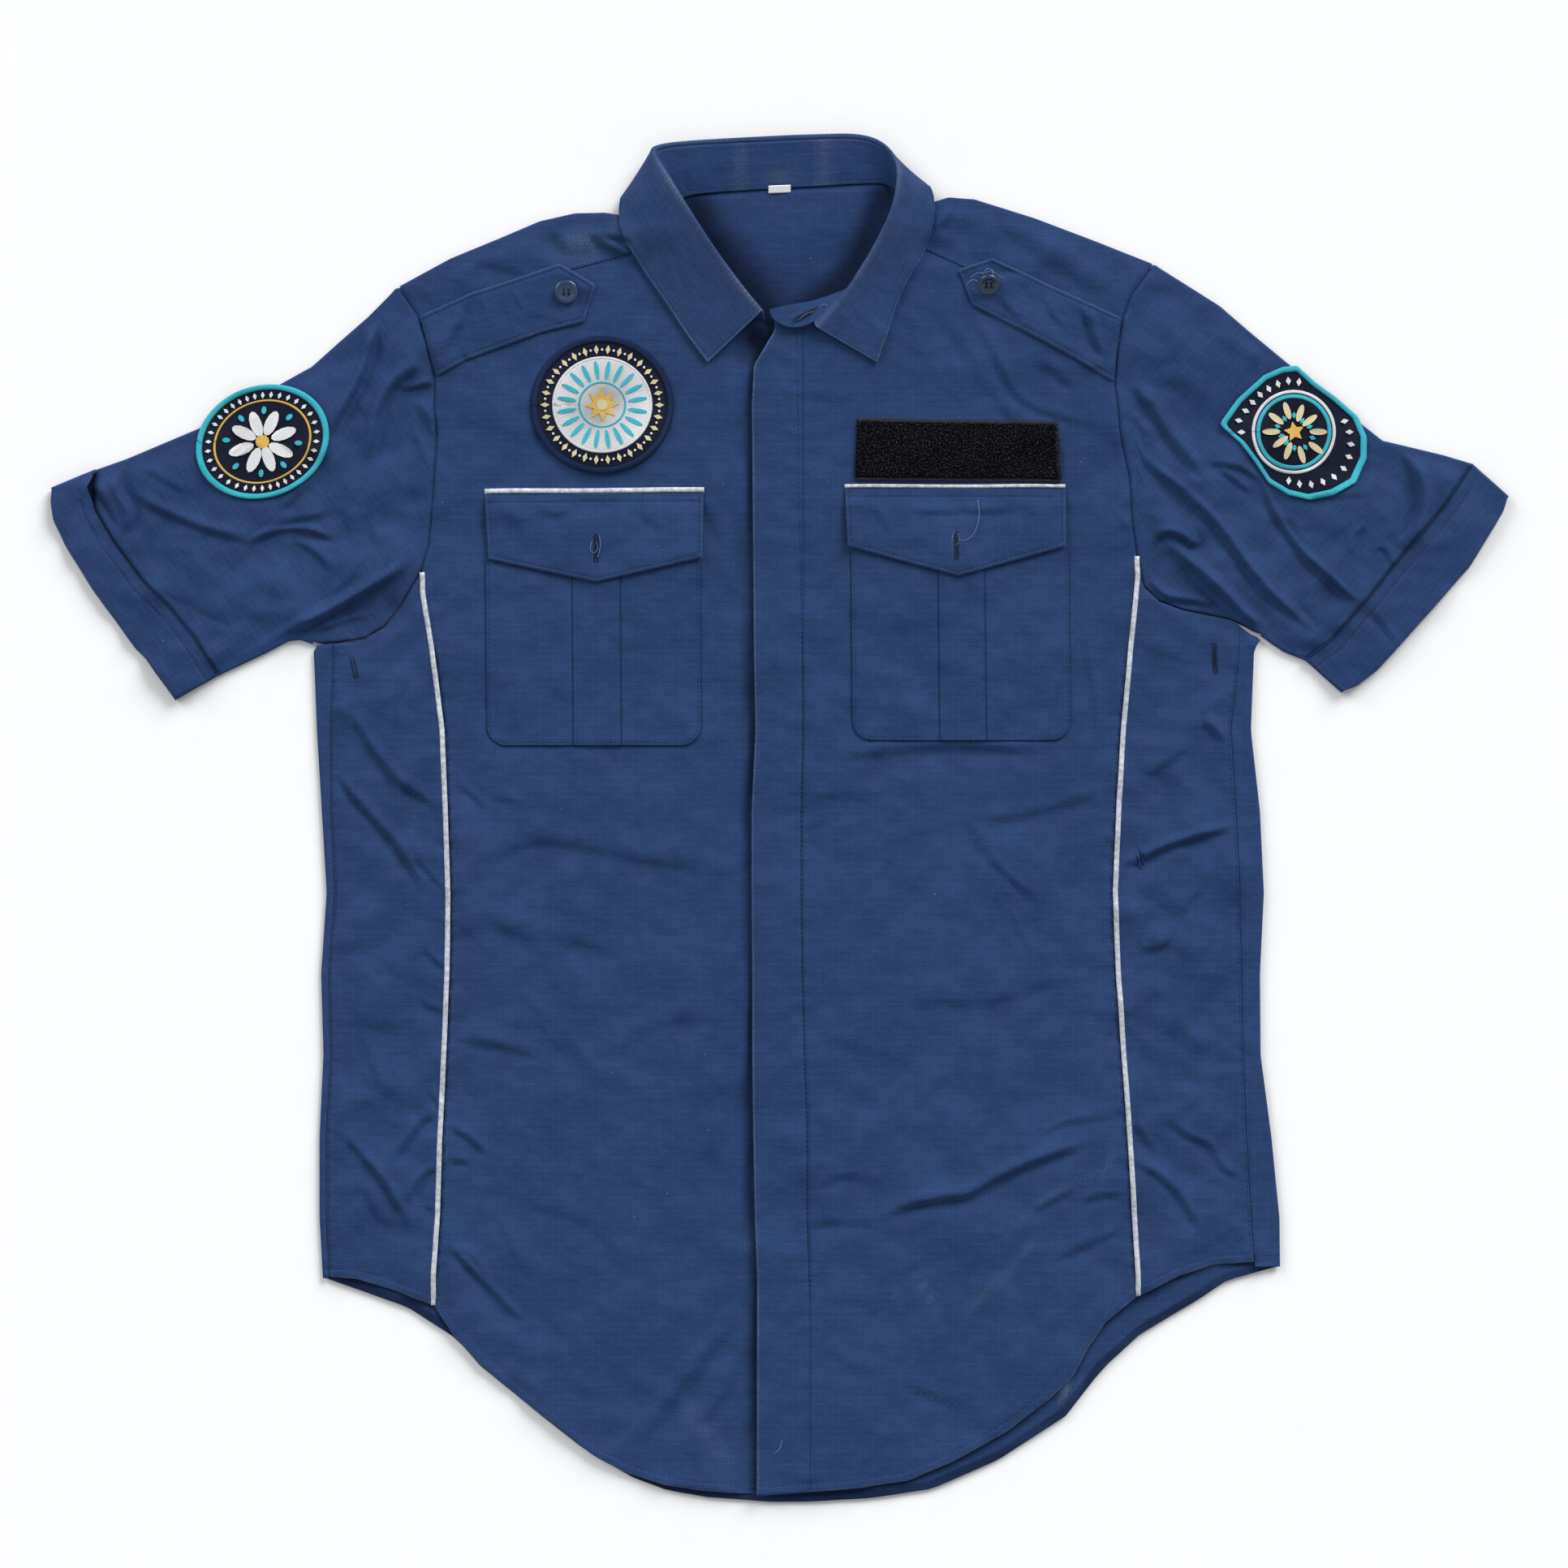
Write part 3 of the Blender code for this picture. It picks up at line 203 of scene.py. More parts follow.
# Creases of the body: depth, half width, height of the lip beside it, and the line.
BODY_CREASES = (
    (1.0, 5, 0.6, ((-27, 181), (-26, 156), (-29, 138), (-35, 117))),
    (0.5, 7, 0.3, ((-58, 198), (-41, 181), (-33, 156))),
    (0.9, 4, 0.5, ((112, 312), (125, 295), (134, 276), (143, 260), (152, 252), (166, 247), (195, 238))),
    (0.6, 7, 0.6, ((96, 314), (108, 291), (123, 266), (137, 247), (158, 231))),
    (0.6, 6, 0.4, ((77, 310), (81, 293), (83, 281))),
    (0.7, 5, 0.5, ((158, 279), (170, 272), (180, 261))),
    (0.5, 4, 0.4, ((-8, 257), (3, 259), (15, 259), (34, 255), (50, 256))),
    (0.4, 5, 0.3, ((-8, 289), (3, 281), (10, 274))),
    (0.6, 4, 0.4, ((202, 194), (208, 181), (215, 173))),
    (1.3, 4.5, 0.8, ((30, 27), (38, 36), (60, 38), (84, 41), (116, 42), (147, 40), (172, 41))),
    (0.7, 4, 0.4, ((185, 115), (189, 90), (193, 67), (192, 44))),
    (1.9, 3.2, 1.2, ((-265, 66), (-259, 52), (-249, 37), (-238, 23), (-224, 14), (-211, 4))),
    (1.0, 3.0, 0.5, ((-240, 25), (-236, 11))),
    (1.8, 3.6, 1.2, ((-278, 31), (-263, 12), (-249, -4), (-236, -19), (-226, -35), (-218, -49))),
    (0.8, 2.6, 0.4, ((-228, -21), (-218, -33), (-205, -47))),
    (0.7, 3, 0.4, ((-199, 19), (-187, 11), (-182, 3))),
    (0.6, 4, 0.3, ((-178, 12), (-166, 9), (-155, 5))),
    (1.1, 9, 0.6, ((-199, -33), (-183, -29), (-162, -22), (-145, -16), (-129, -19), (-104, -25), (-31, -37))),
    (0.8, 2.6, 0.5, ((-220, -80), (-213, -89), (-205, -94))),
    (0.7, 3, 0.4, ((-223, -110), (-217, -118), (-205, -119))),
    (0.8, 2.6, 0.4, ((-215, -169), (-212, -176), (-207, -181))),
    (0.9, 6, 0.5, ((-202, -139), (-187, -140), (-170, -143), (-145, -150))),
    (1.1, 3, 0.7, ((-204, -192), (-195, -195), (-187, -202), (-180, -209))),
    (0.9, 3, 0.6, ((-203, -213), (-197, -212), (-189, -214))),
    (1.3, 4, 0.8, ((-236, -213), (-226, -197), (-218, -187), (-208, -182))),
    (1.7, 3.4, 1.2, ((-271, -194), (-265, -201), (-257, -211), (-247, -221), (-238, -235), (-229, -253))),
    (0.7, 5, 0.4, ((-257, -227), (-251, -242), (-244, -255))),
    (1.5, 3.4, 0.9, ((-226, -238), (-223, -227), (-217, -220), (-209, -215))),
    (0.7, 3, 0.4, ((-219, -240), (-215, -241), (-211, -244))),
    (1.7, 3.4, 1.2, ((-206, -265), (-199, -269), (-191, -278), (-180, -290), (-170, -302), (-157, -312))),
    (0.9, 2.6, 0.5, ((-199, -265), (-191, -269), (-184, -279), (-177, -287))),
    (0.6, 6, 0.3, ((-176, -244), (-166, -269), (-155, -284))),
    (0.6, 8, 0.3, ((-172, -238), (-145, -244), (-120, -250), (-104, -267), (-93, -289))),
    (0.5, 4, 0.3, ((-154, -124), (-141, -136), (-132, -150))),
    (0.6, 4, 0.3, ((-32, -178), (-35, -195), (-34, -211))),
    (0.5, 6, 0.3, ((-263, -129), (-253, -151), (-244, -176))),
    (0.4, 6, 0.3, ((-170, -104), (-145, -124), (-120, -153), (-116, -174))),
    (0.5, 9, 0.4, ((-193, -62), (-162, -75), (-125, -79), (-83, -91))),
    (0.5, 8, 0.4, ((-108, -153), (-83, -133), (-52, -124), (-25, -129))),
    (0.9, 6, 0.5, ((116, -3), (145, -3), (169, 4), (189, 10), (201, 8))),
    (0.9, 2.4, 0.5, ((108, 8), (118, -9), (128, -26), (145, -41), (162, -57))),
    (0.5, 3, 0.3, ((139, -56), (146, -70), (156, -88))),
    (2.3, 3.4, 1.5, ((208, -32), (223, -27), (237, -19), (254, -14), (280, -7))),
    (0.8, 3.5, 0.4, ((209, -90), (220, -83), (236, -82), (245, -68), (253, -52), (268, -40))),
    (0.8, 11, 0.5, ((60, -116), (94, -117), (125, -118), (150, -110), (172, -102), (203, -102))),
    (0.7, 5, 0.4, ((25, -141), (40, -139), (53, -149), (61, -166))),
    (0.7, 3.5, 0.4, ((159, -199), (174, -189), (189, -187), (207, -184))),
    (1.2, 3.2, 0.8, ((235, -185), (252, -198), (263, -201), (270, -215), (280, -222), (287, -221))),
    (1.0, 3, 0.6, ((217, -185), (225, -201), (234, -211))),
    (2.4, 4.2, 1.6, ((60, -253), (73, -242), (96, -236), (116, -235), (130, -226), (150, -216), (174, -207),
                     (197, -201))),
    (1.2, 3, 0.8, ((215, -213), (227, -217), (240, -227), (250, -240), (259, -258))),
    (0.8, 5, 0.4, ((22, -229), (38, -222), (53, -223), (65, -228))),
    (0.5, 6, 0.3, ((26, -26), (38, -24), (60, -30))),
    (0.4, 5, 0.3, ((16, 10), (43, 12), (67, 8))),
    (0.5, 8, 0.4, ((70, -192), (94, -170), (116, -155))),
    (0.6, 4, 0.4, ((225, 22), (242, 34), (254, 44))),
    (1.4, 4, 1.0, ((259, 59), (268, 51), (271, 45))),
    (1.0, 3.6, 0.6, ((155, -245), (169, -236), (183, -230))),
    (1.1, 3, 0.7, ((185, -238), (197, -233), (212, -233))),
    (0.9, 4.5, 0.5, ((167, -274), (184, -267), (198, -261), (213, -254))),
    (0.8, 4, 0.5, ((6, -257), (15, -252), (40, -250), (64, -252))),
    (1.0, 3, 0.6, ((76, -346), (87, -355), (99, -359), (116, -364))),
    (0.6, 5, 0.4, ((47, -409), (57, -393), (72, -378))),
    (0.5, 5, 0.3, ((22, -329), (38, -335), (60, -347))),
    (0.5, 6, 0.3, ((23, -299), (43, -299), (64, -304))),
    (0.5, 7, 0.3, ((116, -402), (135, -378), (162, -356))),
    (1.6, 6, 1.3, ((-24, -307), (-42, -331), (-58, -354), (-75, -374), (-90, -391))),
    (1.4, 3.4, 1.2, ((-28, -333), (-29, -347), (-40, -364), (-49, -378))),
    (0.8, 4, 0.5, ((-34, -316), (-52, -339), (-66, -359), (-81, -380))),
    (0.8, 4, 0.4, ((-58, -389), (-52, -397), (-50, -407))),
    (1.2, 5, 0.3, ((-28, 306), (-24, 284), (-22, 244), (-22, 204))),
    (1.1, 5, 0.3, ((-23, 184), (-21, 124), (-20, 54))),
    (1.0, 5, 0.3, ((-20, 29), (-21, -46), (-20, -121))),
    (1.1, 5, 0.3, ((-21, -146), (-19, -221), (-16, -296))),
)


def smooth(t):
    t = np.clip(t, 0.0, 1.0)
    return t * t * (3.0 - 2.0 * t)


def bell(*parts):
    """1 where all the parts are 0, falling softly to 0 as one of them passes 1."""
    return np.exp(-sum(part ** 2 for part in parts))


def rounded(points):
    """A line with its corners cut twice."""
    line = np.array(points, float)
    for _ in range(2):
        a, b = line[:-1], line[1:]
        cut = np.stack([0.75 * a + 0.25 * b, 0.25 * a + 0.75 * b], axis=1).reshape(-1, 2)
        line = np.concatenate([line[:1], cut[1:-1], line[-1:]]) if len(line) > 2 else line
    return line


def measured(x, y, points):
    """Distance from a line, the side of it, the way gone along it, and its whole length."""
    best = np.full(np.shape(x), 1e9)
    side, way, gone = np.zeros(np.shape(x)), np.zeros(np.shape(x)), 0.0
    for (ax, ay), (bx, by) in zip(points, points[1:]):
        length = math.hypot(bx - ax, by - ay)
        dx, dy = (bx - ax) / length, (by - ay) / length
        t = np.clip((x - ax) * dx + (y - ay) * dy, 0.0, length)
        away = np.hypot(x - ax - t * dx, y - ay - t * dy)
        closer = away < best
        best = np.where(closer, away, best)
        side = np.where(closer, np.sign(dx * (y - ay) - dy * (x - ax)), side)
        way = np.where(closer, gone + t, way)
        gone += length
    return best, side, way, gone


def relief(x, y, rows):
    """Rise and fall of the cloth along its creases: a trough, and a lip on the side nearer the collar."""
    rise = np.zeros(np.shape(x))
    for depth, width, lip, points in rows:
        line = rounded(points)
        low, high = line.min(axis=0) - 4 * width, line.max(axis=0) + 4 * width
        near = (x > low[0]) & (x < high[0]) & (y > low[1]) & (y < high[1])
        if near.any():
            away, side, way, length = measured(x[near], y[near], line)
            off = away * side * (1.0 if line[-1][0] >= line[0][0] else -1.0) / (NARROWNESS * width)
            held = smooth(4 * way / length) * smooth(4 * (1 - way / length))
            steep = np.where(off > 0, 2.7 * off, -0.62 * off) ** 1.2
            rise[near] -= SHARPNESS * held * (depth * np.exp(-steep) - lip * bell((off - 1.2) / 1.0))
    return rise


drawn = random.Random(11)


def waves(height, lengths):
    """Waves of these lengths in drawn directions: size, the two ways they run, and phase."""
    rows = []
    for length in lengths:
        turn, steep = drawn.uniform(0, math.pi), 2 * math.pi / length
        rows.append((height * length, steep * math.cos(turn), steep * math.sin(turn), drawn.uniform(0, 6.28)))
    return rows


RIPPLES = waves(0.0082, (17, 21, 26, 31, 38, 46, 57, 70, 88, 24, 34, 52))


def uneven(x, y):
    """Small soft swells with no order, as in cloth that was worn, washed and smoothed out by hand."""
    rise = np.zeros(np.shape(x))
    for size, kx, ky, phase in RIPPLES:
        bend = 1.4 * np.sin(0.37 * (kx * y - ky * x) + 2 * phase)
        rise = rise + size * np.sin(kx * x + ky * y + phase + bend)
    return rise * (0.6 + 0.4 * np.sin(x / 61.0 + 1.0) * np.sin(y / 47.0))


FACETS = waves(0.0092, (27, 36, 47, 60, 78))


def crumpled(x, y):
    """Flat facets with crisp edges between them, stronger on the sleeves, the shoulders and the sides."""
    rise = np.zeros(np.shape(x))
    for size, kx, ky, phase in FACETS:
        way, side = kx * x + ky * y, kx * y - ky * x
        bend = 1.7 * np.sin(0.43 * side + 2 * phase) + 0.9 * np.sin(0.23 * way + 0.9 * side + phase)
        rise = rise + size * np.arcsin(0.985 * np.sin(way + phase + bend))
    outer = np.maximum(smooth((np.abs(x) - 195.0) / 30.0), smooth((y - 325.0) / 25.0))
    return rise * (0.42 + 0.75 * outer)


def fold_lines():
    sides = [tuple(zip(FOLD_R, BODY_Y)), tuple(zip(FOLD_L, BODY_Y))]
    return sides + [SHOULDER_R, SHOULDER_L, TOP_R, TOP_L, UNDER_R, UNDER_L]


def under(x, y):
    """Height of the cloth's underside: flat, and lifted over the collar at the back neck."""
    return NECK_LIFT * smooth((y - 345.0) / 17.0) * smooth((114.0 - np.abs(x)) / 12.0)


creases = list(BODY_CREASES)


def top(x, y):
    """Height of the upper face of the top layer."""
    x, y = np.broadcast_arrays(np.atleast_1d(np.asarray(x, float)), np.atleast_1d(np.asarray(y, float)))
    rise = relief(x, y, creases) + uneven(x, y) + crumpled(x, y)
    for x0, y0, x1, y1, width, height in SWELLS:
        away, _, way, length = measured(x, y, ((x0, y0), (x1, y1)))
        rise = rise + height * bell(away / width) * (0.45 + 0.55 * np.sin(math.pi * way / length))
    free = LOWEST + np.logaddexp(0.0, 2.5 * (REST + rise - LOWEST)) / 2.5
    nearest = np.full(np.shape(x), 1e9)
    for line in fold_lines():
        nearest = np.minimum(nearest, measured(x, y, line)[0])
    eased = smooth((nearest - EDGE / 2) / EASE)
    return under(x, y) + EDGE + (free - EDGE) * eased


def along(points, t):
    """Points at the shares t of a line's length."""
    points = np.array(points, float)
    steps = np.hypot(*np.diff(points, axis=0).T)
    at = np.concatenate([[0.0], np.cumsum(steps)]) / steps.sum()
    return np.stack([np.interp(t, at, points[:, 0]), np.interp(t, at, points[:, 1])], axis=-1)


def height_of(points):
    points = np.array(sorted(points), float)
    return lambda x: np.interp(x, points[:, 0], points[:, 1])


def side_of(points, shift=0.0):
    points = np.array(sorted(points, key=lambda p: p[1]), float)
    return lambda y: np.interp(y, points[:, 1], points[:, 0]) + shift


def body_line(values, shift=0.0):
    return side_of(tuple(zip(values, BODY_Y)), shift)


def between(u, v, left, right, bottom, above):
    """Points of a panel from its side lines x(y) and its end lines y(x)."""
    y = bottom(0.0 * u) + v * (above(0.0 * u) - bottom(0.0 * u))
    x = left(y) + u * (right(y) - left(y))
    for _ in range(40):
        x = (x + left(y) + u * (right(y) - left(y))) / 2
        y = bottom(x) + v * (above(x) - bottom(x))
    return x, y


def shares(length, start=(), end=(), step=None):
    """Shares of a length for a grid's lines: even, and close at these distances from its two ends."""
    step = step or STEP
    at = list(np.linspace(0.0, length, max(1, round(length / step)) + 1))
    for mark in [*start, *(length - far for far in end)]:
        at += [mark + off for off in (-0.9, -0.45, 0.0, 0.45, 0.9)]
    kept = [0.0]
    for spot in sorted(at):
        if kept[-1] + 0.35 < spot < length - 0.35:
            kept.append(spot)
    return np.array([*kept, length]) / length


def outer_fine(length, fine, step, marks=()):
    """Shares of a length, close together over its first stretch, where a panel is creased most."""
    near = np.linspace(0.0, fine, round(fine / step) + 1)
    far = np.linspace(fine, length, round((length - fine) / (1.9 * step)) + 1)
    at = sorted([*near, *far, *(mark + off for mark in marks for off in (-0.45, 0.0, 0.45))])
    kept = [0.0]
    for spot in at:
        if kept[-1] + 0.35 < spot < length - 0.35:
            kept.append(spot)
    return np.array([*kept, length]) / length


def grid(mesh, columns, rows, place):
    """A grid with lines at the shares columns and rows. place(u, v) gives x, y, z and the cloth's own way
    across, way along, and a third value that gives the rubbed, worn tint above zero and painted shade below
    zero, which the weave follows."""
    grain = mesh.verts.layers.float_vector.get("grain") or mesh.verts.layers.float_vector.new("grain")
    wide, high = len(columns) - 1, len(rows) - 1
    made = bmesh.ops.create_grid(mesh, x_segments=wide, y_segments=high, size=0.5)["verts"]
    i = np.rint([(vert.co.x + 0.5) * wide for vert in made]).astype(int)
    j = np.rint([(vert.co.y + 0.5) * high for vert in made]).astype(int)
    u, v = columns[i], rows[j]
    x, y, z, across, down, wear_and_shade = (np.broadcast_to(value, u.shape) for value in place(u, v))
    for vert, spot, thread in zip(made, zip(x, y, z), zip(across, down, wear_and_shade)):
        vert.co = Vector(spot) * MM
        vert[grain] = Vector(thread)


def rides(item, nodes):
    """Fixes a piece to the shirt, and hides the solids that it stands for."""
    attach(item, "root")
    if nodes:
        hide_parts(*nodes)


def cloth(mesh, name, finish, nodes, wall=WALL, offset=-1.0, wrapped=False, crisp=False):
    """Joins the grids of a piece, gives it its wall, and hands it over with its flat cut in metres."""
    bmesh.ops.remove_doubles(mesh, verts=mesh.verts[:], dist=1e-6)
    if wrapped:
        bmesh.ops.recalc_face_normals(mesh, faces=mesh.faces[:])
    elif sum(face.normal.z * face.calc_area() for face in mesh.faces) < 0:
        bmesh.ops.reverse_faces(mesh, faces=mesh.faces[:])
    for face in mesh.faces:
        face.smooth = not crisp
    item = placed(mesh, name, finish)
    thick = item.modifiers.new("wall", "SOLIDIFY")
    thick.thickness = wall * MM
    thick.offset = offset
    thick.use_even_offset = False
    rides(item, nodes)


def cloth_way(tree):
    """The cloth's own way as one vector, and its parts: way across, way along, and the worn tint that turns
    to painted shade below zero.
    """
    thread = put(tree, "ShaderNodeAttribute", {}, 1, attribute_name="grain")
    split = tree.nodes.new("ShaderNodeSeparateXYZ")
    tree.links.new(thread, split.inputs[0])
    return thread, *split.outputs


def ripstop(name, shade, pale, worn):
    """Ripstop from the cloth's own way: threads, the heavier grid, fading, mottle, painted shade and rubbed,
    worn spots.
    """
    made, tree, shader = start_finish(name, {
        "Roughness": 0.85, "Specular IOR Level": 0.12, "Sheen Weight": 0.04, "Sheen Roughness": 0.45,
        "Sheen Tint": (0.62, 0.72, 1.0, 1.0),
    })
    thread, across, down, wear_and_shade = cloth_way(tree)

    def stretched(a, b, detail=2.0):
        longer = put(tree, "ShaderNodeVectorMath", {0: thread, 1: (a, b, 0.0)}, operation="MULTIPLY")
        return noise(tree, longer, 1.0, detail)

    def calc(kind, a, b=0.0):
        return put(tree, "ShaderNodeMath", {0: a, 1: b}, operation=kind)

    def heavier(way, a, b, low, high):
        line = ranged(tree, calc("PINGPONG", way, GRID_PITCH / 2), 0.16, 0.50, 1.0, 0.0)
        return calc("MULTIPLY", line, ranged(tree, stretched(a, b, 1.0), low, high))

    weft, warp = stretched(0.30, 2.1), stretched(2.1, 0.30)
    rows, lines = heavier(down, 0.10, 0.7, 0.34, 0.62), heavier(across, 0.7, 0.10, 0.38, 0.66)
    heavy = calc("MAXIMUM", rows, calc("MULTIPLY", lines, 0.85))
    weave = calc("MULTIPLY_ADD", calc("ADD", weft, warp), 0.5)
    fade = noise(tree, thread, 0.013, 3.0)
    mottle = noise(tree, thread, 0.09, 4.0, 0.6)
    tone = ranged(tree, weave, 0.32, 0.68, -0.11, 0.11)
    tone = calc("ADD", tone, ranged(tree, fade, 0.3, 0.7, -0.10, 0.10))
    tone = calc("ADD", tone, ranged(tree, mottle, 0.3, 0.7, -0.10, 0.10))
    tone = calc("ADD", tone, calc("MULTIPLY", heavy, 0.22))
    tone = calc("ADD", tone, 0.47)
    colour = mixed(tree, tone, shade, pale)
    # Painted shade: below zero the third grain value darkens the cloth towards near-black navy, in creases,
    # seams and gaps where shade falls.
    shaded = calc("MINIMUM", calc("MULTIPLY", wear_and_shade, -1.0), 1.0)
    colour = mixed(tree, shaded, colour, (0.0015, 0.0045, 0.018, 1))
    rubbed = calc("MULTIPLY", calc("MAXIMUM", wear_and_shade, 0.0), ranged(tree, stretched(1.1, 1.1, 3.0), 0.35, 0.62))
    colour = mixed(tree, rubbed, colour, worn)
    lint = put(tree, "ShaderNodeTexVoronoi", {"Vector": thread, "Scale": 0.045, "Randomness": 1.0})
    colour = mixed(tree, ranged(tree, lint, 0.011, 0.017, 0.7, 0.0), colour, (0.30, 0.33, 0.40, 1))
    tree.links.new(colour, shader.inputs["Base Color"])
    raised = calc("ADD", calc("MULTIPLY", weave, 0.8), calc("MULTIPLY", heavy, 0.5))
    fine = put(tree, "ShaderNodeBump", {"Height": raised, "Distance": 0.00028, "Strength": 0.45})
    soft = stretched(0.07, 0.10, 3.0)
    bump = put(tree, "ShaderNodeBump", {"Height": soft, "Distance": 0.0014, "Strength": 0.8, "Normal": fine})
    tree.links.new(bump, shader.inputs["Normal"])
    return made


navy = ripstop("navy ripstop", (0.0068, 0.0165, 0.057, 1), (0.0275, 0.0625, 0.175, 1), (0.13, 0.17, 0.25, 1))


def roll(away, depth=0.8, reach=1.2):
    """Drop of a cloth's edge into its seam."""
    return -depth * bell(away / reach)


def ripple(away, way, size=0.16, pitch=7.5, reach=4.0):
    """Small ripples that stitching draws up across a seam."""
    wander = 1.3 * np.sin(way / 17.0) + 0.9 * np.sin(way / 41.0 + 1.0)
    return size * np.sin(2 * math.pi * way / pitch + wander) * bell(away / reach)


def turned_hem(x, y, line, fold=5.0):
    """Rise of a hem that is turned twice: a thicker edge, and a dip along its stitching."""
    away, _, way, _ = measured(x, y, line)
    band = 0.5 * (1 - smooth((away - fold + 0.7) / 1.4)) - 0.35 * bell((away - fold) / 0.5)
    return band - 0.7 * bell(away / 0.8) + ripple(away - fold / 2, way, 0.2, 8.5, 4.5)


HEM_LINES = (0.0, 1.0, 4.2, 5.0, 5.8)
low_r, low_l = ARM_LOW_R[-1][1] - 2 * SEAM, ARM_LOW_L[-1][1] - 2 * SEAM
arm_r = [(x + 2 * SEAM, y) for x, y in ARM_SIDE_R] + [(x + 2.5, y - 1.6) for x, y in ARM_LOW_R[1:-1]]
arm_l = [(x - 2 * SEAM, y) for x, y in ARM_SIDE_L] + [(x - 2.5, y - 1.6) for x, y in ARM_LOW_L[1:-1]]
sides_r = [(x + EDGE / 2, y) for x, y in zip(FOLD_R, BODY_Y)]
sides_l = [(x - EDGE / 2, y) for x, y in zip(FOLD_L, BODY_Y)]
back_left = side_of([*sides_r, (ARM_LOW_R[-1][0] + EDGE / 2, low_r), *arm_r])
back_right = side_of([*sides_l, (ARM_LOW_L[-1][0] - EDGE / 2, low_l), *arm_l])
back_seam = height_of([(x, y - SEAM) for x, y in YOKE_BACK_SEAM])
back_hem = height_of(HEM_BACK)
low_rows = shares(390.0, HEM_LINES, (), 1.6 * STEP)
high_rows = shares(130.0, (), (), 3 * STEP)[1:]
back_rows = np.concatenate([low_rows, 1.0 + high_rows])  # 1 is the height of the underarm


def back_spot(u, row):
    """A point of the back: rows to 1 end at the underarm, and rows to 2 at the yoke."""
    low = low_r + u * (low_l - low_r)
    x = FOLD_R[0] + u * (FOLD_L[0] - FOLD_R[0])
    meet = (low - back_hem(x)) / (back_seam(x) - back_hem(x))
    v = np.where(row <= 1.0, meet * row, meet + (1 - meet) * np.maximum(row - 1.0, 0.0) ** 1.8)
    return between(u, v, back_left, back_right, back_hem, back_seam)


def back_flat(u, row):
    x, y = back_spot(u, row)
    away = measured(x, y, HEM_BACK)[0]
    lift = np.maximum(turned_hem(x, y, HEM_BACK) + 0.7 * bell(away / 0.8), 0.0) * (away < 9.0)
    fray = bell((x - 177.0) / 5.0, (y + 352.0) / 5.0)
    # Painted shade: a shadow on the back just below the front hem, a darker hem band, and pucker shading that
    # paints the hem's edge lighter and darker in turn; fray is real wear.
    shown = height_of(HEM_FRONT)(x) - y
    shade = np.maximum(0.65 * bell(np.maximum(shown, 0.0) / 2.6), 0.6 * (1 - smooth((away - 4.2) / 1.4)))
    pucker_shading = 0.12 * np.sin(measured(x, y, HEM_BACK)[2] / 1.1)
    worn = fray - (shade + pucker_shading * (away < 5.0)) * (1 - fray)
    return x, y, WALL + lift + 0.5 * fray * np.sin(3.1 * x + 2.3 * y), x, y, worn


mesh = bmesh.new()
grid(mesh, shares(560.0, (1.0, 3.0), (1.0, 3.0), 2.6 * STEP), back_rows, back_flat)
for end, out, seams, arm, low in (
    (0.0, -1.0, SIDE_R, ARM_LOW_R, low_r), (1.0, 1.0, SIDE_L, ARM_LOW_L, low_l),
):
    seam_at, arm_at = body_line(seams, out * SEAM), height_of(arm)

    def back_round(u, row):
        x0, y0 = back_spot(end + 0.0 * u, row)
        turn, past = np.minimum(2 * u, 1.0) * math.pi, np.maximum(2 * u - 1.0, 0.0)
        x = x0 + out * EDGE / 2 * np.sin(turn)
        rise = (row ** 5) * past * np.maximum(arm_at(seam_at(y0)) - 2 * SEAM - low, 0.0)
        x = x + past * (seam_at(y0 + rise) - x0)
        y = y0 + rise
        away, _, way, _ = measured(x, y, tuple(zip(seams, BODY_Y)))
        start = EDGE / 2 + WALL / 2 - (EDGE - WALL) / 2 * np.cos(turn)
        z = start + (u > 0.5) * (top(x, y) - EDGE + turned_hem(x, y, HEM_BACK) * smooth(past * 4)
                                 + roll(away, 0.7) + ripple(away, way))
        return x, y, z, x + out * turn, y, 0.0 * x

    round_columns = np.concatenate([np.linspace(0.0, 0.5, 9), 0.5 + shares(14.0, (), (0.0,))[1:] / 2])
    grid(mesh, round_columns, low_rows, back_round)
cloth(mesh, "back_panel_cloth", navy, ["back_panel"], wrapped=True)


# The yoke: the shoulder piece, in the same ripstop. It lies flat at the back, comes round both
# shoulders and is felled down over the fronts at the slanting front yoke seams.
NECK_BACK = (
    (-66.0, 372.0), (-61.0, 379.0), (-52.0, 383.5), (-42.8, 384.6), (-12.2, 386.8),
    (19.8, 388.6), (51.2, 390.4), (64.0, 389.5), (71.5, 383.0), (78.0, 375.5),
)
YOKE_SEAM_R = (
    (-219.2, 303.8), (-191.2, 317.2), (-160.2, 327.8), (-125.2, 337.2), (-91.8, 346.8), (-57.6, 359.8),
)
YOKE_SEAM_L = (
    (209.8, 295.8), (179.8, 306.2), (144.8, 322.8), (109.8, 339.8), (89.8, 349.2), (71.6, 358.8),
)
creases += [
    (1.6, 3.4, 1.6, ((-117, 356), (-108, 351), (-100, 347), (-93, 343))),
    (1.2, 2.6, 1.0, ((-118, 356), (-107, 357), (-96, 356), (-90, 352))),
    (1.2, 4.0, 1.2, ((-100, 372), (-102, 364), (-99, 358))),
    (0.8, 6.0, 0.7, ((-146, 364), (-138, 354), (-131, 343))),
    (0.6, 7.0, 0.5, ((-190, 340), (-170, 336), (-155, 330))),
    (0.9, 4.0, 0.8, ((104, 381), (107, 374), (104, 366), (97, 358))),
    (0.8, 8.0, 0.7, ((119, 372), (150, 352), (175, 333), (204, 318))),
    (0.6, 6.0, 0.5, ((126, 340), (139, 336), (150, 334))),
    (0.7, 5.0, 0.4, ((-113, 306), (-108, 300), (-101, 295))),
]


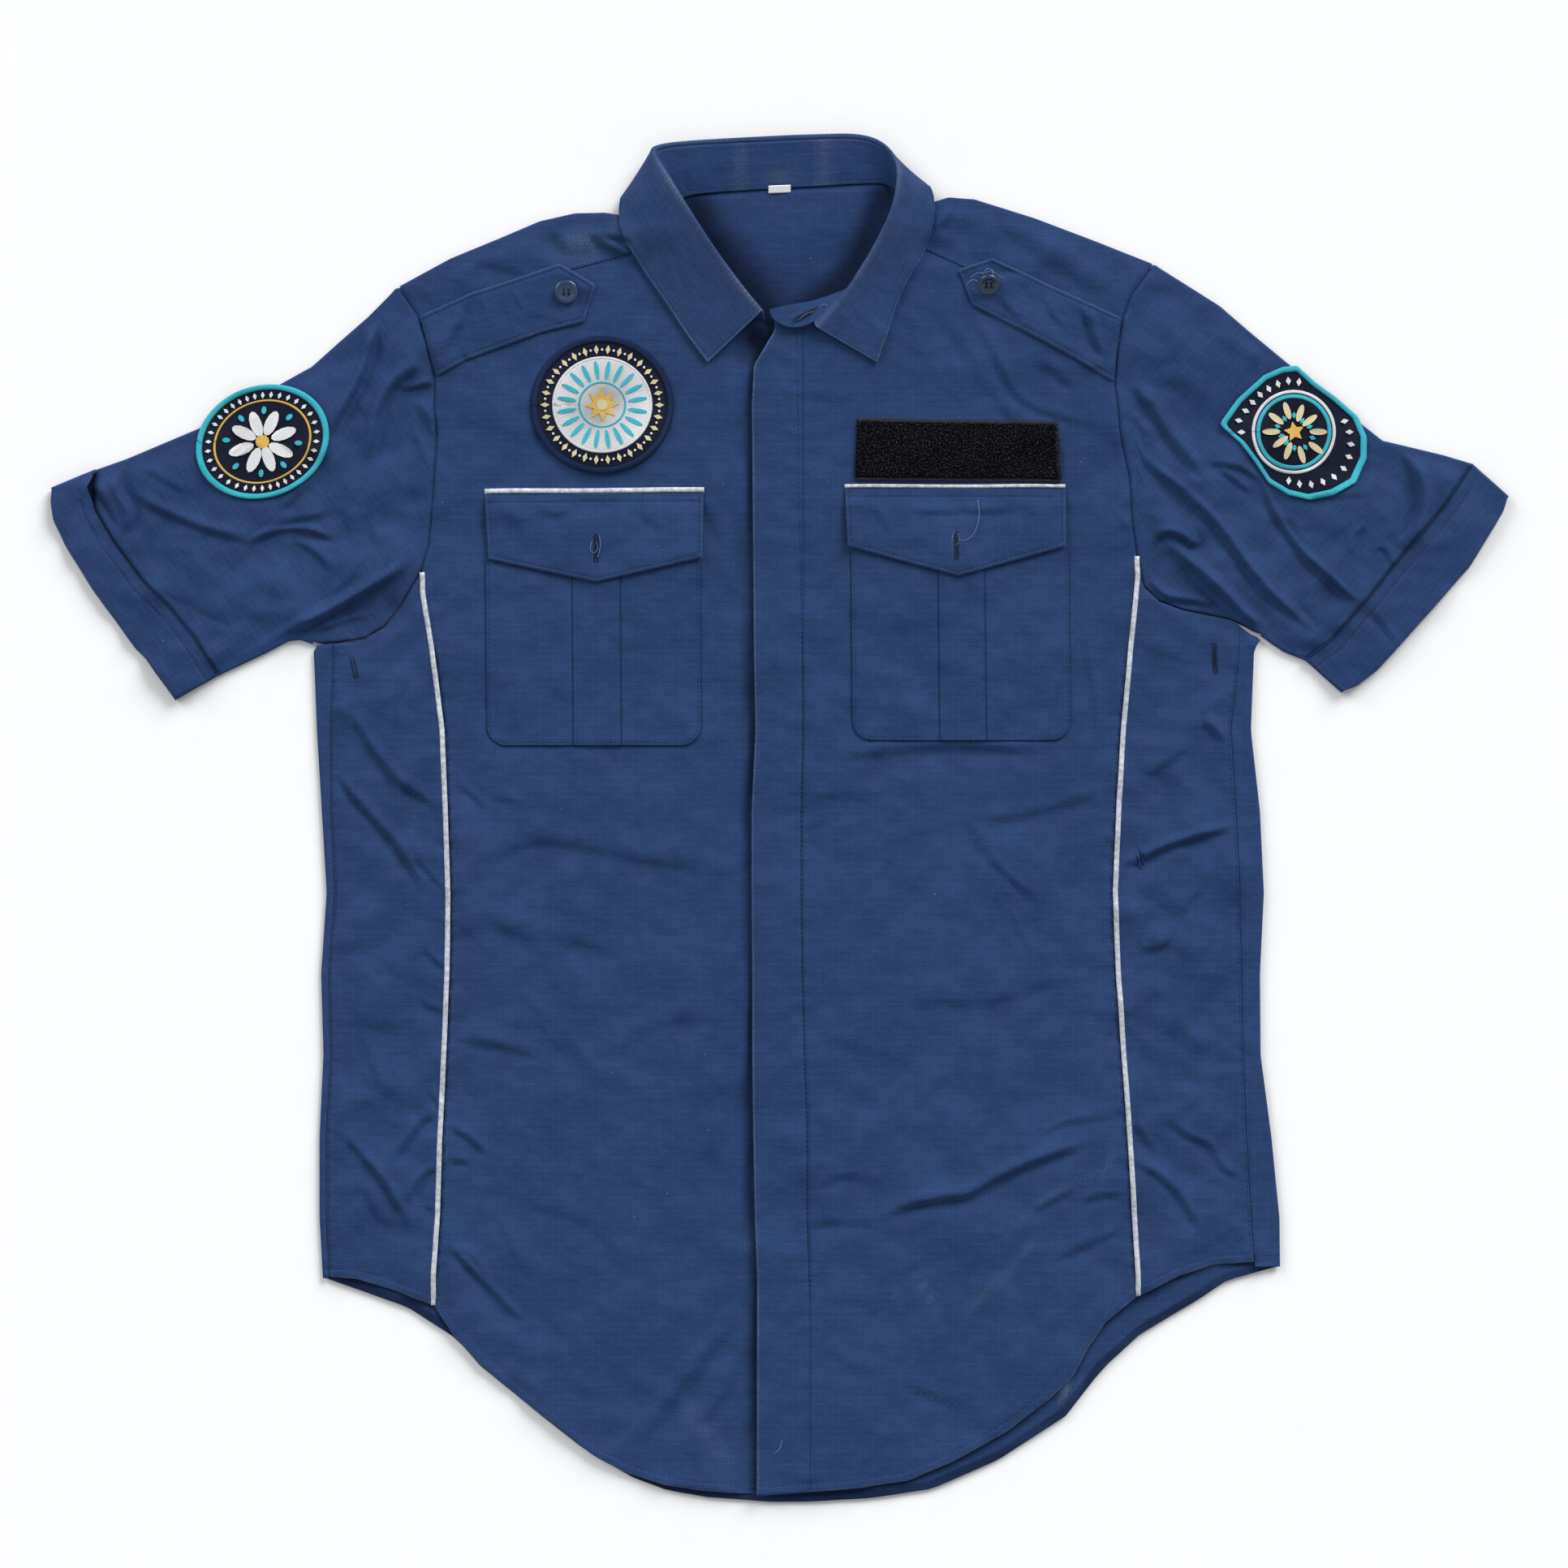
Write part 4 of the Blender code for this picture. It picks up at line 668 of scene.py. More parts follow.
def inset_line(points, t, amount):
    """Points at the shares t of a line, moved to its right by an amount, and the way out."""
    spots = along(points, t)
    ahead = along(points, np.minimum(t + 0.02, 1.0)) - along(points, np.maximum(t - 0.02, 0.0))
    ahead /= np.hypot(ahead[..., 0], ahead[..., 1])[..., None]
    away = np.stack([-ahead[..., 1], ahead[..., 0]], axis=-1)
    return spots - away * amount, away


def turned(spots, away, turn):
    """Place on the round of a fold: turn 0 is its lower end and pi its upper end."""
    low = under(spots[..., 0], spots[..., 1])
    half = (top(spots[..., 0], spots[..., 1]) - low) / 2
    x = spots[..., 0] + away[..., 0] * EDGE / 2 * np.sin(turn)
    y = spots[..., 1] + away[..., 1] * EDGE / 2 * np.sin(turn)
    return x, y, low + half * (1 - np.cos(turn))


def ruled(u, v, near, far, sides):
    """Points of straight lines from near(u) to far(u), bent to the side lines x(y) at both ends."""
    a, b = near(u), far(u)
    x, y = a[:, 0] + v * (b[:, 0] - a[:, 0]), a[:, 1] + v * (b[:, 1] - a[:, 1])
    for end, side, weight in zip((0.0, 1.0), sides, ((1 - u) ** 6, u ** 6)):
        if side is not None:
            start, stop = near(np.array([end]))[0], far(np.array([end]))[0]
            bend = side(start[1] + v * (stop[1] - start[1])) - start[0] - v * (stop[0] - start[0])
            x = x + weight * bend * (v > 0) * (v < 1)
    return x, y


def shoulder_r(t):
    return inset_line(SHOULDER_R, t, EDGE / 2)


def shoulder_l(t):
    return inset_line(SHOULDER_L[::-1], t, EDGE / 2)


first, last = shoulder_r(np.array([1.0]))[0][0], shoulder_l(np.array([0.0]))[0][0]
neck_line = [tuple(first), *NECK_BACK[1:-1], tuple(last)]
arm_side_r, arm_side_l = side_of(ARM_SIDE_R, 2 * SEAM), side_of(ARM_SIDE_L, -2 * SEAM)
shoulder_columns = shares(190.0, (0.0,), (0.0,))
yoke_columns = np.concatenate([shoulder_columns, 1.0 + shares(130.0)[1:], 2.0 + shoulder_columns[1:]]) / 3


def yoke_upper(u):
    step = 3 * u
    a = shoulder_r(np.minimum(step, 1.0))[0]
    b = along(neck_line, np.clip(step - 1, 0.0, 1.0))
    c = shoulder_l(np.clip(step - 2, 0.0, 1.0))[0]
    spots = np.where((step <= 1.0 + 1e-9)[:, None], a, b)
    return np.where((step > 2.0 + 1e-9)[:, None], c, spots)


def yoke_lower(u):
    ends = along(YOKE_BACK_SEAM, u)
    return np.stack([ends[:, 0] * 0.998, ends[:, 1] + SEAM], axis=-1)


def yoke_flat(u, v):
    x, y = ruled(u, v, yoke_upper, yoke_lower, (arm_side_r, arm_side_l))
    soft = 0.25 * (uneven(x, y) + 0.6) * smooth((380.0 - y) / 20.0) * (v > 0) * (v < 1)
    # Painted shadow of the standing collar on the yoke seen through the neck: darker beside both leaves and
    # across the middle of the neck.
    leaf_r = ((-56.0, 389.0), (-47.0, 360.0), (-31.0, 336.0), (-8.0, 308.0))
    leaf_l = ((63.0, 384.0), (55.0, 364.0), (48.0, 346.0), (36.0, 327.0), (14.0, 312.0))
    right, left = measured(x, y, leaf_r)[0] / 15.0, measured(x, y, leaf_l)[0] / 8.5
    deep = np.maximum(bell(right), 0.9 * bell(left)) + 0.25 * bell((y - 330.0) / 22.0)
    return x, y, under(x, y) + soft, x, y, -0.85 * np.minimum(deep, 1.0)


mesh = bmesh.new()
grid(mesh, yoke_columns, shares(150.0, (), (), 2 * STEP), yoke_flat)
for fold, seam, sides in (
    (shoulder_r, YOKE_SEAM_R, (arm_side_r, None)), (shoulder_l, YOKE_SEAM_L[::-1], (None, arm_side_l)),
):
    def shoulder_round(u, v):
        x, y, z = turned(*fold(u), v * math.pi)
        return x, y, z, x, y + 5 * (1 - v), 0.0 * x

    def shoulder_front(u, v):
        x, y = ruled(u, v, lambda t: fold(t)[0], lambda t: along(seam, t) + np.array([0.0, SEAM]), sides)
        away, _, way, _ = measured(x, y, seam)
        arm = np.minimum(measured(x, y, ARM_SIDE_R)[0], measured(x, y, ARM_SIDE_L)[0])
        lip = 0.5 * (1 - smooth((away - 1.0) / 1.6)) + roll(away, 0.5, 0.5) + ripple(away, way, 0.14)
        rubbed = 0.42 * bell((x + 123.0) / 13.0, (y - 352.0) / 8.0)
        rubbed = np.maximum(rubbed, 0.3 * bell((x + 96.0) / 9.0, (y - 364.0) / 6.0))
        return x, y, top(x, y) + lip * smooth(3 * v) + roll(arm, 0.9) * (v > 0), x, y, rubbed

    grid(mesh, shoulder_columns, np.linspace(0.0, 1.0, 9), shoulder_round)
    grid(mesh, shoulder_columns, shares(34.0, (), (0.0, 1.2)), shoulder_front)
cloth(mesh, "yoke_cloth", navy, ["yoke"], wrapped=True)


# The right front: ripstop from the side piping to the closing edge, which lies under the left front.
# Its hem is turned up and stitched, and its edges roll into the seams.
NECK_R = ((-56.2, 359.8), (-49.2, 347.8), (-38.2, 332.8), (-24.2, 316.8), (-7.8, 304.8), (14.0, 300.0))
NECK_L = ((11.8, 314.2), (23.2, 316.8), (38.2, 322.8), (49.8, 331.2), (61.2, 342.8), (69.8, 358.8))
OVERLAP = 1.6


def lift_left(x):
    """Lift of the left front from its side to the placket."""
    return OVERLAP * smooth((70.0 - x) / 40.0)


def front_height(x, y, lift=0.0):
    """Upper face of a front: the top layer, its hem and the ripples beside the piping."""
    piping = tuple(zip(PIPE_R if np.mean(x) < 0 else PIPE_L, BODY_Y))
    away, _, way, _ = measured(x, y, piping)
    arm = np.minimum(measured(x, y, ARM_SIDE_R)[0], measured(x, y, ARM_SIDE_L)[0])
    seams = roll(np.minimum(arm, away), 0.9) + ripple(away, way, 0.3, 10.0, 7.0)
    return top(x, y) + lift + turned_hem(x, y, HEM_FRONT) + seams


arm = [p for p in ARM_SIDE_R if p[1] < 300.0]
right_side = side_of([*zip(PIPE_R, BODY_Y), *arm, (-219.2, 303.8)], SEAM)
right_above = height_of([(x, y - SEAM) for x, y in YOKE_SEAM_R] + [(x - 0.6, y - 1.3) for x, y in NECK_R[1:]])
close_line = [
    (-14.0, -417.0), *zip(CLOSE, BODY_Y), (-17.0, 253.8), (-15.8, 278.2), (-8.8, 289.8), (-3.0, 300.0),
]
lowest_front = 2.4 * WALL  # so that the front stays over the back panel where it dips


def right_front(u, v):
    x, y = between(u, v, right_side, lambda y: 10.0 + 0.0 * y, height_of(HEM_FRONT), right_above)
    opened = 2.0 * smooth((x + 34.0) / 16.0) * smooth((-285.0 - y) / 40.0)
    beside = side_of(close_line)(y) - x
    shadow = bell(np.maximum(beside, 0.0) / (4.0 + 1.5 * np.sin(y / 53.0)))
    throat = bell((x + 15.0) / 10.0, (y - 295.0) / 14.0)
    opened = opened + (1.9 + 0.6 * np.sin(y / 37.0)) * shadow + 2.2 * throat
    soiled = 0.22 * bell(measured(x, y, ((-54.0, -366.0), (-34.0, -392.0)))[0] / 7.0)
    # Painted shade: darker beside the placket's edge and in the dip under the collar tab, on top of the real
    # dips there; soiled and the hem's edge are real rubbing.
    wear_and_shade = np.maximum(soiled, 0.4 * (measured(x, y, HEM_FRONT)[0] < 1.0)) - 0.5 * shadow - 1.1 * throat
    return x, y, np.maximum(front_height(x, y) - opened, lowest_front), x, y, wear_and_shade


mesh = bmesh.new()
front_rows = shares(660.0, HEM_LINES, (0.0, 1.0), 0.95 * STEP)
grid(mesh, outer_fine(215.0, 75.0, 0.75 * STEP, (0.5, 1.7)), front_rows, right_front)
cloth(mesh, "front_right_cloth", navy, ["front_right"])

# The left front and its placket: the same ripstop, folded under at the closing edge into a covered
# placket that hides the buttons, and held by one line of stitching down its whole length.
arm = [p for p in ARM_SIDE_L if p[1] < 290.0]
left_side = side_of([*zip(PIPE_L, BODY_Y), *arm, (209.8, 295.8)], -SEAM)
left_above = height_of([(x, y - SEAM) for x, y in YOKE_SEAM_L] + [(x + 0.6, y - 1.3) for x, y in NECK_L])
placket_seam = [(22.0, -415.0), *zip(SEAM_L, BODY_Y), (12.0, 200.0), (10.5, 310.0)]


def left_height(x, y):
    """Upper face of the left front and the placket, with the dip along the placket's stitching."""
    away, _, way, _ = measured(x, y, placket_seam)
    edge = measured(x, y, close_line)
    dip = -0.35 * bell(away / 0.6) + ripple(away, way, 0.22, 11.0, 9.0)
    stands = 1.6 + 0.6 * np.sin(y / 31.0 + 1.0) + 0.4 * np.sin(y / 13.0)
    rise = stands * (1 - smooth((edge[0] - 0.5) / 8.0)) - 0.5 * bell(edge[0] / 0.8)
    curl = 3.0 * bell((x + 12.0) / 6.0, (y - 292.0) / 10.0)
    button = np.hypot(x - 0.5, y + 273.0)
    hidden = 0.3 * bell((button - 6.5) / 1.2)
    return front_height(x, y, lift_left(x)) + dip + rise + curl + hidden


def left_front(u, v):
    x, y = between(u, v, body_line(SEAM_L), left_side, height_of(HEM_FRONT), left_above)
    chalk = 0.0 * x
    for x0, y0, x1, y1, width, size in (
        (70, -285, 86, -282, 4, 0.5), (84, -283, 96, -301, 5, 0.9), (70, -288, 74, -302, 5, 0.35),
        (116, -302, 135, -285, 3.5, 0.7), (135, -285, 155, -262, 4, 0.55), (138, -255, 150, -246, 6, 0.5),
        (150, -246, 174, -229, 5, 0.5), (174, -229, 203, -213, 6, 0.45), (198, -222, 204, -208, 4, 0.7),
    ):
        away = measured(x, y, ((x0, y0), (x1, y1)))[0]
        grainy = 0.55 + 0.45 * np.sin(1.9 * x + 0.7 * y) * np.sin(1.3 * y - 0.4 * x)
        chalk = np.maximum(chalk, 0.5 * size * grainy * bell(1.5 * away / width))
    return x, y, left_height(x, y), x, y, np.maximum(chalk, 0.5 * (measured(x, y, HEM_FRONT)[0] < 1.0))


def placket(u, v):
    x, y = between(u, v, side_of(close_line), body_line(SEAM_L), height_of(HEM_FRONT),
                   lambda x: 309.0 + 0.0 * x)
    away = measured(x, y, close_line)[0]
    return x, y, left_height(x, y), x, y, 0.45 * (away < 1.0)


mesh = bmesh.new()
front_rows = shares(700.0, HEM_LINES, (0.0, 1.0), STEP)
grid(mesh, 1.0 - outer_fine(195.0, 75.0, 0.75 * STEP, (0.5, 1.7))[::-1], front_rows, left_front)
cloth(mesh, "front_left_cloth", navy, ["front_left"])
mesh = bmesh.new()
grid(mesh, shares(31.0, (0.0, 1.0), (0.6,)), front_rows, placket)
cloth(mesh, "placket_cloth", navy, ["placket"])

# The side fronts: narrow ripstop panels between the piping and the side seams, under the arms.
low_edge_r = height_of([(x, y - 4 * SEAM) for x, y in ARM_LOW_R])
low_edge_l = height_of([(x, y - 4 * SEAM) for x, y in ARM_LOW_L])
pipe_line_r = side_of([*zip(PIPE_R, BODY_Y), (-220.2, 153.2)], -SEAM)
pipe_line_l = side_of([*zip(PIPE_L, BODY_Y), (220.2, 163.2)], SEAM)


def side_height(x, y):
    """Upper face of a side front, which rolls into the side seam and the armhole."""
    side = tuple(zip(SIDE_R if np.mean(x) < 0 else SIDE_L, BODY_Y))
    away, _, way, _ = measured(x, y, side)
    arm = measured(x, y, ARM_LOW_R if np.mean(x) < 0 else ARM_LOW_L)[0]
    return front_height(x, y) + roll(away, 0.7) + ripple(away, way) + roll(arm, 1.0)


for node, left, right, low in (
    ("side_front_right", body_line(SIDE_R, SEAM), pipe_line_r, low_edge_r),
    ("side_front_left", pipe_line_l, body_line(SIDE_L, -SEAM), low_edge_l),
):
    def side_front(u, v):
        x, y = between(u, v, left, right, height_of(HEM_FRONT), low)
        return x, y, side_height(x, y), x, y, 0.4 * (measured(x, y, HEM_FRONT)[0] < 1.0)

    mesh = bmesh.new()
    rows = shares(415.0, HEM_LINES, (0.0,), 0.75 * STEP)
    grid(mesh, shares(72.0, (0.0,), (0.0,), 0.75 * STEP), rows, side_front)
    cloth(mesh, node + "_cloth", navy, [node])

# The side piping: a narrow silver-white reflective tape folded round a cord, caught in each side front
# seam with its folded edge turned to the side, and edged by a line of stitching on the front.
PIPE_WIDTH = 3.3
silver, tree, shader = start_finish("silver piping", {
    "Roughness": 0.42, "Metallic": 0.15, "Specular IOR Level": 0.6,
})
thread = cloth_way(tree)[0]
dust = ranged(tree, noise(tree, thread, 0.35, 4.0), 0.35, 0.65)
tree.links.new(mixed(tree, dust, (0.36, 0.39, 0.44, 1), (0.62, 0.65, 0.70, 1)), shader.inputs["Base Color"])


def bumpy(tree, shader, height, distance, strength):
    bump = put(tree, "ShaderNodeBump", {"Height": height, "Distance": distance, "Strength": strength})
    tree.links.new(bump, shader.inputs["Normal"])


crackle = put(tree, "ShaderNodeTexVoronoi", {"Vector": thread, "Scale": 0.9}, feature="DISTANCE_TO_EDGE")
bumpy(tree, shader, crackle, 0.0003, 0.6)


def tape(mesh, line, width, wide_rows, height):
    """A half-round tape: line(t) gives its middle, and height(x, y) the cloth under it."""
    def place(u, v):
        spots = line(v)
        ahead = line(np.minimum(v + 0.004, 1.0)) - line(np.maximum(v - 0.004, 0.0))
        ahead /= np.hypot(ahead[:, 0], ahead[:, 1])[:, None]
        turn = (u - 0.5) * math.pi
        swell = 1.0 + 0.05 * np.sin(310 * v) + 0.03 * np.sin(127 * v)
        x = spots[:, 0] + ahead[:, 1] * np.sin(turn) * width / 2
        y = spots[:, 1] - ahead[:, 0] * np.sin(turn) * width / 2
        return x, y, height(x, y) + 1.15 * np.cos(turn) * swell, x, y, 0.0 * x

    grid(mesh, np.linspace(0.0, 1.0, 9), wide_rows, place)


for node, line, out, start, end in (
    ("side_piping_right", pipe_line_r, -1.0, -300.0, 151.0),
    ("side_piping_left", pipe_line_l, 1.0, -294.0, 161.0),
):
    def middle(t):
        y = start + t * (end - start)
        narrow = smooth((end - y) / 14.0)
        return np.stack([line(y) + out * (PIPE_WIDTH / 2) * narrow, y], axis=-1)

    mesh = bmesh.new()
    tape(mesh, middle, PIPE_WIDTH, shares(455.0), lambda x, y: top(x, y) - 0.1)
    cloth(mesh, node + "_tape", silver, [node], wall=0.5)


# The sleeves: short and wide, in the same ripstop, each a tube pressed flat with its seam underneath.
# They are set into the armholes, and hang in deep folds under the arm.
CUFF_LINE_R = (
    (-420.6, 214.3), (-423.6, 203.8), (-421.2, 189.8), (-410.8, 171.2), (-393.8, 147.8),
    (-374.2, 127.8), (-360.8, 111.2), (-345.8, 87.2),
)
CUFF_LINE_L = (
    (426.8, 217.8), (408.8, 190.8), (383.8, 161.2), (359.2, 131.2), (339.8, 108.8), (323.8, 96.8),
)
creases += [
    (2.3, 3.6, 3.1, ((-245, 310), (-248, 296), (-252, 280), (-258, 264), (-265, 253), (-274, 232))),
    (3.0, 5.2, 2.5, ((-218, 279), (-229, 271), (-238, 261), (-244, 248), (-246, 232), (-251, 214))),
    (2.2, 3.0, 1.2, ((-238, 264), (-227, 262), (-212, 267))),
    (1.0, 4, 0.6, ((-225, 256), (-218, 244), (-214, 231))),
    (0.6, 3.5, 0.5, ((-229, 238), (-222, 226), (-218, 214))),
    (1.2, 4.2, 1.0, ((-403, 201), (-389, 191), (-375, 184), (-351, 175), (-337, 171), (-324, 167))),
    (1.6, 3.0, 1.3, ((-328, 166), (-315, 173), (-306, 175), (-295, 176), (-285, 174), (-272, 168))),
    (0.9, 3.4, 0.6, ((-306, 170), (-292, 166), (-282, 158), (-275, 147))),
    (0.8, 4, 0.6, ((-315, 176), (-301, 181), (-289, 183), (-275, 186))),
    (1.0, 4, 0.8, ((-305, 187), (-297, 196), (-289, 206))),
    (2.0, 4.6, 1.8, ((-400, 220), (-405, 211), (-404, 201), (-397, 191), (-396, 182), (-403, 171))),
    (1.2, 3.5, 0.8, ((-423, 206), (-419, 198), (-412, 188), (-409, 178))),
    (0.6, 4, 0.4, ((-397, 216), (-379, 206), (-361, 196))),
    (0.6, 7, 0.4, ((-385, 142), (-355, 124), (-331, 116))),
    (0.7, 5, 0.5, ((-253, 188), (-252, 174), (-248, 164))),
    (0.6, 6, 0.5, ((-271, 192), (-266, 176), (-267, 164))),
    (0.5, 5, 0.4, ((-275, 132), (-263, 144), (-251, 164))),
    (3.4, 4.6, 4.2, ((-345, 78), (-318, 98), (-295, 113), (-275, 124), (-255, 135), (-235, 148),
                     (-222, 158))),
    (1.6, 3.2, 1.2, ((-295, 110), (-285, 114), (-275, 117), (-265, 121), (-251, 123))),
    (1.3, 3.0, 0.9, ((-268, 107), (-258, 105), (-248, 112))),
    (1.0, 3.0, 0.8, ((-243, 118), (-235, 122), (-229, 128))),
    (0.8, 6, 0.6, ((-279, 278), (-269, 286), (-255, 304))),
    (1.8, 5, 1.6, ((211, 267), (223, 256), (231, 244), (241, 229), (254, 214), (263, 204))),
    (2.0, 3.6, 1.9, ((214, 228), (227, 215), (241, 204), (253, 193), (264, 184), (274, 171), (291, 146),
                     (306, 131), (333, 109))),
    (1.5, 3, 1.2, ((230, 163), (231, 170), (238, 175), (247, 172), (255, 165), (260, 169), (257, 179))),
    (3.4, 4.6, 4.0, ((236, 168), (248, 156), (260, 146), (270, 136), (282, 124), (300, 108))),
    (1.6, 3.4, 1.2, ((224, 154), (228, 142), (237, 134), (246, 133), (261, 131), (276, 127))),
    (1.4, 3.0, 1.3, ((291, 216), (296, 204), (301, 190), (309, 177), (324, 157), (339, 144), (355, 131),
                     (361, 127))),
    (1.0, 2.6, 0.7, ((318, 163), (333, 152), (345, 138), (355, 131))),
    (0.9, 2.6, 0.5, ((260, 217), (275, 216), (287, 213), (296, 204))),
    (0.8, 3, 0.5, ((267, 215), (281, 205), (291, 197))),
    (0.7, 4, 0.5, ((307, 186), (315, 178), (323, 164))),
    (2.8, 5.4, 2.4, ((372, 232), (384, 220), (391, 206), (393, 192), (388, 178), (378, 169))),
    (0.8, 3.5, 0.6, ((360, 179), (355, 171), (354, 161))),
    (0.9, 3.5, 0.6, ((368, 167), (374, 161), (375, 154))),
    (1.0, 2.6, 0.6, ((363, 127), (371, 118), (378, 106))),
    (0.7, 6, 0.5, ((319, 132), (327, 122), (333, 114))),
    (0.6, 6, 0.4, ((323, 196), (345, 196), (365, 198))),
    (0.7, 8, 0.5, ((243, 206), (261, 192), (275, 184))),
    (0.5, 5, 0.4, ((233, 274), (245, 284), (255, 298))),
    (0.6, 4, 0.5, ((214, 250), (219, 240), (228, 232))),
]


LEAN_R, LEAN_L = -57.7, 50.3  # of the sleeves' own way, in degrees


def set_in(points, away):
    """The line y(x) of a fold, moved towards the cloth by half the fold's height."""
    line = height_of(points)
    return lambda x: line(x) + away * np.hypot(1.0, (line(x + 2.0) - line(x - 2.0)) / 4.0) * EDGE / 2


fine_step = 0.67 * STEP


def turned_grain(x, y, degrees):
    c, s = math.cos(math.radians(degrees)), math.sin(math.radians(degrees))
    return x * c + y * s, y * c - x * s


for node, arm, arm_low, upper, lower, cuff, out, lean in (
    ("sleeve_right", ARM_SIDE_R, ARM_LOW_R, TOP_R, UNDER_R, CUFF_LINE_R, -1.0, LEAN_R),
    ("sleeve_left", ARM_SIDE_L, ARM_LOW_L, TOP_L, UNDER_L, CUFF_LINE_L, 1.0, LEAN_L),
):
    near = side_of([(out * x, y) for x, y in arm], -0.2)
    far = side_of([(out * x + 3.6 * bell((y - 204.0) / 9.0) * (out < 0), y) for x, y in cuff])
    above = set_in([(out * x, y) for x, y in upper], -1.0)
    fold = set_in([(out * x, y) for x, y in lower], 1.0)
    open_end = height_of([(out * x, y + 2 * SEAM) for x, y in arm_low])
    turn_q = out * arm_low[-1][0]

    def below(q):
        easing = np.clip((q - turn_q + 6.0) / 6.0, 0.0, 1.0)
        return np.where(q >= turn_q, fold(q), open_end(q) + easing * (fold(turn_q) - open_end(turn_q)))

    y_turn = float(below(turn_q))
    turn_u = float((turn_q - near(y_turn)) / (far(y_turn) - near(y_turn)))
    inner_columns = turn_u * shares(95.0, (0.0, 1.4), (), fine_step)
    outer_columns = turn_u + (1 - turn_u) * shares(110.0, (), (1.0,), fine_step)[1:]
    columns = np.concatenate([inner_columns, outer_columns])
    opened = int(np.argmin(np.abs(columns - turn_u)))
    mesh = bmesh.new()

    def sleeve_top(u, v):
        q, y = between(u, v, near, far, below, above)
        x = out * q
        seam = np.minimum(measured(x, y, arm)[0], measured(x, y, arm_low)[0])
        end = measured(x, y, cuff)[0]
        gape = bell((x + 425.0) / 4.2, (y - 203.0) / 9.0)
        dip = -0.8 * bell(end / 1.8) - 2.4 * gape
        # Painted shade: dark lines along the armhole seam and the cuff's edge, and a dark patch in the gap
        # where the cuff stands off the sleeve.
        dark = -0.65 * bell(seam / 0.9) - 0.9 * bell(end / 1.1) - 1.0 * gape
        z = top(x, y) + (roll(seam, 1.0, 1.3) + dip) * (v < 1)
        return x, y, z, *turned_grain(x, y, lean), dark * (v < 1)

    def sleeve_under(u, v):
        q, y = between(u, v, near, far, below, above)
        return out * q, y, 0.0 * q, *turned_grain(out * q, y, lean), 0.0 * q

    grid(mesh, columns, shares(190.0, step=fine_step), sleeve_top)
    grid(mesh, columns, shares(190.0, step=4 * STEP), sleeve_under)
    for part, end, line, way in ((columns, 1.0, above, 1.0), (columns[opened:], 0.0, fold, -1.0)):
        def sleeve_round(u, v):
            q, y = between(u, end + 0.0 * u, near, far, below, above)
            slope = (line(q + 2.0) - line(q - 2.0)) / 4.0
            away = np.stack([-slope * out, np.ones_like(slope)], axis=-1) * way
            away /= np.hypot(away[:, 0], away[:, 1])[:, None]
            x, y, z = turned(np.stack([out * q, y], axis=-1), away, v * math.pi)
            return x, y, z, *turned_grain(x, y, lean), 0.0 * x

        grid(mesh, part, np.linspace(0.0, 1.0, 9), sleeve_round)
    cloth(mesh, node + "_cloth", navy, [node], wrapped=True)

# The cuffs: each sleeve's end is turned up outside into a wide band. Its inner edge stands a little off
# the sleeve, and one line of stitching runs round it.
CUFF_EDGE_R = (
    (-448.2, 203.2), (-448.8, 195.8), (-447.2, 184.2), (-440.2, 168.8), (-422.2, 139.8),
    (-395.8, 103.2), (-388.8, 96.2), (-371.8, 72.2),
)
CUFF_EDGE_L = (
    (448.8, 197.8), (446.2, 189.2), (425.2, 154.8), (408.8, 136.2), (383.8, 108.2),
    (367.2, 89.8), (354.2, 79.8), (345.8, 76.8),
)
CUFF_STITCH = 7.0


def coons(u, v, start, end, first, last):
    """Points between the lines first and last (u 0 and 1) and the lines start and end (v 0 and 1)."""
    zero, one = np.zeros(1), np.ones(1)
    corners = (first(zero)[0], last(zero)[0], first(one)[0], last(one)[0])

    def fitted(line, a, b):
        gap_a, gap_b = a - line(zero)[0], b - line(one)[0]
        return line(u) + (1 - u)[:, None] * gap_a + u[:, None] * gap_b

    low, high = fitted(start, corners[0], corners[1]), fitted(end, corners[2], corners[3])
    u, v = u[:, None], v[:, None]
    straight = (1 - u) * (1 - v) * corners[0] + u * (1 - v) * corners[1]
    straight = straight + (1 - u) * v * corners[2] + u * v * corners[3]
    sides = (1 - u) * first(v[:, 0]) + u * last(v[:, 0])
    spots = (1 - v) * low + v * high + sides - straight
    return spots[:, 0], spots[:, 1]


def cuff_height(x, y, line):
    away, _, way, _ = measured(x, y, line)
    stand = 0.8 * bell(away / 2.6) - 0.3 * bell(away / 0.5)
    stand = stand + 1.6 * bell((x + 425.0) / 9.0, (y - 204.0) / 12.0)
    dip = -0.35 * bell((away - CUFF_STITCH) / 0.6) + ripple(away - CUFF_STITCH, way, 0.12, 9.0, 4.0)
    return top(x, y) + 1.1 + stand + dip


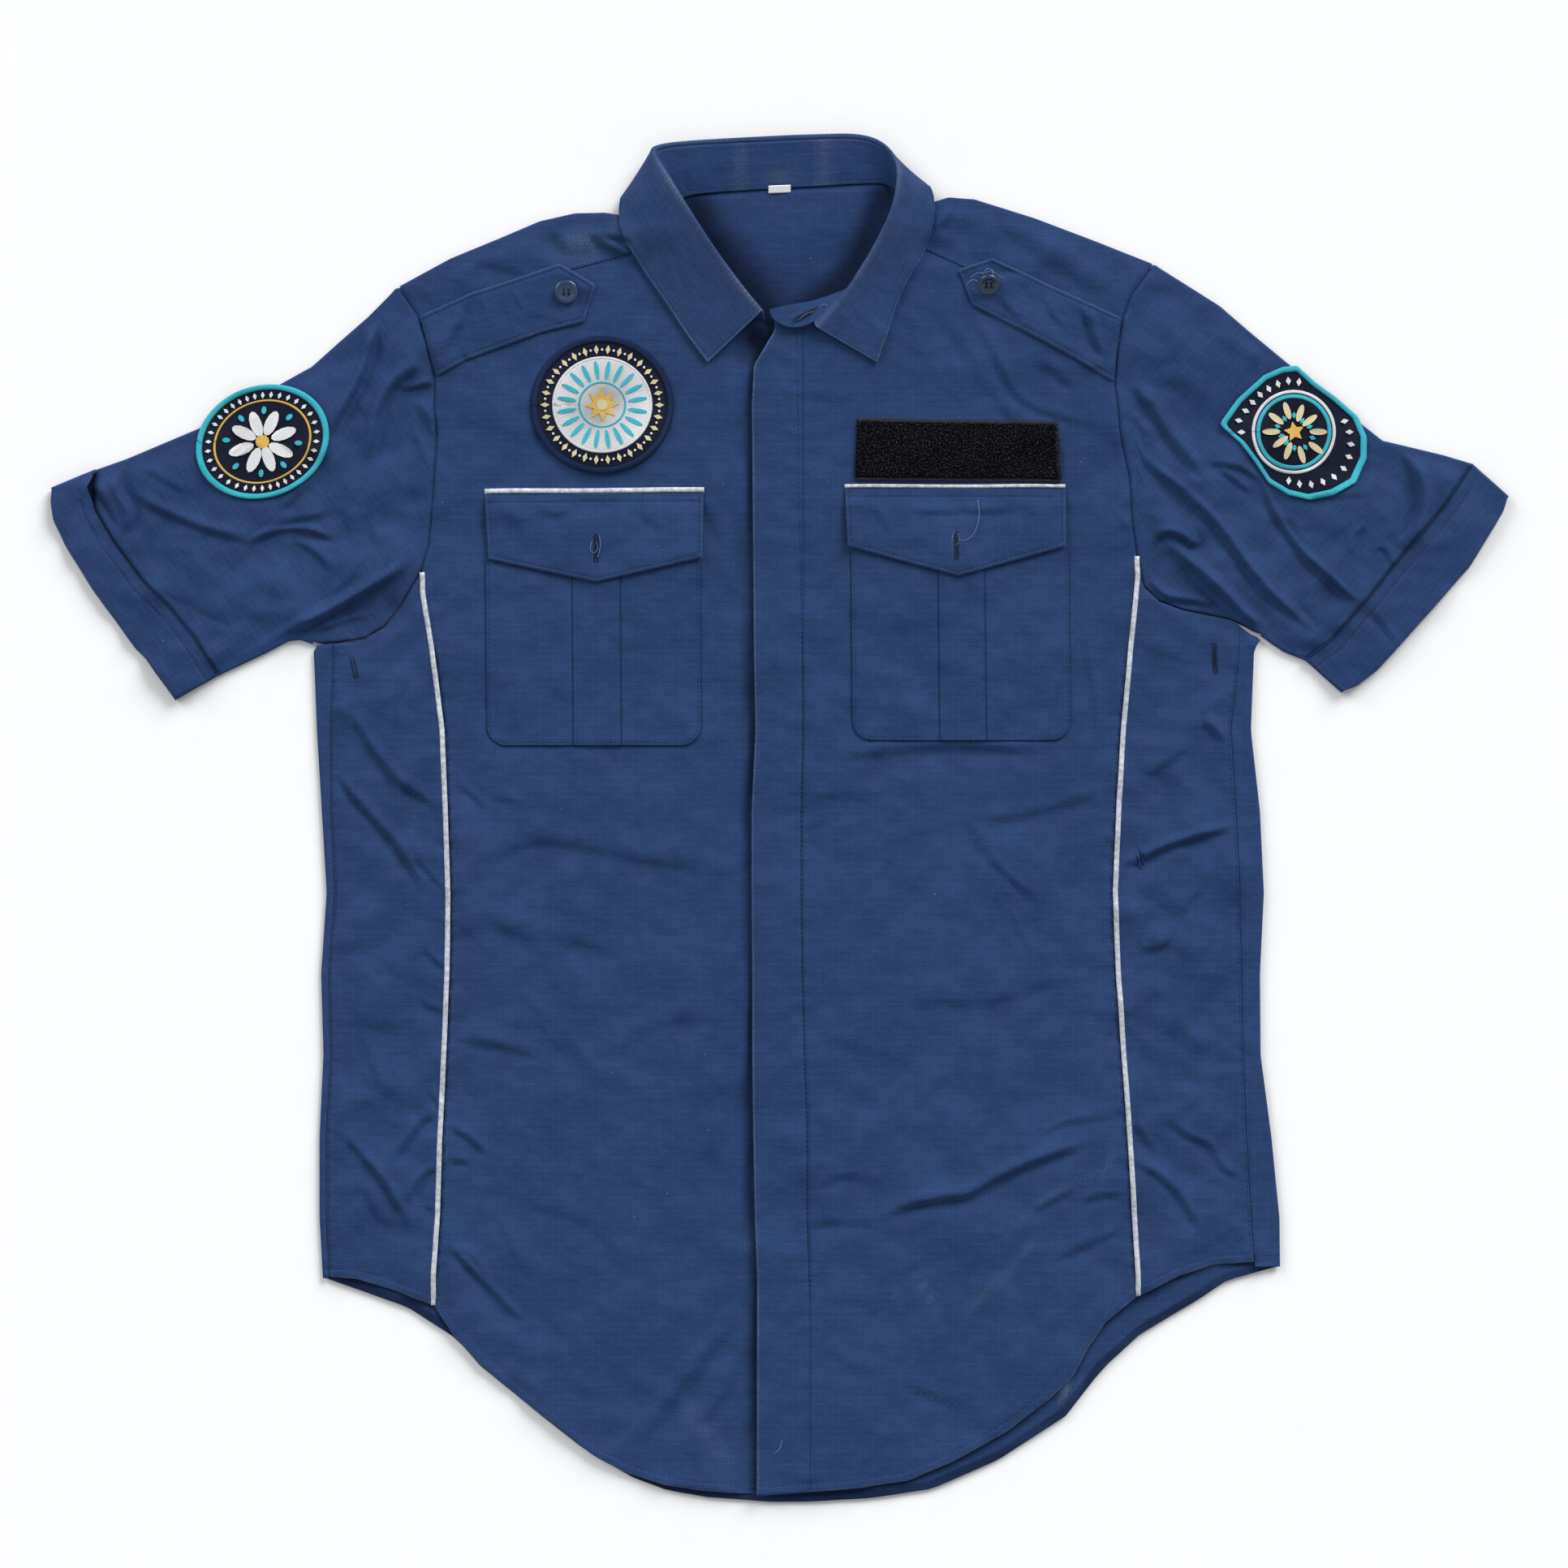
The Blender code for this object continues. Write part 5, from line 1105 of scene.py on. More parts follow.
for node, line, edge, out, lean in (
    ("cuff_right", CUFF_LINE_R, CUFF_EDGE_R, -1.0, LEAN_R),
    ("cuff_left", CUFF_LINE_L, CUFF_EDGE_L, 1.0, LEAN_L),
):
    near = [(x - out * 0.4 - 3.2 * bell((y - 204.0) / 9.0) * (out < 0), y + 0.2) for x, y in line]
    folds = [
        lambda t, i=i, side=side: inset_line((near[i], edge[i]), t, side * EDGE / 2)
        for i, side in ((0, out), (-1, -out))
    ]

    def cuff_spot(u, v):
        return coons(u, v, lambda t: along(near, t), lambda t: along(edge, t),
                     lambda t: folds[0](t)[0], lambda t: folds[1](t)[0])

    def cuff_top(u, v):
        x, y = cuff_spot(u, v)
        rim = measured(x, y, edge)[0]
        # Painted shade: a dark line along the cuff's inner edge, where it stands off the sleeve.
        tuck_shade = -0.9 * bell(measured(x, y, line)[0] / 0.7) * (v < 0.2)
        z = cuff_height(x, y, line) + roll(rim, 1.0, 1.0)
        return x, y, z, *turned_grain(x, y, lean), 0.5 * (rim < 1.0) + tuck_shade

    def cuff_under(u, v):
        x, y = cuff_spot(u, v)
        return x, y, 0.0 * x, *turned_grain(x, y, lean), 0.0 * x

    mesh = bmesh.new()
    columns, rows = shares(160.0, (1.0,), (1.0,)), shares(30.0, (0.0, 1.5, CUFF_STITCH), (0.0, 1.0))
    grid(mesh, columns, rows, cuff_top)
    grid(mesh, columns, rows, cuff_under)
    for fold, way in zip(folds, (out, -out)):
        def cuff_round(u, v):
            spots, away = fold(v)
            x, y = (spots + away * way * EDGE / 2 * np.sin(u * math.pi)[:, None]).T
            rim = measured(spots[:, 0], spots[:, 1], edge)[0]
            high = cuff_height(spots[:, 0], spots[:, 1], line) + roll(rim, 1.0, 1.0)
            return x, y, high * (1 - np.cos(u * math.pi)) / 2, *turned_grain(x, y, lean), 0.0 * x

        grid(mesh, np.linspace(0.0, 1.0, 9), rows, cuff_round)
    cloth(mesh, node + "_cloth", navy, [node], wrapped=True)

# The collar: a stand-up band sewn to the neck, stiffened inside, and a leaf that folds over it along
# the roll line. The front of the band runs on past the leaf as a tab with a buttonhole.
COLLAR = (
    (-9.4, 306.6, 3.9, -10.4, 311.8, 9.5, 0.0, -44.2, 279.8, 1.0),
    (-24.2, 316.8, 3.9, -23.2, 327.2, 14.0, 0.0, -57.2, 297.2, 1.0),
    (-37.2, 332.8, 3.9, -40.2, 349.8, 18.0, 0.0, -70.8, 317.8, 1.0),
    (-50.2, 350.8, 3.9, -57.2, 375.8, 20.0, 0.0, -85.2, 338.8, 1.0),
    (-57.8, 365.8, 4.0, -70.2, 396.8, 18.0, 0.0, -97.2, 360.8, 1.0),
    (-60.5, 378.5, 3.6, -77.2, 408.8, 15.0, 1.0, -97.5, 381.0, 0.5),
    (-58.0, 383.6, 3.4, -74.2, 413.2, 11.5, 2.4, -88.0, 379.0, 0.08),
    (-42.8, 385.9, 3.4, -55.2, 416.2, 8.4, 2.4, -59.2, 371.8, 0.0),
    (-12.2, 388.1, 3.4, -12.2, 418.8, 7.6, 2.4, -12.2, 372.8, 0.0),
    (19.8, 389.9, 3.4, 19.8, 420.2, 7.6, 2.4, 21.2, 374.8, 0.0),
    (51.2, 391.7, 3.4, 47.2, 420.2, 8.4, 2.4, 53.8, 376.8, 0.0),
    (65.5, 391.0, 3.4, 62.2, 415.2, 11.0, 2.4, 80.0, 383.0, 0.08),
    (73.4, 384.5, 3.6, 70.2, 405.2, 14.0, 1.0, 92.0, 388.0, 0.5),
    (74.4, 374.8, 4.0, 72.2, 392.8, 17.0, 0.0, 95.2, 371.8, 1.0),
    (70.8, 359.8, 3.9, 68.2, 372.8, 19.0, 0.0, 89.2, 348.2, 1.0),
    (61.8, 343.8, 3.9, 57.2, 349.8, 18.0, 0.0, 78.2, 328.8, 1.0),
    (50.8, 332.2, 3.9, 48.8, 335.8, 16.0, 0.0, 71.2, 312.8, 1.0),
    (40.8, 324.8, 5.2, 40.8, 323.2, 14.0, 0.0, 66.8, 298.8, 1.0),
    (30.8, 319.8, 6.4, 31.8, 312.2, 12.5, 0.0, 63.2, 288.8, 1.0),
    (19.8, 316.2, 7.2, 21.8, 301.8, 11.0, 0.0, 60.2, 279.8, 1.0),
)
TAB = (
    (12.2, 314.8, 7.4, 13.8, 298.2, 10.0), (3.8, 313.2, 7.6, 4.8, 298.2, 9.6),
    (-3.2, 311.8, 7.8, -2.2, 301.8, 9.2), (-6.0, 310.8, 7.8, -5.8, 306.6, 8.8),
)
BAND_STOP = 3.3
LEAF_OVER = 1.8
LEAF_LONG = 480.0


def flowing(table, u):
    """Columns of a table at the share u of its rows, on one smooth curve through them."""
    table = np.array(table, float)
    at = np.clip(u, 0.0, 1.0) * (len(table) - 1)
    i = np.clip(at.astype(int), 0, len(table) - 2)
    t = (at - i)[:, None]
    padded = np.concatenate([2 * table[:1] - table[1:2], table, 2 * table[-1:] - table[-2:-1]])
    a, b, c, d = padded[i], padded[i + 1], padded[i + 2], padded[i + 3]
    spots = b + 0.5 * t * (c - a + t * (2 * a - 5 * b + 4 * c - d + t * (3 * (b - c) + d - a)))
    return spots.T


def band_face(u, v):
    sx, sy, sz, rx, ry, rz = flowing([row[:6] for row in COLLAR] + list(TAB), u)
    length = np.sqrt((rx - sx) ** 2 + (ry - sy) ** 2 + (rz - sz) ** 2)
    t = (v * (length - BAND_STOP + 1.4) - 1.4) / length
    x, y, z = sx + t * (rx - sx), sy + t * (ry - sy), sz + t * (rz - sz)
    buckle = 0.5 * np.sin(u * 61.0 + 1.0) * np.sin(math.pi * v) * (np.abs(x) < 60)
    buckle = buckle * smooth((y - 370.0) / 20.0)
    rubbed = 0.3 * (bell((x + 24.0) / 4.0) + bell((x - 27.0) / 5.0)) * smooth((y - 380.0) / 5.0)
    return x, y, z + buckle, 520.0 * u, v * 30.0, rubbed + 0.3 * bell(x / 9.0, (y - 395.0) / 4.0)


def leaf_face(u, v):
    """The leaf, from the band's upper edge over the roll (v to 0.2) and down to its own edge."""
    sx, sy, sz, rx, ry, rz, drop, ex, ey, lies = flowing(COLLAR, u)
    lies = np.clip(lies, 0.0, 1.0)

    def fall(t):
        x, y = rx + t * (ex - rx), ry + t * (ey - ry)
        on_top = top(x, y) + LEAF_OVER
        slope = (1 - t) ** (1.1 + np.maximum(drop, 0.0))
        start = rz - drop
        above = on_top + (start - on_top) * slope
        below = 0.7 + (start - 0.7) * slope
        return np.stack([x, y, lies * above + (1 - lies) * below])

    reach = np.hypot(ex - rx, ey - ry)
    inner = np.stack([rx, ry, rz])
    band = np.stack([sx, sy, sz])
    band = inner + (band - inner) * (BAND_STOP - 0.1) / np.sqrt(((band - inner) ** 2).sum(axis=0))
    outer = fall(3.0 / reach)
    apex = inner + 0.55 * (inner - (band + outer) / 2)
    t = np.clip(v / 0.2, 0.0, 1.0)
    bent = (1 - t) ** 2 * band + 2 * t * (1 - t) * apex + t ** 2 * outer
    past = np.clip((v - 0.2) / 0.8, 0.0, 1.0)
    flat = fall(3.0 / reach + past * (1 - 3.0 / reach))
    x, y, z = np.where(v <= 0.2, bent, flat)
    edge = np.minimum((1 - past) * reach, np.minimum(u, 1 - u) * LEAF_LONG)
    z = z + 0.25 * bell(edge / 1.6) - 0.3 * bell((edge - 1.9) / 0.5) * (v > 0.3)
    z = z + 0.35 * np.sin(9 * u * math.pi + 4 * past) * past * (1 - past) * lies
    rolled = bell((v - 0.13) / 0.07) * (0.55 + 0.45 * np.sin(u * 40.0)) * np.where(u < 0.5, 1.0, 0.6)
    tips = 0.35 * bell(edge / 0.9) * smooth((np.abs(u - 0.5) - 0.34) / 0.1)
    # Painted light: 0.07 lifts the whole leaf a little towards the pale worn tint, as it slopes away from the
    # light; the roll line and the tips are real wear.
    return x, y, z, LEAF_LONG * u, past * reach, np.clip(0.07 + 0.8 * rolled + tips, 0.0, 1.0)


mesh = bmesh.new()
grid(mesh, shares(520.0), shares(22.0, (0.0,), (), 1.5), band_face)
cloth(mesh, "collar_band_cloth", navy, ["collar_band"], wall=1.2, offset=0.0)
mesh = bmesh.new()
leaf_rows = np.concatenate([np.linspace(0.0, 0.2, 9), 0.2 + 0.8 * shares(44.0, (), (0.0, 1.9), 1.8)[1:]])
grid(mesh, shares(LEAF_LONG, (0.0, 1.9), (0.0, 1.9)), leaf_rows, leaf_face)
cloth(mesh, "collar_leaf_cloth", navy, ["collar_leaf"], wall=1.2, offset=0.0)

# The shoulder straps: two layers of the ripstop, sewn into the armhole seams and pointed at the neck end,
# stitched close to their edges, and each held by one button.
STRAP_R = {
    "outer": ((-210.8, 271.2), (-221.4, 308.6)), "top": ((-221.4, 308.6), (-190.0, 322.6), (-135.2, 340.8)),
    "tip": ((-120.2, 304.8), (-112.8, 327.8), (-135.2, 340.8)),
    "bottom": ((-210.8, 271.2), (-191.2, 282.2), (-145.2, 298.8), (-120.2, 304.8)),
}
STRAP_L = {
    "outer": ((205.4, 268.2), (210.0, 307.6)), "top": ((210.0, 307.6), (160.2, 330.6), (130.8, 344.2)),
    "tip": ((118.8, 315.2), (109.8, 337.2), (130.8, 344.2)),
    "bottom": ((205.4, 268.2), (185.2, 280.4), (160.2, 293.8), (138.8, 304.8), (118.8, 315.2)),
}
STRAP_CREASES = (
    (1.3, 4.5, 0.8, ((-196, 318), (-192, 306), (-200, 296), (-203, 284))),
    (0.8, 2.6, 0.5, ((-196, 287), (-192, 281), (-189, 277))),
    (0.6, 3, 0.4, ((-186, 319), (-182, 312), (-184, 306))),
    (0.6, 3, 0.4, ((-166, 325), (-163, 317), (-157, 310))),
    (0.5, 3, 0.3, ((-158, 308), (-146, 307), (-132, 303))),
    (1.7, 3.4, 1.1, ((184, 315), (189, 303), (193, 291), (199, 282))),
    (0.9, 2.6, 0.6, ((192, 319), (190, 308), (193, 300))),
    (0.6, 3, 0.4, ((160, 322), (166, 308), (176, 300))),
    (0.5, 3, 0.3, ((135, 318), (140, 311), (149, 305))),
)
ON_CLOTH = 0.45


def on_front(x, y):
    """The cloth that the pieces sewn to a front or a shoulder lie on."""
    return top(x, y) + np.where(x > 0, lift_left(x), 0.0) + ON_CLOTH


def four_sided(u, v, *lines):
    """Points between four lines of points: lower, upper, first and last."""
    return coons(u, v, *[lambda t, line=line: along(line, t) for line in lines])


def strap_height(x, y, sides):
    """Upper face of a shoulder strap."""
    rim = np.full(np.shape(x), 1e9)
    for key in ("top", "tip", "bottom"):
        rim = np.minimum(rim, measured(x, y, sides[key])[0])
    edge = -0.7 * bell(rim / 0.7) - 0.35 * bell((rim - 2.6) / 0.5)
    outer = measured(x, y, sides["outer"])[0]
    creased = 0.8 * relief(x, y, STRAP_CREASES) + 0.3 * uneven(3 * x, 3 * y)
    return on_front(x, y) + 1.7 + edge + roll(outer, 1.6, 1.6) + creased, rim


for node, sides, lean in (("epaulette_right", STRAP_R, 18.0), ("epaulette_left", STRAP_L, -26.0)):
    def strap(u, v):
        x, y = four_sided(u, v, sides["bottom"], sides["top"], sides["outer"], sides["tip"])
        z, rim = strap_height(x, y, sides)
        return x, y, z, *turned_grain(x, y, lean), 0.3 * bell(rim / 0.8)

    mesh = bmesh.new()
    grid(mesh, shares(100.0, (0.0,), (0.0, 2.6), 1.6), shares(36.0, (0.0, 2.6), (0.0, 2.6), 1.6), strap)
    cloth(mesh, node + "_cloth", navy, [node], wall=1.4)

# The chest pockets: patch pockets of the ripstop with a box pleat down the middle, stitched round close
# to their edges.
POCKETS = (
    ("pocket_right", -181.0, -49.2, 186.0, 44.2, -127.8, -98.2, 12.0, 2.0),
    ("pocket_left", 43.6, 177.6, 186.0, 47.4, 97.2, 126.0, 12.0, -2.6),
)


def pocket_lean(y, mouth, bottom, lean):
    return 0.5 * abs(lean) * (mouth - y) / (mouth - bottom)


def pocket_rim(x, y, row):
    """Distance from a pocket's sewn edge, from its upright, unleaned outline."""
    _, left, right, mouth, bottom, _, _, corner, _ = row
    near = np.minimum(x - left, right - x)
    round_off = corner - np.hypot(np.maximum(corner - near, 0.0), np.maximum(corner - (y - bottom), 0.0))
    return np.where((near < corner) & (y - bottom < corner), round_off, np.minimum(near, y - bottom))


def pocket_height(x, y, row):
    """Upper face of a pocket. x is before its lean."""
    _, left, right, mouth, bottom, a, b, corner, lean = row
    rim = pocket_rim(x, y, row)
    pleat = smooth((x - a) / 1.2 + 0.5) * smooth((b - x) / 1.2 + 0.5)
    lines = sum(bell((x - at) / 0.5) for at in (a + 2.0, b - 2.0))
    moved = x + pocket_lean(y, mouth, bottom, lean)
    z = on_front(moved, y) + 1.0 + 0.55 * pleat - 0.25 * lines
    z = z - 0.55 * bell(rim / 0.7) - 0.28 * bell((rim - 1.8) / 0.45)
    return moved, z + 0.25 * uneven(2 * moved, 2 * y)


for row in POCKETS:
    name, left, right, mouth, bottom, a, b, corner, lean = row

    def pocket(u, v):
        x = left + u * (right - left)
        near = np.minimum(x - left, right - x)
        low = bottom + corner - np.sqrt(np.maximum(corner ** 2 - np.maximum(corner - near, 0) ** 2, 0.0))
        y = low + v * (mouth - low)
        moved, z = pocket_height(x, y, row)
        lines = sum(bell((x - at) / 0.5) for at in (a, b))
        # Painted shade: dark lines along both pleat folds and round the sewn edge.
        return moved, y, z, moved, y, -0.75 * lines - 0.6 * bell(pocket_rim(x, y, row) / 0.4)

    pleat = (a - left, a - left + 2.0, b - left - 2.0, b - left)
    columns = shares(right - left, (0.0, 1.8, *pleat), (0.0, 1.8), 2.0)
    mesh = bmesh.new()
    grid(mesh, columns, shares(mouth - bottom, (0.0, 1.8), (), 2.0), pocket)
    cloth(mesh, name + "_cloth", navy, [name])

# The pocket flaps: two layers turned and stitched close to the edge and again along the top, with a
# point in the middle. A white tape is caught under each flap's top seam.
FLAPS = (
    ("flap_right", (-181.2, 198.7), (-46.8, 199.7), (-47.2, 159.8), (-112.8, 144.8), (-178.8, 158.8)),
    ("flap_left", (40.2, 202.3), (175.8, 202.3), (175.8, 166.8), (109.8, 148.4), (41.8, 166.8)),
)
FLAP_PIPES = (
    ("flap_piping_right", -181.4, 202.4, -46.4, 203.4, 3.4),
    ("flap_piping_left", 40.0, 205.2, 175.8, 205.2, 2.6),
)
FLAP_CREASES = (
    (0.7, 3.5, 0.4, ((72, 189), (90, 186), (110, 187), (140, 187), (152, 189))),
    (0.5, 4, 0.3, ((56, 190), (62, 182), (66, 172))),
    (0.5, 4, 0.3, ((-150, 188), (-140, 184), (-128, 186))),
    (0.5, 5, 0.3, ((-92, 190), (-80, 180), (-70, 172))),
)


def flap_height(x, y, row):
    name, a, b, c, point, d = row
    sides = np.minimum(measured(x, y, (a, d, point, c, b))[0], 99.0)
    seam = measured(x, y, (a, b))[0]
    low = np.interp(x, (d[0], point[0], c[0]), (d[1], point[1], c[1]))
    share = np.clip((y - low) / (a[1] - low), 0.0, 1.0)
    rise = 2.5 * smooth((1 - share) * 3.0) + 1.4
    edge = -0.7 * bell(sides / 0.7) - 0.35 * bell((sides - 2.4) / 0.5)
    edge = edge - 0.4 * bell((seam - 5.0) / 0.5) + ripple(seam - 5.0, x - a[0], 0.15, 8.0, 4.0)
    return on_front(x, y) + rise + edge + relief(x, y, FLAP_CREASES) + 0.25 * uneven(2 * x, 2 * y), sides


for row in FLAPS:
    name, a, b, c, point, d = row

    def flap(u, v):
        x, y = four_sided(u, v, (d, point, c), (a, b), (d, a), (c, b))
        z, rim = flap_height(x, y, row)
        return x, y, z, x, y, 0.25 * bell(rim / 0.8)

    mesh = bmesh.new()
    grid(mesh, shares(135.0, (0.0, 2.4), (0.0, 2.4), 1.8), shares(46.0, (0.0, 2.4), (0.0, 5.0), 1.8), flap)
    cloth(mesh, name + "_cloth", navy, [name], wall=1.2)
for name, x0, y0, x1, y1, width in FLAP_PIPES:
    def strip_line(t):
        return np.stack([x0 + t * (x1 - x0), y0 + t * (y1 - y0) - width / 2 + 0.15 * np.sin(9 * t)], axis=-1)

    mesh = bmesh.new()
    tape(mesh, strip_line, width, shares(135.0), lambda x, y: on_front(x, y) - 0.35)
    cloth(mesh, name + "_tape", silver, [name], wall=0.5)

# The loop strip: black fastening tape with a pile of fine loops, for a name bar to press onto. It has a
# flat woven edge above and below, its right end has begun to fray, and it is stitched down all round.
STRIP = ((47.8, 245.8), (171.2, 243.8), (173.2, 206.6), (46.2, 207.6))
STRIP_LONG, STRIP_HIGH = 125.0, 37.5
pile, tree, shader = start_finish("black loop pile", {"Roughness": 0.95, "Specular IOR Level": 0.06})
thread, _, _, bare = cloth_way(tree)
lint = ranged(tree, noise(tree, thread, 0.95, 3.0, 0.6), 0.53, 0.70)
black = mixed(tree, lint, (0.0012, 0.0013, 0.0028, 1), (0.050, 0.052, 0.068, 1))
tree.links.new(mixed(tree, bare, black, (0.035, 0.037, 0.052, 1)), shader.inputs["Base Color"])
tufts = put(tree, "ShaderNodeTexVoronoi", {"Vector": thread, "Scale": 1.1, "Randomness": 0.9})
bumpy(tree, shader, tufts, 0.0006, 0.9)
fluff = np.random.default_rng(5)


def loops(u, v):
    a, b, c, d = STRIP
    x, y = four_sided(u, v, (d, c), (a, b), (d, a), (c, b))
    edge = np.minimum(v, 1 - v) * STRIP_HIGH
    ends = np.minimum(u, 1 - u) * STRIP_LONG
    selvedge = 1 - smooth((edge - 1.2) / 0.9)
    stands = fluff.uniform(0.0, 0.9, len(u)) * (1 - selvedge)
    fray = (u > 0.965) * fluff.uniform(-1.0, 1.0, len(u)) * (0.5 + 1.4 * (edge < 6.0))
    z = on_front(x, y) + 1.1 + 0.7 * (1 - selvedge) + stands - 0.7 * bell(ends / 0.7)
    z = z - 0.5 * bell((edge - 1.8) / 0.5) + 0.35 * np.sin(x / 17.0) * np.sin(y / 9.0)
    return x + fray, y + 0.4 * fray * (edge < 6.0), z, x, y, 0.75 * selvedge + 0.3 * (u > 0.985)


mesh = bmesh.new()
pile_step = 0.85
pile_rows = shares(STRIP_HIGH, (1.2, 2.0), (1.2, 2.0), pile_step)
grid(mesh, shares(STRIP_LONG, step=pile_step), pile_rows, loops)
cloth(mesh, "loop_strip_pile", pile, ["loop_strip"], wall=1.4)

# The patches: embroidered twill with a thick overlocked edge, sewn to the chest and to both sleeves.
# Each has a plain design of rings, petals, lozenges and a star in raised satin stitch.
def satin(name, light, dark, pitch, sheen=0.35):
    """Embroidery thread that runs across the cloth's own way across, in rows of the pitch in mm."""
    made, tree, shader = start_finish(name, {"Roughness": 0.62, "Specular IOR Level": 0.15})
    thread, across, _, _ = cloth_way(tree)
    rows = put(tree, "ShaderNodeMath", {0: across, 1: pitch / 2}, operation="PINGPONG")
    rows = ranged(tree, rows, 0.0, pitch / 2)
    blotch = noise(tree, thread, 0.9, 3.0)
    # Painted sheen and shade: each row of thread runs from the dark colour to the light one across its width,
    # as its round catches the light; the blotches vary the tone at random.
    tone = put(tree, "ShaderNodeMath", {0: rows, 1: sheen, 2: 0.25}, operation="MULTIPLY_ADD")
    tone = put(tree, "ShaderNodeMath", {0: blotch, 1: 0.8, 2: tone}, operation="MULTIPLY_ADD")
    tree.links.new(mixed(tree, tone, dark, light), shader.inputs["Base Color"])
    bumpy(tree, shader, rows, 0.00045, 1.0)
    return made


twill = satin("navy twill ground", (0.0085, 0.013, 0.036, 1), (0.002, 0.004, 0.014, 1), 0.9)
navy_thread = satin("navy edge thread", (0.011, 0.026, 0.085, 1), (0.004, 0.010, 0.040, 1), 0.8)
turquoise = satin("turquoise thread", (0.060, 0.55, 0.68, 1), (0.012, 0.22, 0.33, 1), 0.9, 0.5)
white = satin("white thread", (0.93, 0.94, 0.96, 1), (0.44, 0.47, 0.54, 1), 0.8, 0.55)
gold = satin("gold thread", (0.88, 0.55, 0.14, 1), (0.46, 0.26, 0.05, 1), 0.8, 0.55)
cream = satin("cream thread", (0.86, 0.76, 0.48, 1), (0.42, 0.34, 0.16, 1), 0.8, 0.55)
SHIELD = (
    (318.2, 278.2), (329.2, 268.2), (342.2, 258.8), (355.8, 246.8), (361.2, 234.2), (361.2, 220.8),
    (354.2, 205.8), (340.8, 198.2), (325.8, 195.2), (312.8, 198.2), (300.8, 205.8), (292.8, 217.8),
    (282.8, 230.8), (271.8, 240.8), (271.2, 243.2), (281.2, 257.2), (297.8, 272.2), (309.2, 277.2),
)


def oval(x, y, a, b, turn):
    angles = np.linspace(0.0, 2 * math.pi, 97)[:-1]
    c, s = math.cos(math.radians(turn)), math.sin(math.radians(turn))
    px, py = a * np.cos(angles), b * np.sin(angles)
    return [(x + c * i - s * j, y + s * i + c * j) for i, j in zip(px, py)]


def patch_height(x, y):
    return on_front(x, y) + 1.3 + 0.25 * np.sin(x / 13.0 + 1.0) * np.sin(y / 11.0)


def round_band(mesh, centre, outline, inner, outer, rise, slant=0.0, sides=200):
    """A band of stitching round the centre, from a share of the outline's reach to another."""
    rim = along([*outline, outline[0]], np.linspace(0.0, 1.0, 240)[:-1]) - np.array(centre)
    angle = np.arctan2(rim[:, 1], rim[:, 0])
    order = np.argsort(angle)
    angle, reach = angle[order], np.hypot(rim[:, 0], rim[:, 1])[order]

    def place(u, v):
        turn = 2 * math.pi * u - math.pi
        reached = np.interp(turn, angle, reach, period=2 * math.pi)
        size = (inner + v * (outer - inner)) * reached
        x, y = centre[0] + size * np.cos(turn), centre[1] + size * np.sin(turn)
        crown = rise * np.sqrt(np.maximum(1 - (2 * v - 1) ** 2, 0.0)) if inner > 0 else rise * (1 + 0 * v)
        across = turn * reach.mean() * max(outer, 0.5) + slant * size
        return x, y, patch_height(x, y) + crown, across, size, 0.0 * x

    deep = 9 if inner > 0 else 12
    grid(mesh, np.linspace(0.0, 1.0, sides + 1), np.linspace(0.0, 1.0, deep), place)


def motif(mesh, centre, turn, points, long, wide, inner=1.0, rise=0.15):
    """A raised satin shape with 2 × points corners, its long way turned by an angle in degrees."""
    grain = mesh.verts.layers.float_vector.get("grain") or mesh.verts.layers.float_vector.new("grain")
    rim = bmesh.ops.create_circle(mesh, cap_ends=True, segments=2 * points, radius=1.0)["verts"]
    for i, vert in enumerate(rim):
        reach = inner if i % 2 else 1.0
        vert.co = Vector((vert.co.x * long * reach, vert.co.y * wide * reach, 0.0))
    face = rim[0].link_faces[0]
    inset = min(wide, long) * 0.18
    made = bmesh.ops.inset_region(mesh, faces=[face], thickness=inset, depth=0.0, use_even_offset=False)
    top_verts = set(face.verts)
    place = Matrix.Translation((*centre, 0.0)) @ Matrix.Rotation(math.radians(turn), 4, "Z")
    for vert in {*rim, *top_verts, *(v for f in made["faces"] for v in f.verts)}:
        vert[grain] = Vector((vert.co.x, vert.co.y, 0.0))
        vert.co.z = rise if vert in top_verts else 0.0
        vert.co = place @ vert.co


def laid_on(mesh, height, rise=0.1):
    """Lays flat shapes in millimetres on the cloth under them."""
    spots = np.array([vert.co[:] for vert in mesh.verts])
    z = height(spots[:, 0], spots[:, 1]) + spots[:, 2] + rise
    for vert, high in zip(mesh.verts, z):
        vert.co = Vector((vert.co.x, vert.co.y, high)) * MM


def spread(centre, outline, share, turn):
    """The point at a share of the way from the centre to the outline, in a direction in degrees."""
    rim = np.array(outline) - np.array(centre)
    angle = np.arctan2(rim[:, 1], rim[:, 0])
    order = np.argsort(angle)
    reach = np.interp(math.radians(turn), angle[order], np.hypot(*rim.T)[order], period=2 * math.pi)
    away = share * reach
    return centre[0] + away * math.cos(math.radians(turn)), centre[1] + away * math.sin(math.radians(turn))


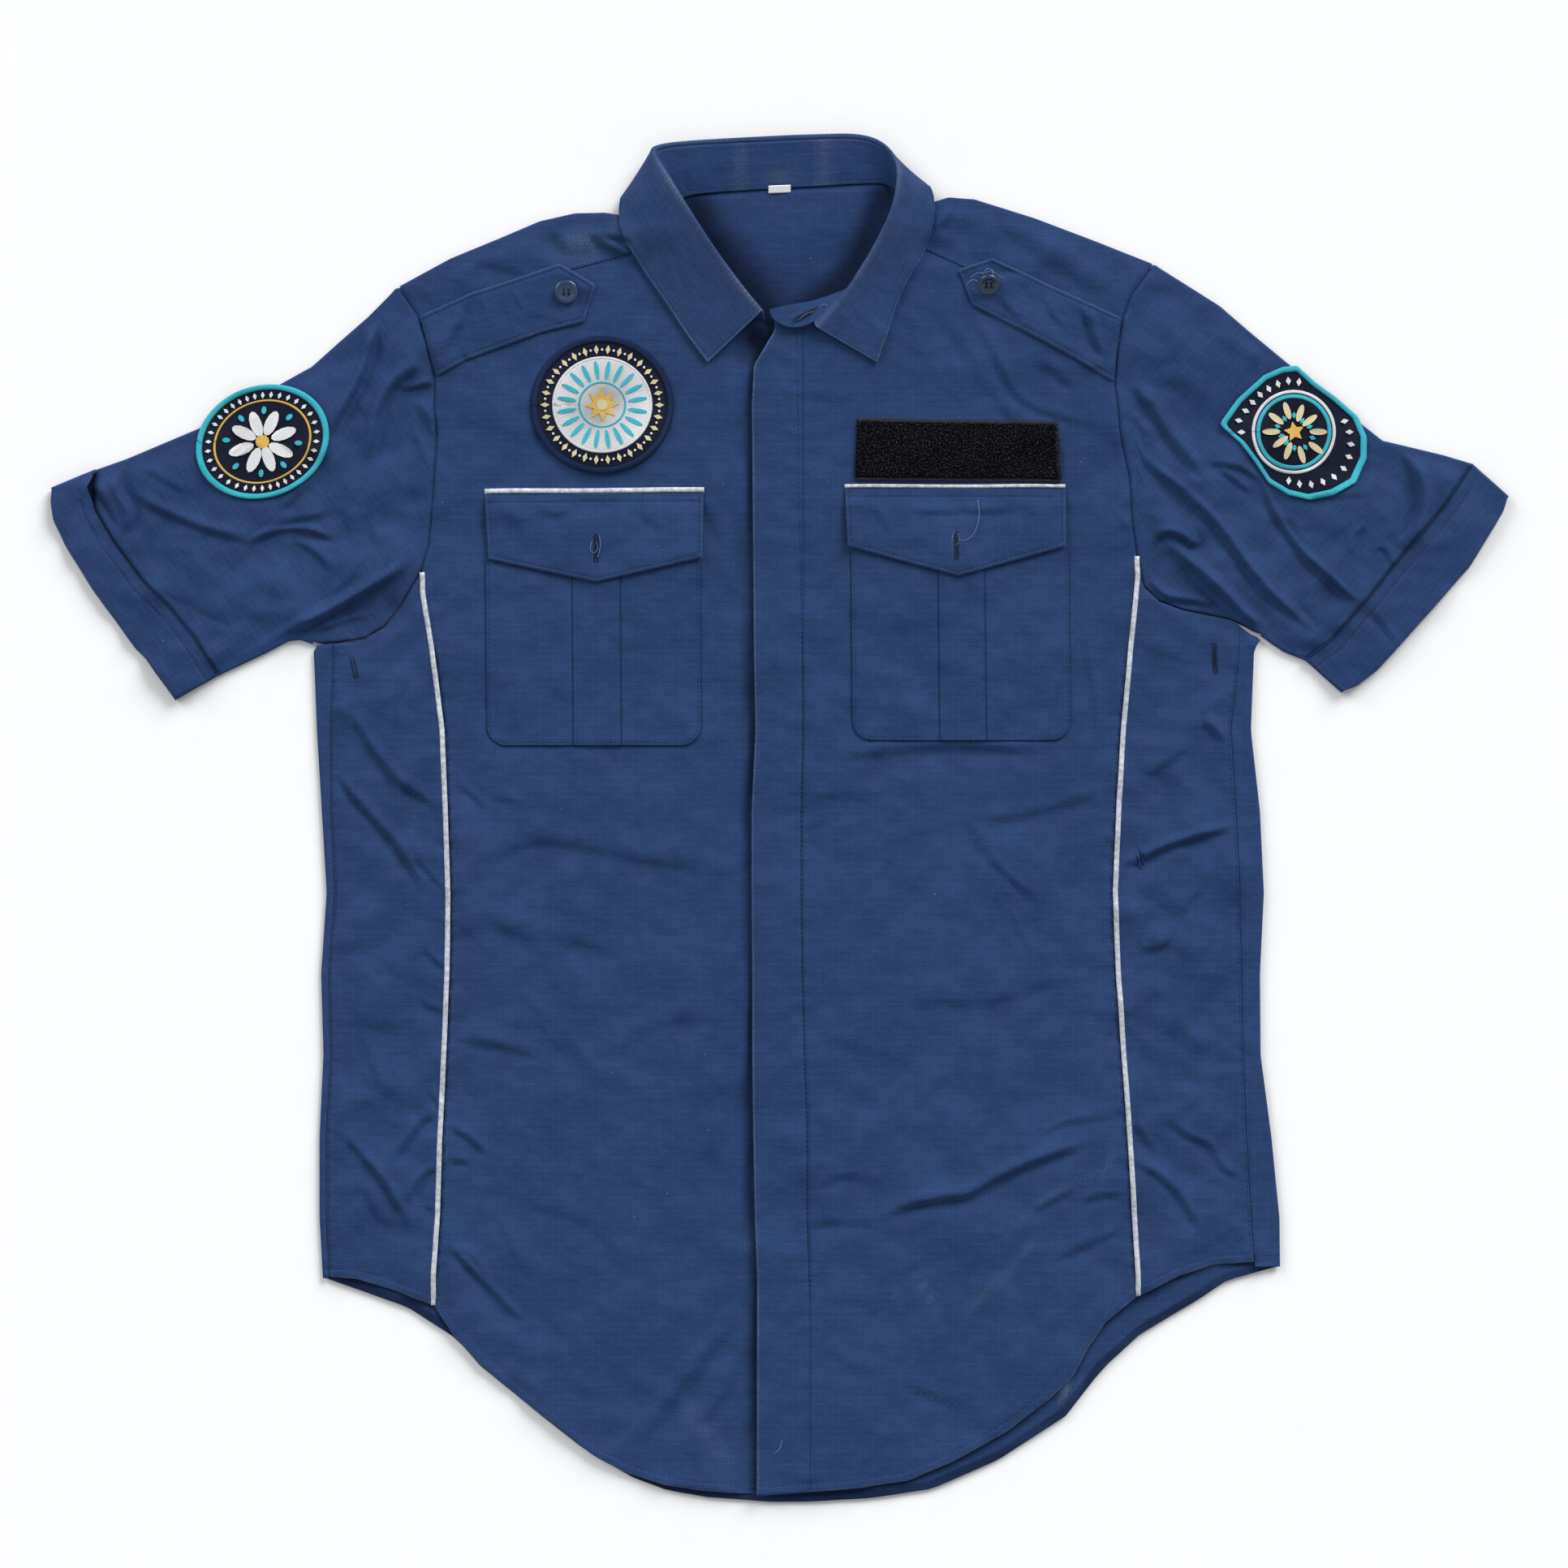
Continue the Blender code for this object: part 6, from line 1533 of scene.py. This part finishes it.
CHEST, OVAL, SHIELD_MIDDLE = (-109.0, 253.8), (-317.8, 231.2), (316.2, 237.2)
PATCHES = (
    # node, centre, outline, edge thread and its inner share, cut, area,
    # bands: thread, from share, to share, rise; shapes: thread, count, share, corners, half length and
    # width, inner reach, first turn
    ("chest_patch", CHEST, oval(*CHEST, 44.0, 42.5, 0.0), navy_thread, 0.905, (0.088, 0.085), 0.0058,
     ((white, 0.0, 0.70, 0.3), (white, 0.66, 0.70, 0.6), (turquoise, 0.30, 0.34, 0.5)),
     ((cream, 30, 0.80, 2, 2.9, 1.5, 1.0, 0.0), (turquoise, 20, 0.50, 6, 6.0, 1.35, 1.0, 9.0),
      (gold, 1, 0.0, 8, 10.5, 10.5, 0.52, 4.0), (cream, 1, 0.0, 6, 3.4, 3.4, 1.0, 0.0),
      (white, 30, 0.80, 2, 0.9, 0.9, 1.0, 6.0))),
    ("sleeve_patch_right", OVAL, oval(*OVAL, 42.0, 34.5, 20.0), turquoise, 0.905, (0.084, 0.069), 0.0045,
     ((gold, 0.70, 0.735, 0.6),),
     ((white, 8, 0.33, 6, 8.2, 3.6, 1.0, 20.0), (gold, 1, 0.0, 6, 4.2, 4.2, 1.0, 0.0),
      (turquoise, 8, 0.55, 6, 2.4, 1.5, 1.0, 42.5), (white, 36, 0.815, 2, 2.1, 1.2, 1.0, 0.0))),
    ("sleeve_patch_left", SHIELD_MIDDLE, SHIELD, turquoise, 0.91, (0.090, 0.083), 0.0050,
     ((white, 0.575, 0.625, 0.6), (turquoise, 0.50, 0.56, 0.6)),
     ((cream, 10, 0.34, 6, 5.6, 2.0, 1.0, 0.0), (turquoise, 10, 0.25, 2, 2.2, 1.4, 1.0, 18.0),
      (gold, 1, 0.0, 5, 6.4, 6.4, 0.5, 10.0), (white, 30, 0.775, 2, 2.6, 1.6, 1.0, 0.0))),
)
for node, centre, outline, edge_thread, edge_from, cut, cut_area, bands, shapes in PATCHES:
    mesh = bmesh.new()
    round_band(mesh, centre, outline, 0.0, 0.97, 0.0, 1.0)
    cloth(mesh, node + "_twill", twill, [node], wall=1.1)
    for i, (thread, inner, outer, rise) in enumerate(((edge_thread, edge_from, 1.0, 1.1), *bands)):
        mesh = bmesh.new()
        circle = oval(*centre, 41.5, 41.5, 0.0) if i and outline is SHIELD else outline
        round_band(mesh, centre, circle, inner, outer, rise, 0.5)
        cloth(mesh, f"{node}_band_{i}", thread, [], wall=0.5)
    for i, (thread, count, share, corners, long, wide, inner, first) in enumerate(shapes):
        mesh = bmesh.new()
        for j in range(count):
            turn = (first + 360.0 * j / count + 180.0) % 360.0 - 180.0
            spot = spread(centre, outline, share, turn)
            if outline is not SHIELD or share < 0.5 or math.dist(spot, centre) > 30.0:  # clear of the ring
                motif(mesh, spot, turn, corners, long, wide, inner)
        laid_on(mesh, patch_height, 0.5 + 0.25 * (thread is cream and count == 1))
        cloth(mesh, f"{node}_shape_{i}", thread, [], wall=0.4, crisp=True)

# The size label: a short end of white woven tape sewn flat under the back neck. It is left bare.
tape_white, tree, shader = start_finish("label tape", {"Roughness": 0.7, "Specular IOR Level": 0.2})
fine = noise(tree, cloth_way(tree)[0], 4.0)
tree.links.new(mixed(tree, fine, (0.88, 0.88, 0.87, 1), (0.95, 0.95, 0.94, 1)), shader.inputs["Base Color"])
bumpy(tree, shader, fine, 0.00008, 0.4)


def label_face(u, v):
    across, down = 13.6 * u, 3.4 * v
    z = 1.6 + 1.7 * v + under(across - 6.8, 383.0 + down) + 0.25 * np.sin(5 * u)
    return across - 6.8, 384.2 + 4.4 * v + 0.6 * u, z, across, down, 0.0 * u


mesh = bmesh.new()
grid(mesh, shares(13.6, (), (), 0.8), shares(3.4, (), (), 0.4), label_face)
cloth(mesh, "size_label_tape", tape_white, ["size_label"], wall=0.35)

# The shoulder buttons: round, navy, polished plastic with a dished face, held by thread; their four holes are
# near-black discs of painted shade.
# The one on the left strap hangs half out of its hole on a long thread.
BUTTONS = (("button_right", -131.0, 323.2, 4.0, 2.2), ("button_left", 128.5, 327.2, 38.0, 6.4))
BUTTON_PROFILE = (
    (0.0, 0.45), (3.0, 0.45), (3.9, 0.55), (4.5, 0.85), (5.3, 1.12), (6.1, 1.2), (6.8, 1.05), (7.15, 0.65),
    (7.25, 0.15), (7.1, -0.35), (6.6, -0.75), (5.0, -1.1), (0.0, -1.2),
)
HOLE = 0.95
plastic, tree, shader = start_finish("navy button plastic", {
    "Roughness": 0.2, "Specular IOR Level": 0.6, "Coat Weight": 0.5, "Coat Roughness": 0.06,
})
spot = put(tree, "ShaderNodeTexCoord", {}, 3)
swirl = put(tree, "ShaderNodeTexNoise", {"Vector": spot, "Scale": 180.0, "Detail": 3.0, "Distortion": 1.2})
swirl = mixed(tree, swirl, (0.003, 0.013, 0.045, 1), (0.014, 0.048, 0.125, 1))
tree.links.new(swirl, shader.inputs["Base Color"])
scuff = ranged(tree, noise(tree, spot, 900.0), 0.3, 0.7, 0.12, 0.30)
tree.links.new(scuff, shader.inputs["Roughness"])
hole_shade = speckled("button hole shade", {"Roughness": 0.9}, 2000.0, 2.0, (0.001, 0.002, 0.006, 1),
                  (0.004, 0.007, 0.018, 1))
strand = speckled("navy sewing thread", {"Roughness": 0.55, "Specular IOR Level": 0.3}, 700.0, 2.0,
                  (0.0015, 0.005, 0.018, 1), (0.010, 0.026, 0.075, 1))
pale_strand = speckled("worn pale thread", {"Roughness": 0.7, "Specular IOR Level": 0.2}, 500.0, 2.0,
                       (0.10, 0.14, 0.26, 1), (0.42, 0.46, 0.58, 1))


def sewn(mesh, name, finish, nodes=()):
    """Hands over a mesh that is already in metres."""
    for face in mesh.faces:
        face.smooth = True
    rides(placed(mesh, name, finish), nodes)


def sew(mesh, points, pitch=3.0, long=2.4, thick=0.42):
    """Even stitches along points in millimetres, each a small lens of thread."""
    points = np.array(points, float)
    steps = np.sqrt((np.diff(points, axis=0) ** 2).sum(axis=1))
    gone = np.concatenate([[0.0], np.cumsum(steps)])
    count = max(1, round(gone[-1] / pitch))
    for i in range(count):
        a, b = ((i + 0.5) * gone[-1] / count + off for off in (-long / 2, long / 2))
        start, stop = (Vector([np.interp(at, gone, points[:, k]) for k in range(3)]) for at in (a, b))
        way = (stop - start).normalized() if (stop - start).length > 1e-6 else Vector((1.0, 0.0, 0.0))
        place = Matrix.Translation((start + stop) / 2 * MM) @ way.to_track_quat("X", "Z").to_matrix().to_4x4()
        size = Matrix.Diagonal((long / 2 * MM, thick / 2 * MM, thick / 2 * MM, 1.0))
        bmesh.ops.create_uvsphere(mesh, u_segments=5, v_segments=3, radius=1.0, matrix=place @ size)


for name, x, y, tilt, lift in BUTTONS:
    low = float(on_front(x, y)[0]) + 1.4
    place = Matrix.Translation(Vector((x, y, low + lift)) * MM) @ Matrix.Rotation(math.radians(tilt), 4, "X")
    mesh = bmesh.new()
    line = [mesh.verts.new((r * MM, 0.0, z * MM)) for r, z in BUTTON_PROFILE]
    edges = [mesh.edges.new(pair) for pair in zip(line, line[1:])]
    bmesh.ops.spin(mesh, geom=[*line, *edges], cent=(0, 0, 0), axis=(0, 0, 1), angle=2 * math.pi, steps=48,
                   use_merge=True)
    bmesh.ops.remove_doubles(mesh, verts=mesh.verts[:], dist=1e-6)
    bmesh.ops.recalc_face_normals(mesh, faces=mesh.faces[:])
    bmesh.ops.transform(mesh, matrix=place, verts=mesh.verts[:])
    sewn(mesh, name + "_disc", plastic, [name])
    # Painted shade: the four holes are near-black discs laid on the face, not cut through.
    holes, threads = bmesh.new(), bmesh.new()
    for i in (-1.5, 1.5):
        for j in (-1.5, 1.5):
            spot = place @ Matrix.Translation(Vector((i, j, 0.5)) * MM)
            bmesh.ops.create_cone(holes, cap_ends=True, segments=14, radius1=HOLE * MM, radius2=HOLE * MM,
                                  depth=0.16 * MM, matrix=spot)
        for k in (-0.25, 0.25):
            over = ((-1.7, 0.5), (-0.7, 0.95), (0.7, 0.95), (1.7, 0.5))
            sew(threads, [place @ (Vector((i + k, j, z)) * MM) / MM for j, z in over], 0.9, 1.3, 0.5)
    foot = Vector((x, y, low))
    for k in range(5):
        spread_out = Vector((0.5 * math.cos(1.3 * k), 0.5 * math.sin(1.3 * k), 0.0))
        sew(threads, [foot + spread_out, place.translation / MM + 0.5 * spread_out], 1.0, 1.5, 0.55)
    sewn(holes, name + "_holes", hole_shade)
    sewn(threads, name + "_thread", strand)

# The stitching: navy thread in small even stitches, one row along every seam, hem and edge. Each row
# lies on the upper cloth and holds the layers together.
def raised(spots, height, rise=0.12):
    x, y = spots[:, 0], spots[:, 1]
    return np.stack([x, y, height(x, y) + rise], axis=-1)


def inside(points, amount, a=0.0, b=1.0, count=160):
    """A row beside a line: positive amounts lie on its right."""
    return inset_line(points, np.linspace(a, b, count), amount)[0]


mesh = bmesh.new()
hem_row = inside(HEM_FRONT, -5.0, 0.003, 0.997, 500)
sew(mesh, raised(hem_row, lambda x, y: top(x, y) + turned_hem(x, y, HEM_FRONT)
                 + np.where(x > -14, lift_left(x), 0.0)))
sewn(mesh, "hem_stitching", strand)
mesh = bmesh.new()
y = np.linspace(-408.0, 300.0, 400)
x = side_of(placket_seam)(y)
sew(mesh, np.stack([x, y, left_height(x, y) + 0.12], axis=-1))
sewn(mesh, "placket_stitching", strand)
mesh = bmesh.new()
for line, way, low, high in ((pipe_line_r, 1.7, -298.0, 150.0), (pipe_line_l, -1.7, -292.0, 160.0)):
    y = np.linspace(low, high, 260)
    x = line(y) + way
    sew(mesh, np.stack([x, y, top(x, y)], axis=-1))
for seam, way in ((SIDE_R, 1.5), (SIDE_L, -1.5)):
    y = np.linspace(-276.0, 100.0, 220)
    x = body_line(seam)(y) + way
    sew(mesh, np.stack([x, y, top(x, y) - 0.05], axis=-1))
sewn(mesh, "side_stitching", strand)
mesh = bmesh.new()
for seam in (YOKE_SEAM_R, YOKE_SEAM_L[::-1]):
    sew(mesh, raised(inside(seam, -1.6, 0.01, 0.99), top, 0.45))
sewn(mesh, "yoke_stitching", strand)
mesh = bmesh.new()
for row in POCKETS:
    _, left, right, mouth, bottom, _, _, corner, _ = row
    bend = np.linspace(0.0, math.pi / 2, 14)
    across, down = (corner - 1.8) * np.cos(bend), (corner - 1.8) * np.sin(bend)
    first, last, low = left + corner, right - corner, bottom + corner
    x = [[left + 1.8] * 40, first - across, np.linspace(first, last, 40), last + down, [right - 1.8] * 40]
    upright = np.linspace(mouth - 14, low, 40)
    y = [upright, low - down, [bottom + 1.8] * 40, low - across, upright[::-1]]
    x, y = np.concatenate(x), np.concatenate(y)
    moved, z = pocket_height(x, y, row)
    sew(mesh, np.stack([moved, y, z + 0.1], axis=-1))
sewn(mesh, "pocket_stitching", strand)
mesh = bmesh.new()
for row in FLAPS:
    _, a, b, c, point, d = row
    for line in (inside((a, d), -2.4, 0.03, 0.93), inside((d, point, c), -2.4, 0.02, 0.98, 200),
                 inside((c, b), -2.4, 0.07, 0.97), inside((a, b), 5.0, 0.02, 0.98)):
        sew(mesh, raised(line, lambda x, y: flap_height(x, y, row)[0], 0.08))
sewn(mesh, "flap_stitching", strand)
mesh = bmesh.new()
for sides, flip in ((STRAP_R, 1.0), (STRAP_L, -1.0)):
    for key, way in (("bottom", -2.6), ("tip", -2.6), ("top", 2.6)):
        line = inside(sides[key], flip * way, 0.03, 0.97)
        sew(mesh, raised(line, lambda x, y: strap_height(x, y, sides)[0], 0.08))
sewn(mesh, "strap_stitching", strand)
mesh = bmesh.new()
u = np.linspace(0.004, 0.996, 500)
_, _, _, rx, ry, _, _, ex, ey, _ = flowing(COLLAR, u)
reach = np.hypot(ex - rx, ey - ry)
x, y, z = leaf_face(u, 0.2 + 0.8 * (1 - 1.9 / reach))[:3]
sew(mesh, np.stack([x, y, z + 0.25], axis=-1))
for at in (0.004, 0.996):
    v = np.linspace(0.3, 0.96, 60)
    x, y, z = leaf_face(at + 0 * v, v)[:3]
    sew(mesh, np.stack([x, y, z + 0.25], axis=-1))
u = np.linspace(0.05, 0.80, 400)
x, y, z = band_face(u, 0.10 + 0 * u)[:3]
sew(mesh, np.stack([x, y, z + 0.5], axis=-1))
sewn(mesh, "collar_stitching", strand)
mesh = bmesh.new()
for line, out in ((CUFF_LINE_R, 1.0), (CUFF_LINE_L, -1.0)):
    sew(mesh, raised(inside(line, out * CUFF_STITCH, 0.03, 0.97), lambda x, y: cuff_height(x, y, line)))
sewn(mesh, "cuff_stitching", strand)

# The buttonholes: two rows of close stitches on each side of a slit, worked in navy thread that has
# frayed pale where it rubs. Two short ones lie under the arms, and one across the collar tab.
def buttonhole(close, slit, x, y, turn, length, height):
    c, s = math.cos(math.radians(turn)), math.sin(math.radians(turn))

    def at(way, side):
        return x + c * way - s * side, y + s * way + c * side

    steps = int(length / 0.7)
    spots = [(-length / 2 + (i + 0.5) * length / steps, side) for i in range(steps) for side in (-1.0, 1.0)]
    spots += [(end * (length / 2 + 0.3), 0.0) for end in (-1, 1)]
    centres = np.array([at(*spot) for spot in spots])
    z = height(centres[:, 0], centres[:, 1])
    for (way, side), (px, py), high in zip(spots, centres, z):
        half = 0.75 if side else 1.7
        ends = [(px + s * half, py - c * half, high + 0.2), (px - s * half, py + c * half, high + 0.2)]
        sew(close, ends, 2 * half, 2 * half, 0.6)
    line = np.array([at(t, 0.0) for t in np.linspace(-length / 2, length / 2, 9)])
    # Painted shade: the slit is a near-black cord laid between the rows of stitches.
    sew(slit, raised(line, height, 0.25), length, length, 0.55)


def flap_top(i):
    return lambda x, y: flap_height(x, y, FLAPS[i])[0]


def tab_top(x, y):
    return 8.3 + 0.2 * (315.0 - y)


close, slit = bmesh.new(), bmesh.new()
for x, y, turn, length, height in (
    (-112.6, 165.6, 90.0, 16.5, flap_top(0)), (108.8, 167.5, 90.0, 16.5, flap_top(1)),
    (-262.2, 94.8, 103.0, 17.0, top), (267.8, 98.2, 93.0, 17.5, top), (17.0, 309.6, 26.0, 18.0, tab_top),
):
    buttonhole(close, slit, x, y, turn, length, height)
sewn(close, "buttonhole_stitches", strand)
sewn(slit, "buttonhole_slit_shade", hole_shade)


# Loose threads: ends of sewing thread, rubbed pale, that stand out of the worn buttonholes, the loose
# button and the hem.
def frayed(mesh, points, z):
    """A limp thread through points in millimetres, at the height z over the table."""
    line = rounded(points)
    sew(mesh, np.column_stack([line, z + 0.3 * np.sin(np.arange(len(line)))]), 0.8, 1.25, 0.3)


mesh = bmesh.new()
for points, z in (
    (((121.8, 195.2), (123.0, 186.2), (120.2, 174.8), (114.8, 170.2), (109.8, 170.8)), 9.3),
    (((107.5, 176.0), (105.2, 171.0), (107.8, 166.5), (111.0, 170.0), (109.5, 175.0)), 9.4),
    (((-115.2, 169.8), (-116.8, 164.8), (-113.8, 161.8), (-111.2, 165.8), (-112.8, 169.8)), 9.0),
    (((-111.0, 174.0), (-109.4, 168.0), (-111.8, 160.0)), 9.0),
    (((117.2, 331.2), (121.2, 334.8), (125.8, 333.8), (129.8, 336.2), (133.8, 332.8), (137.8, 331.2)), 13.5),
    (((114.8, 327.8), (118.8, 330.8), (122.2, 328.8), (125.0, 331.8)), 12.0),
    (((124.0, 333.0), (128.0, 338.0), (131.5, 335.0), (130.0, 331.5)), 14.0),
    (((-3.2, -391.0), (0.6, -387.5), (1.6, -382.5)), 6.8),
    (((24.0, 313.8), (28.5, 316.2), (30.0, 312.0), (26.0, 311.0)), 10.2),
    (((12.0, 306.0), (16.0, 309.5), (21.0, 311.0)), 10.4),
):
    frayed(mesh, points, z)
sewn(mesh, "loose_threads", pale_strand)

# The light: two broad soft sources beyond the collar end of the table, the stronger one on the right,
# and pale walls all round.
world = bpy.data.worlds.new("pale room")
world.use_nodes = True
world.node_tree.nodes["Background"].inputs["Color"].default_value = (0.97, 0.985, 1.0, 1.0)
world.node_tree.nodes["Background"].inputs["Strength"].default_value = 0.46
bpy.context.scene.world = world
for name, energy, toward in (
    ("right window", 3.0, (0.56, 0.84, 0.56)), ("left window", 1.45, (-0.80, 0.62, 0.52)),
):
    lamp = bpy.data.lights.new(name, "SUN")
    lamp.energy, lamp.angle, lamp.color = energy, 0.6, (1.0, 0.99, 0.98)
    held = bpy.data.objects.new(name, lamp)
    held.rotation_euler = Vector(toward).to_track_quat("Z", "Y").to_euler()
    bpy.context.scene.collection.objects.link(held)
bpy.context.scene.view_settings.view_transform = "Standard"
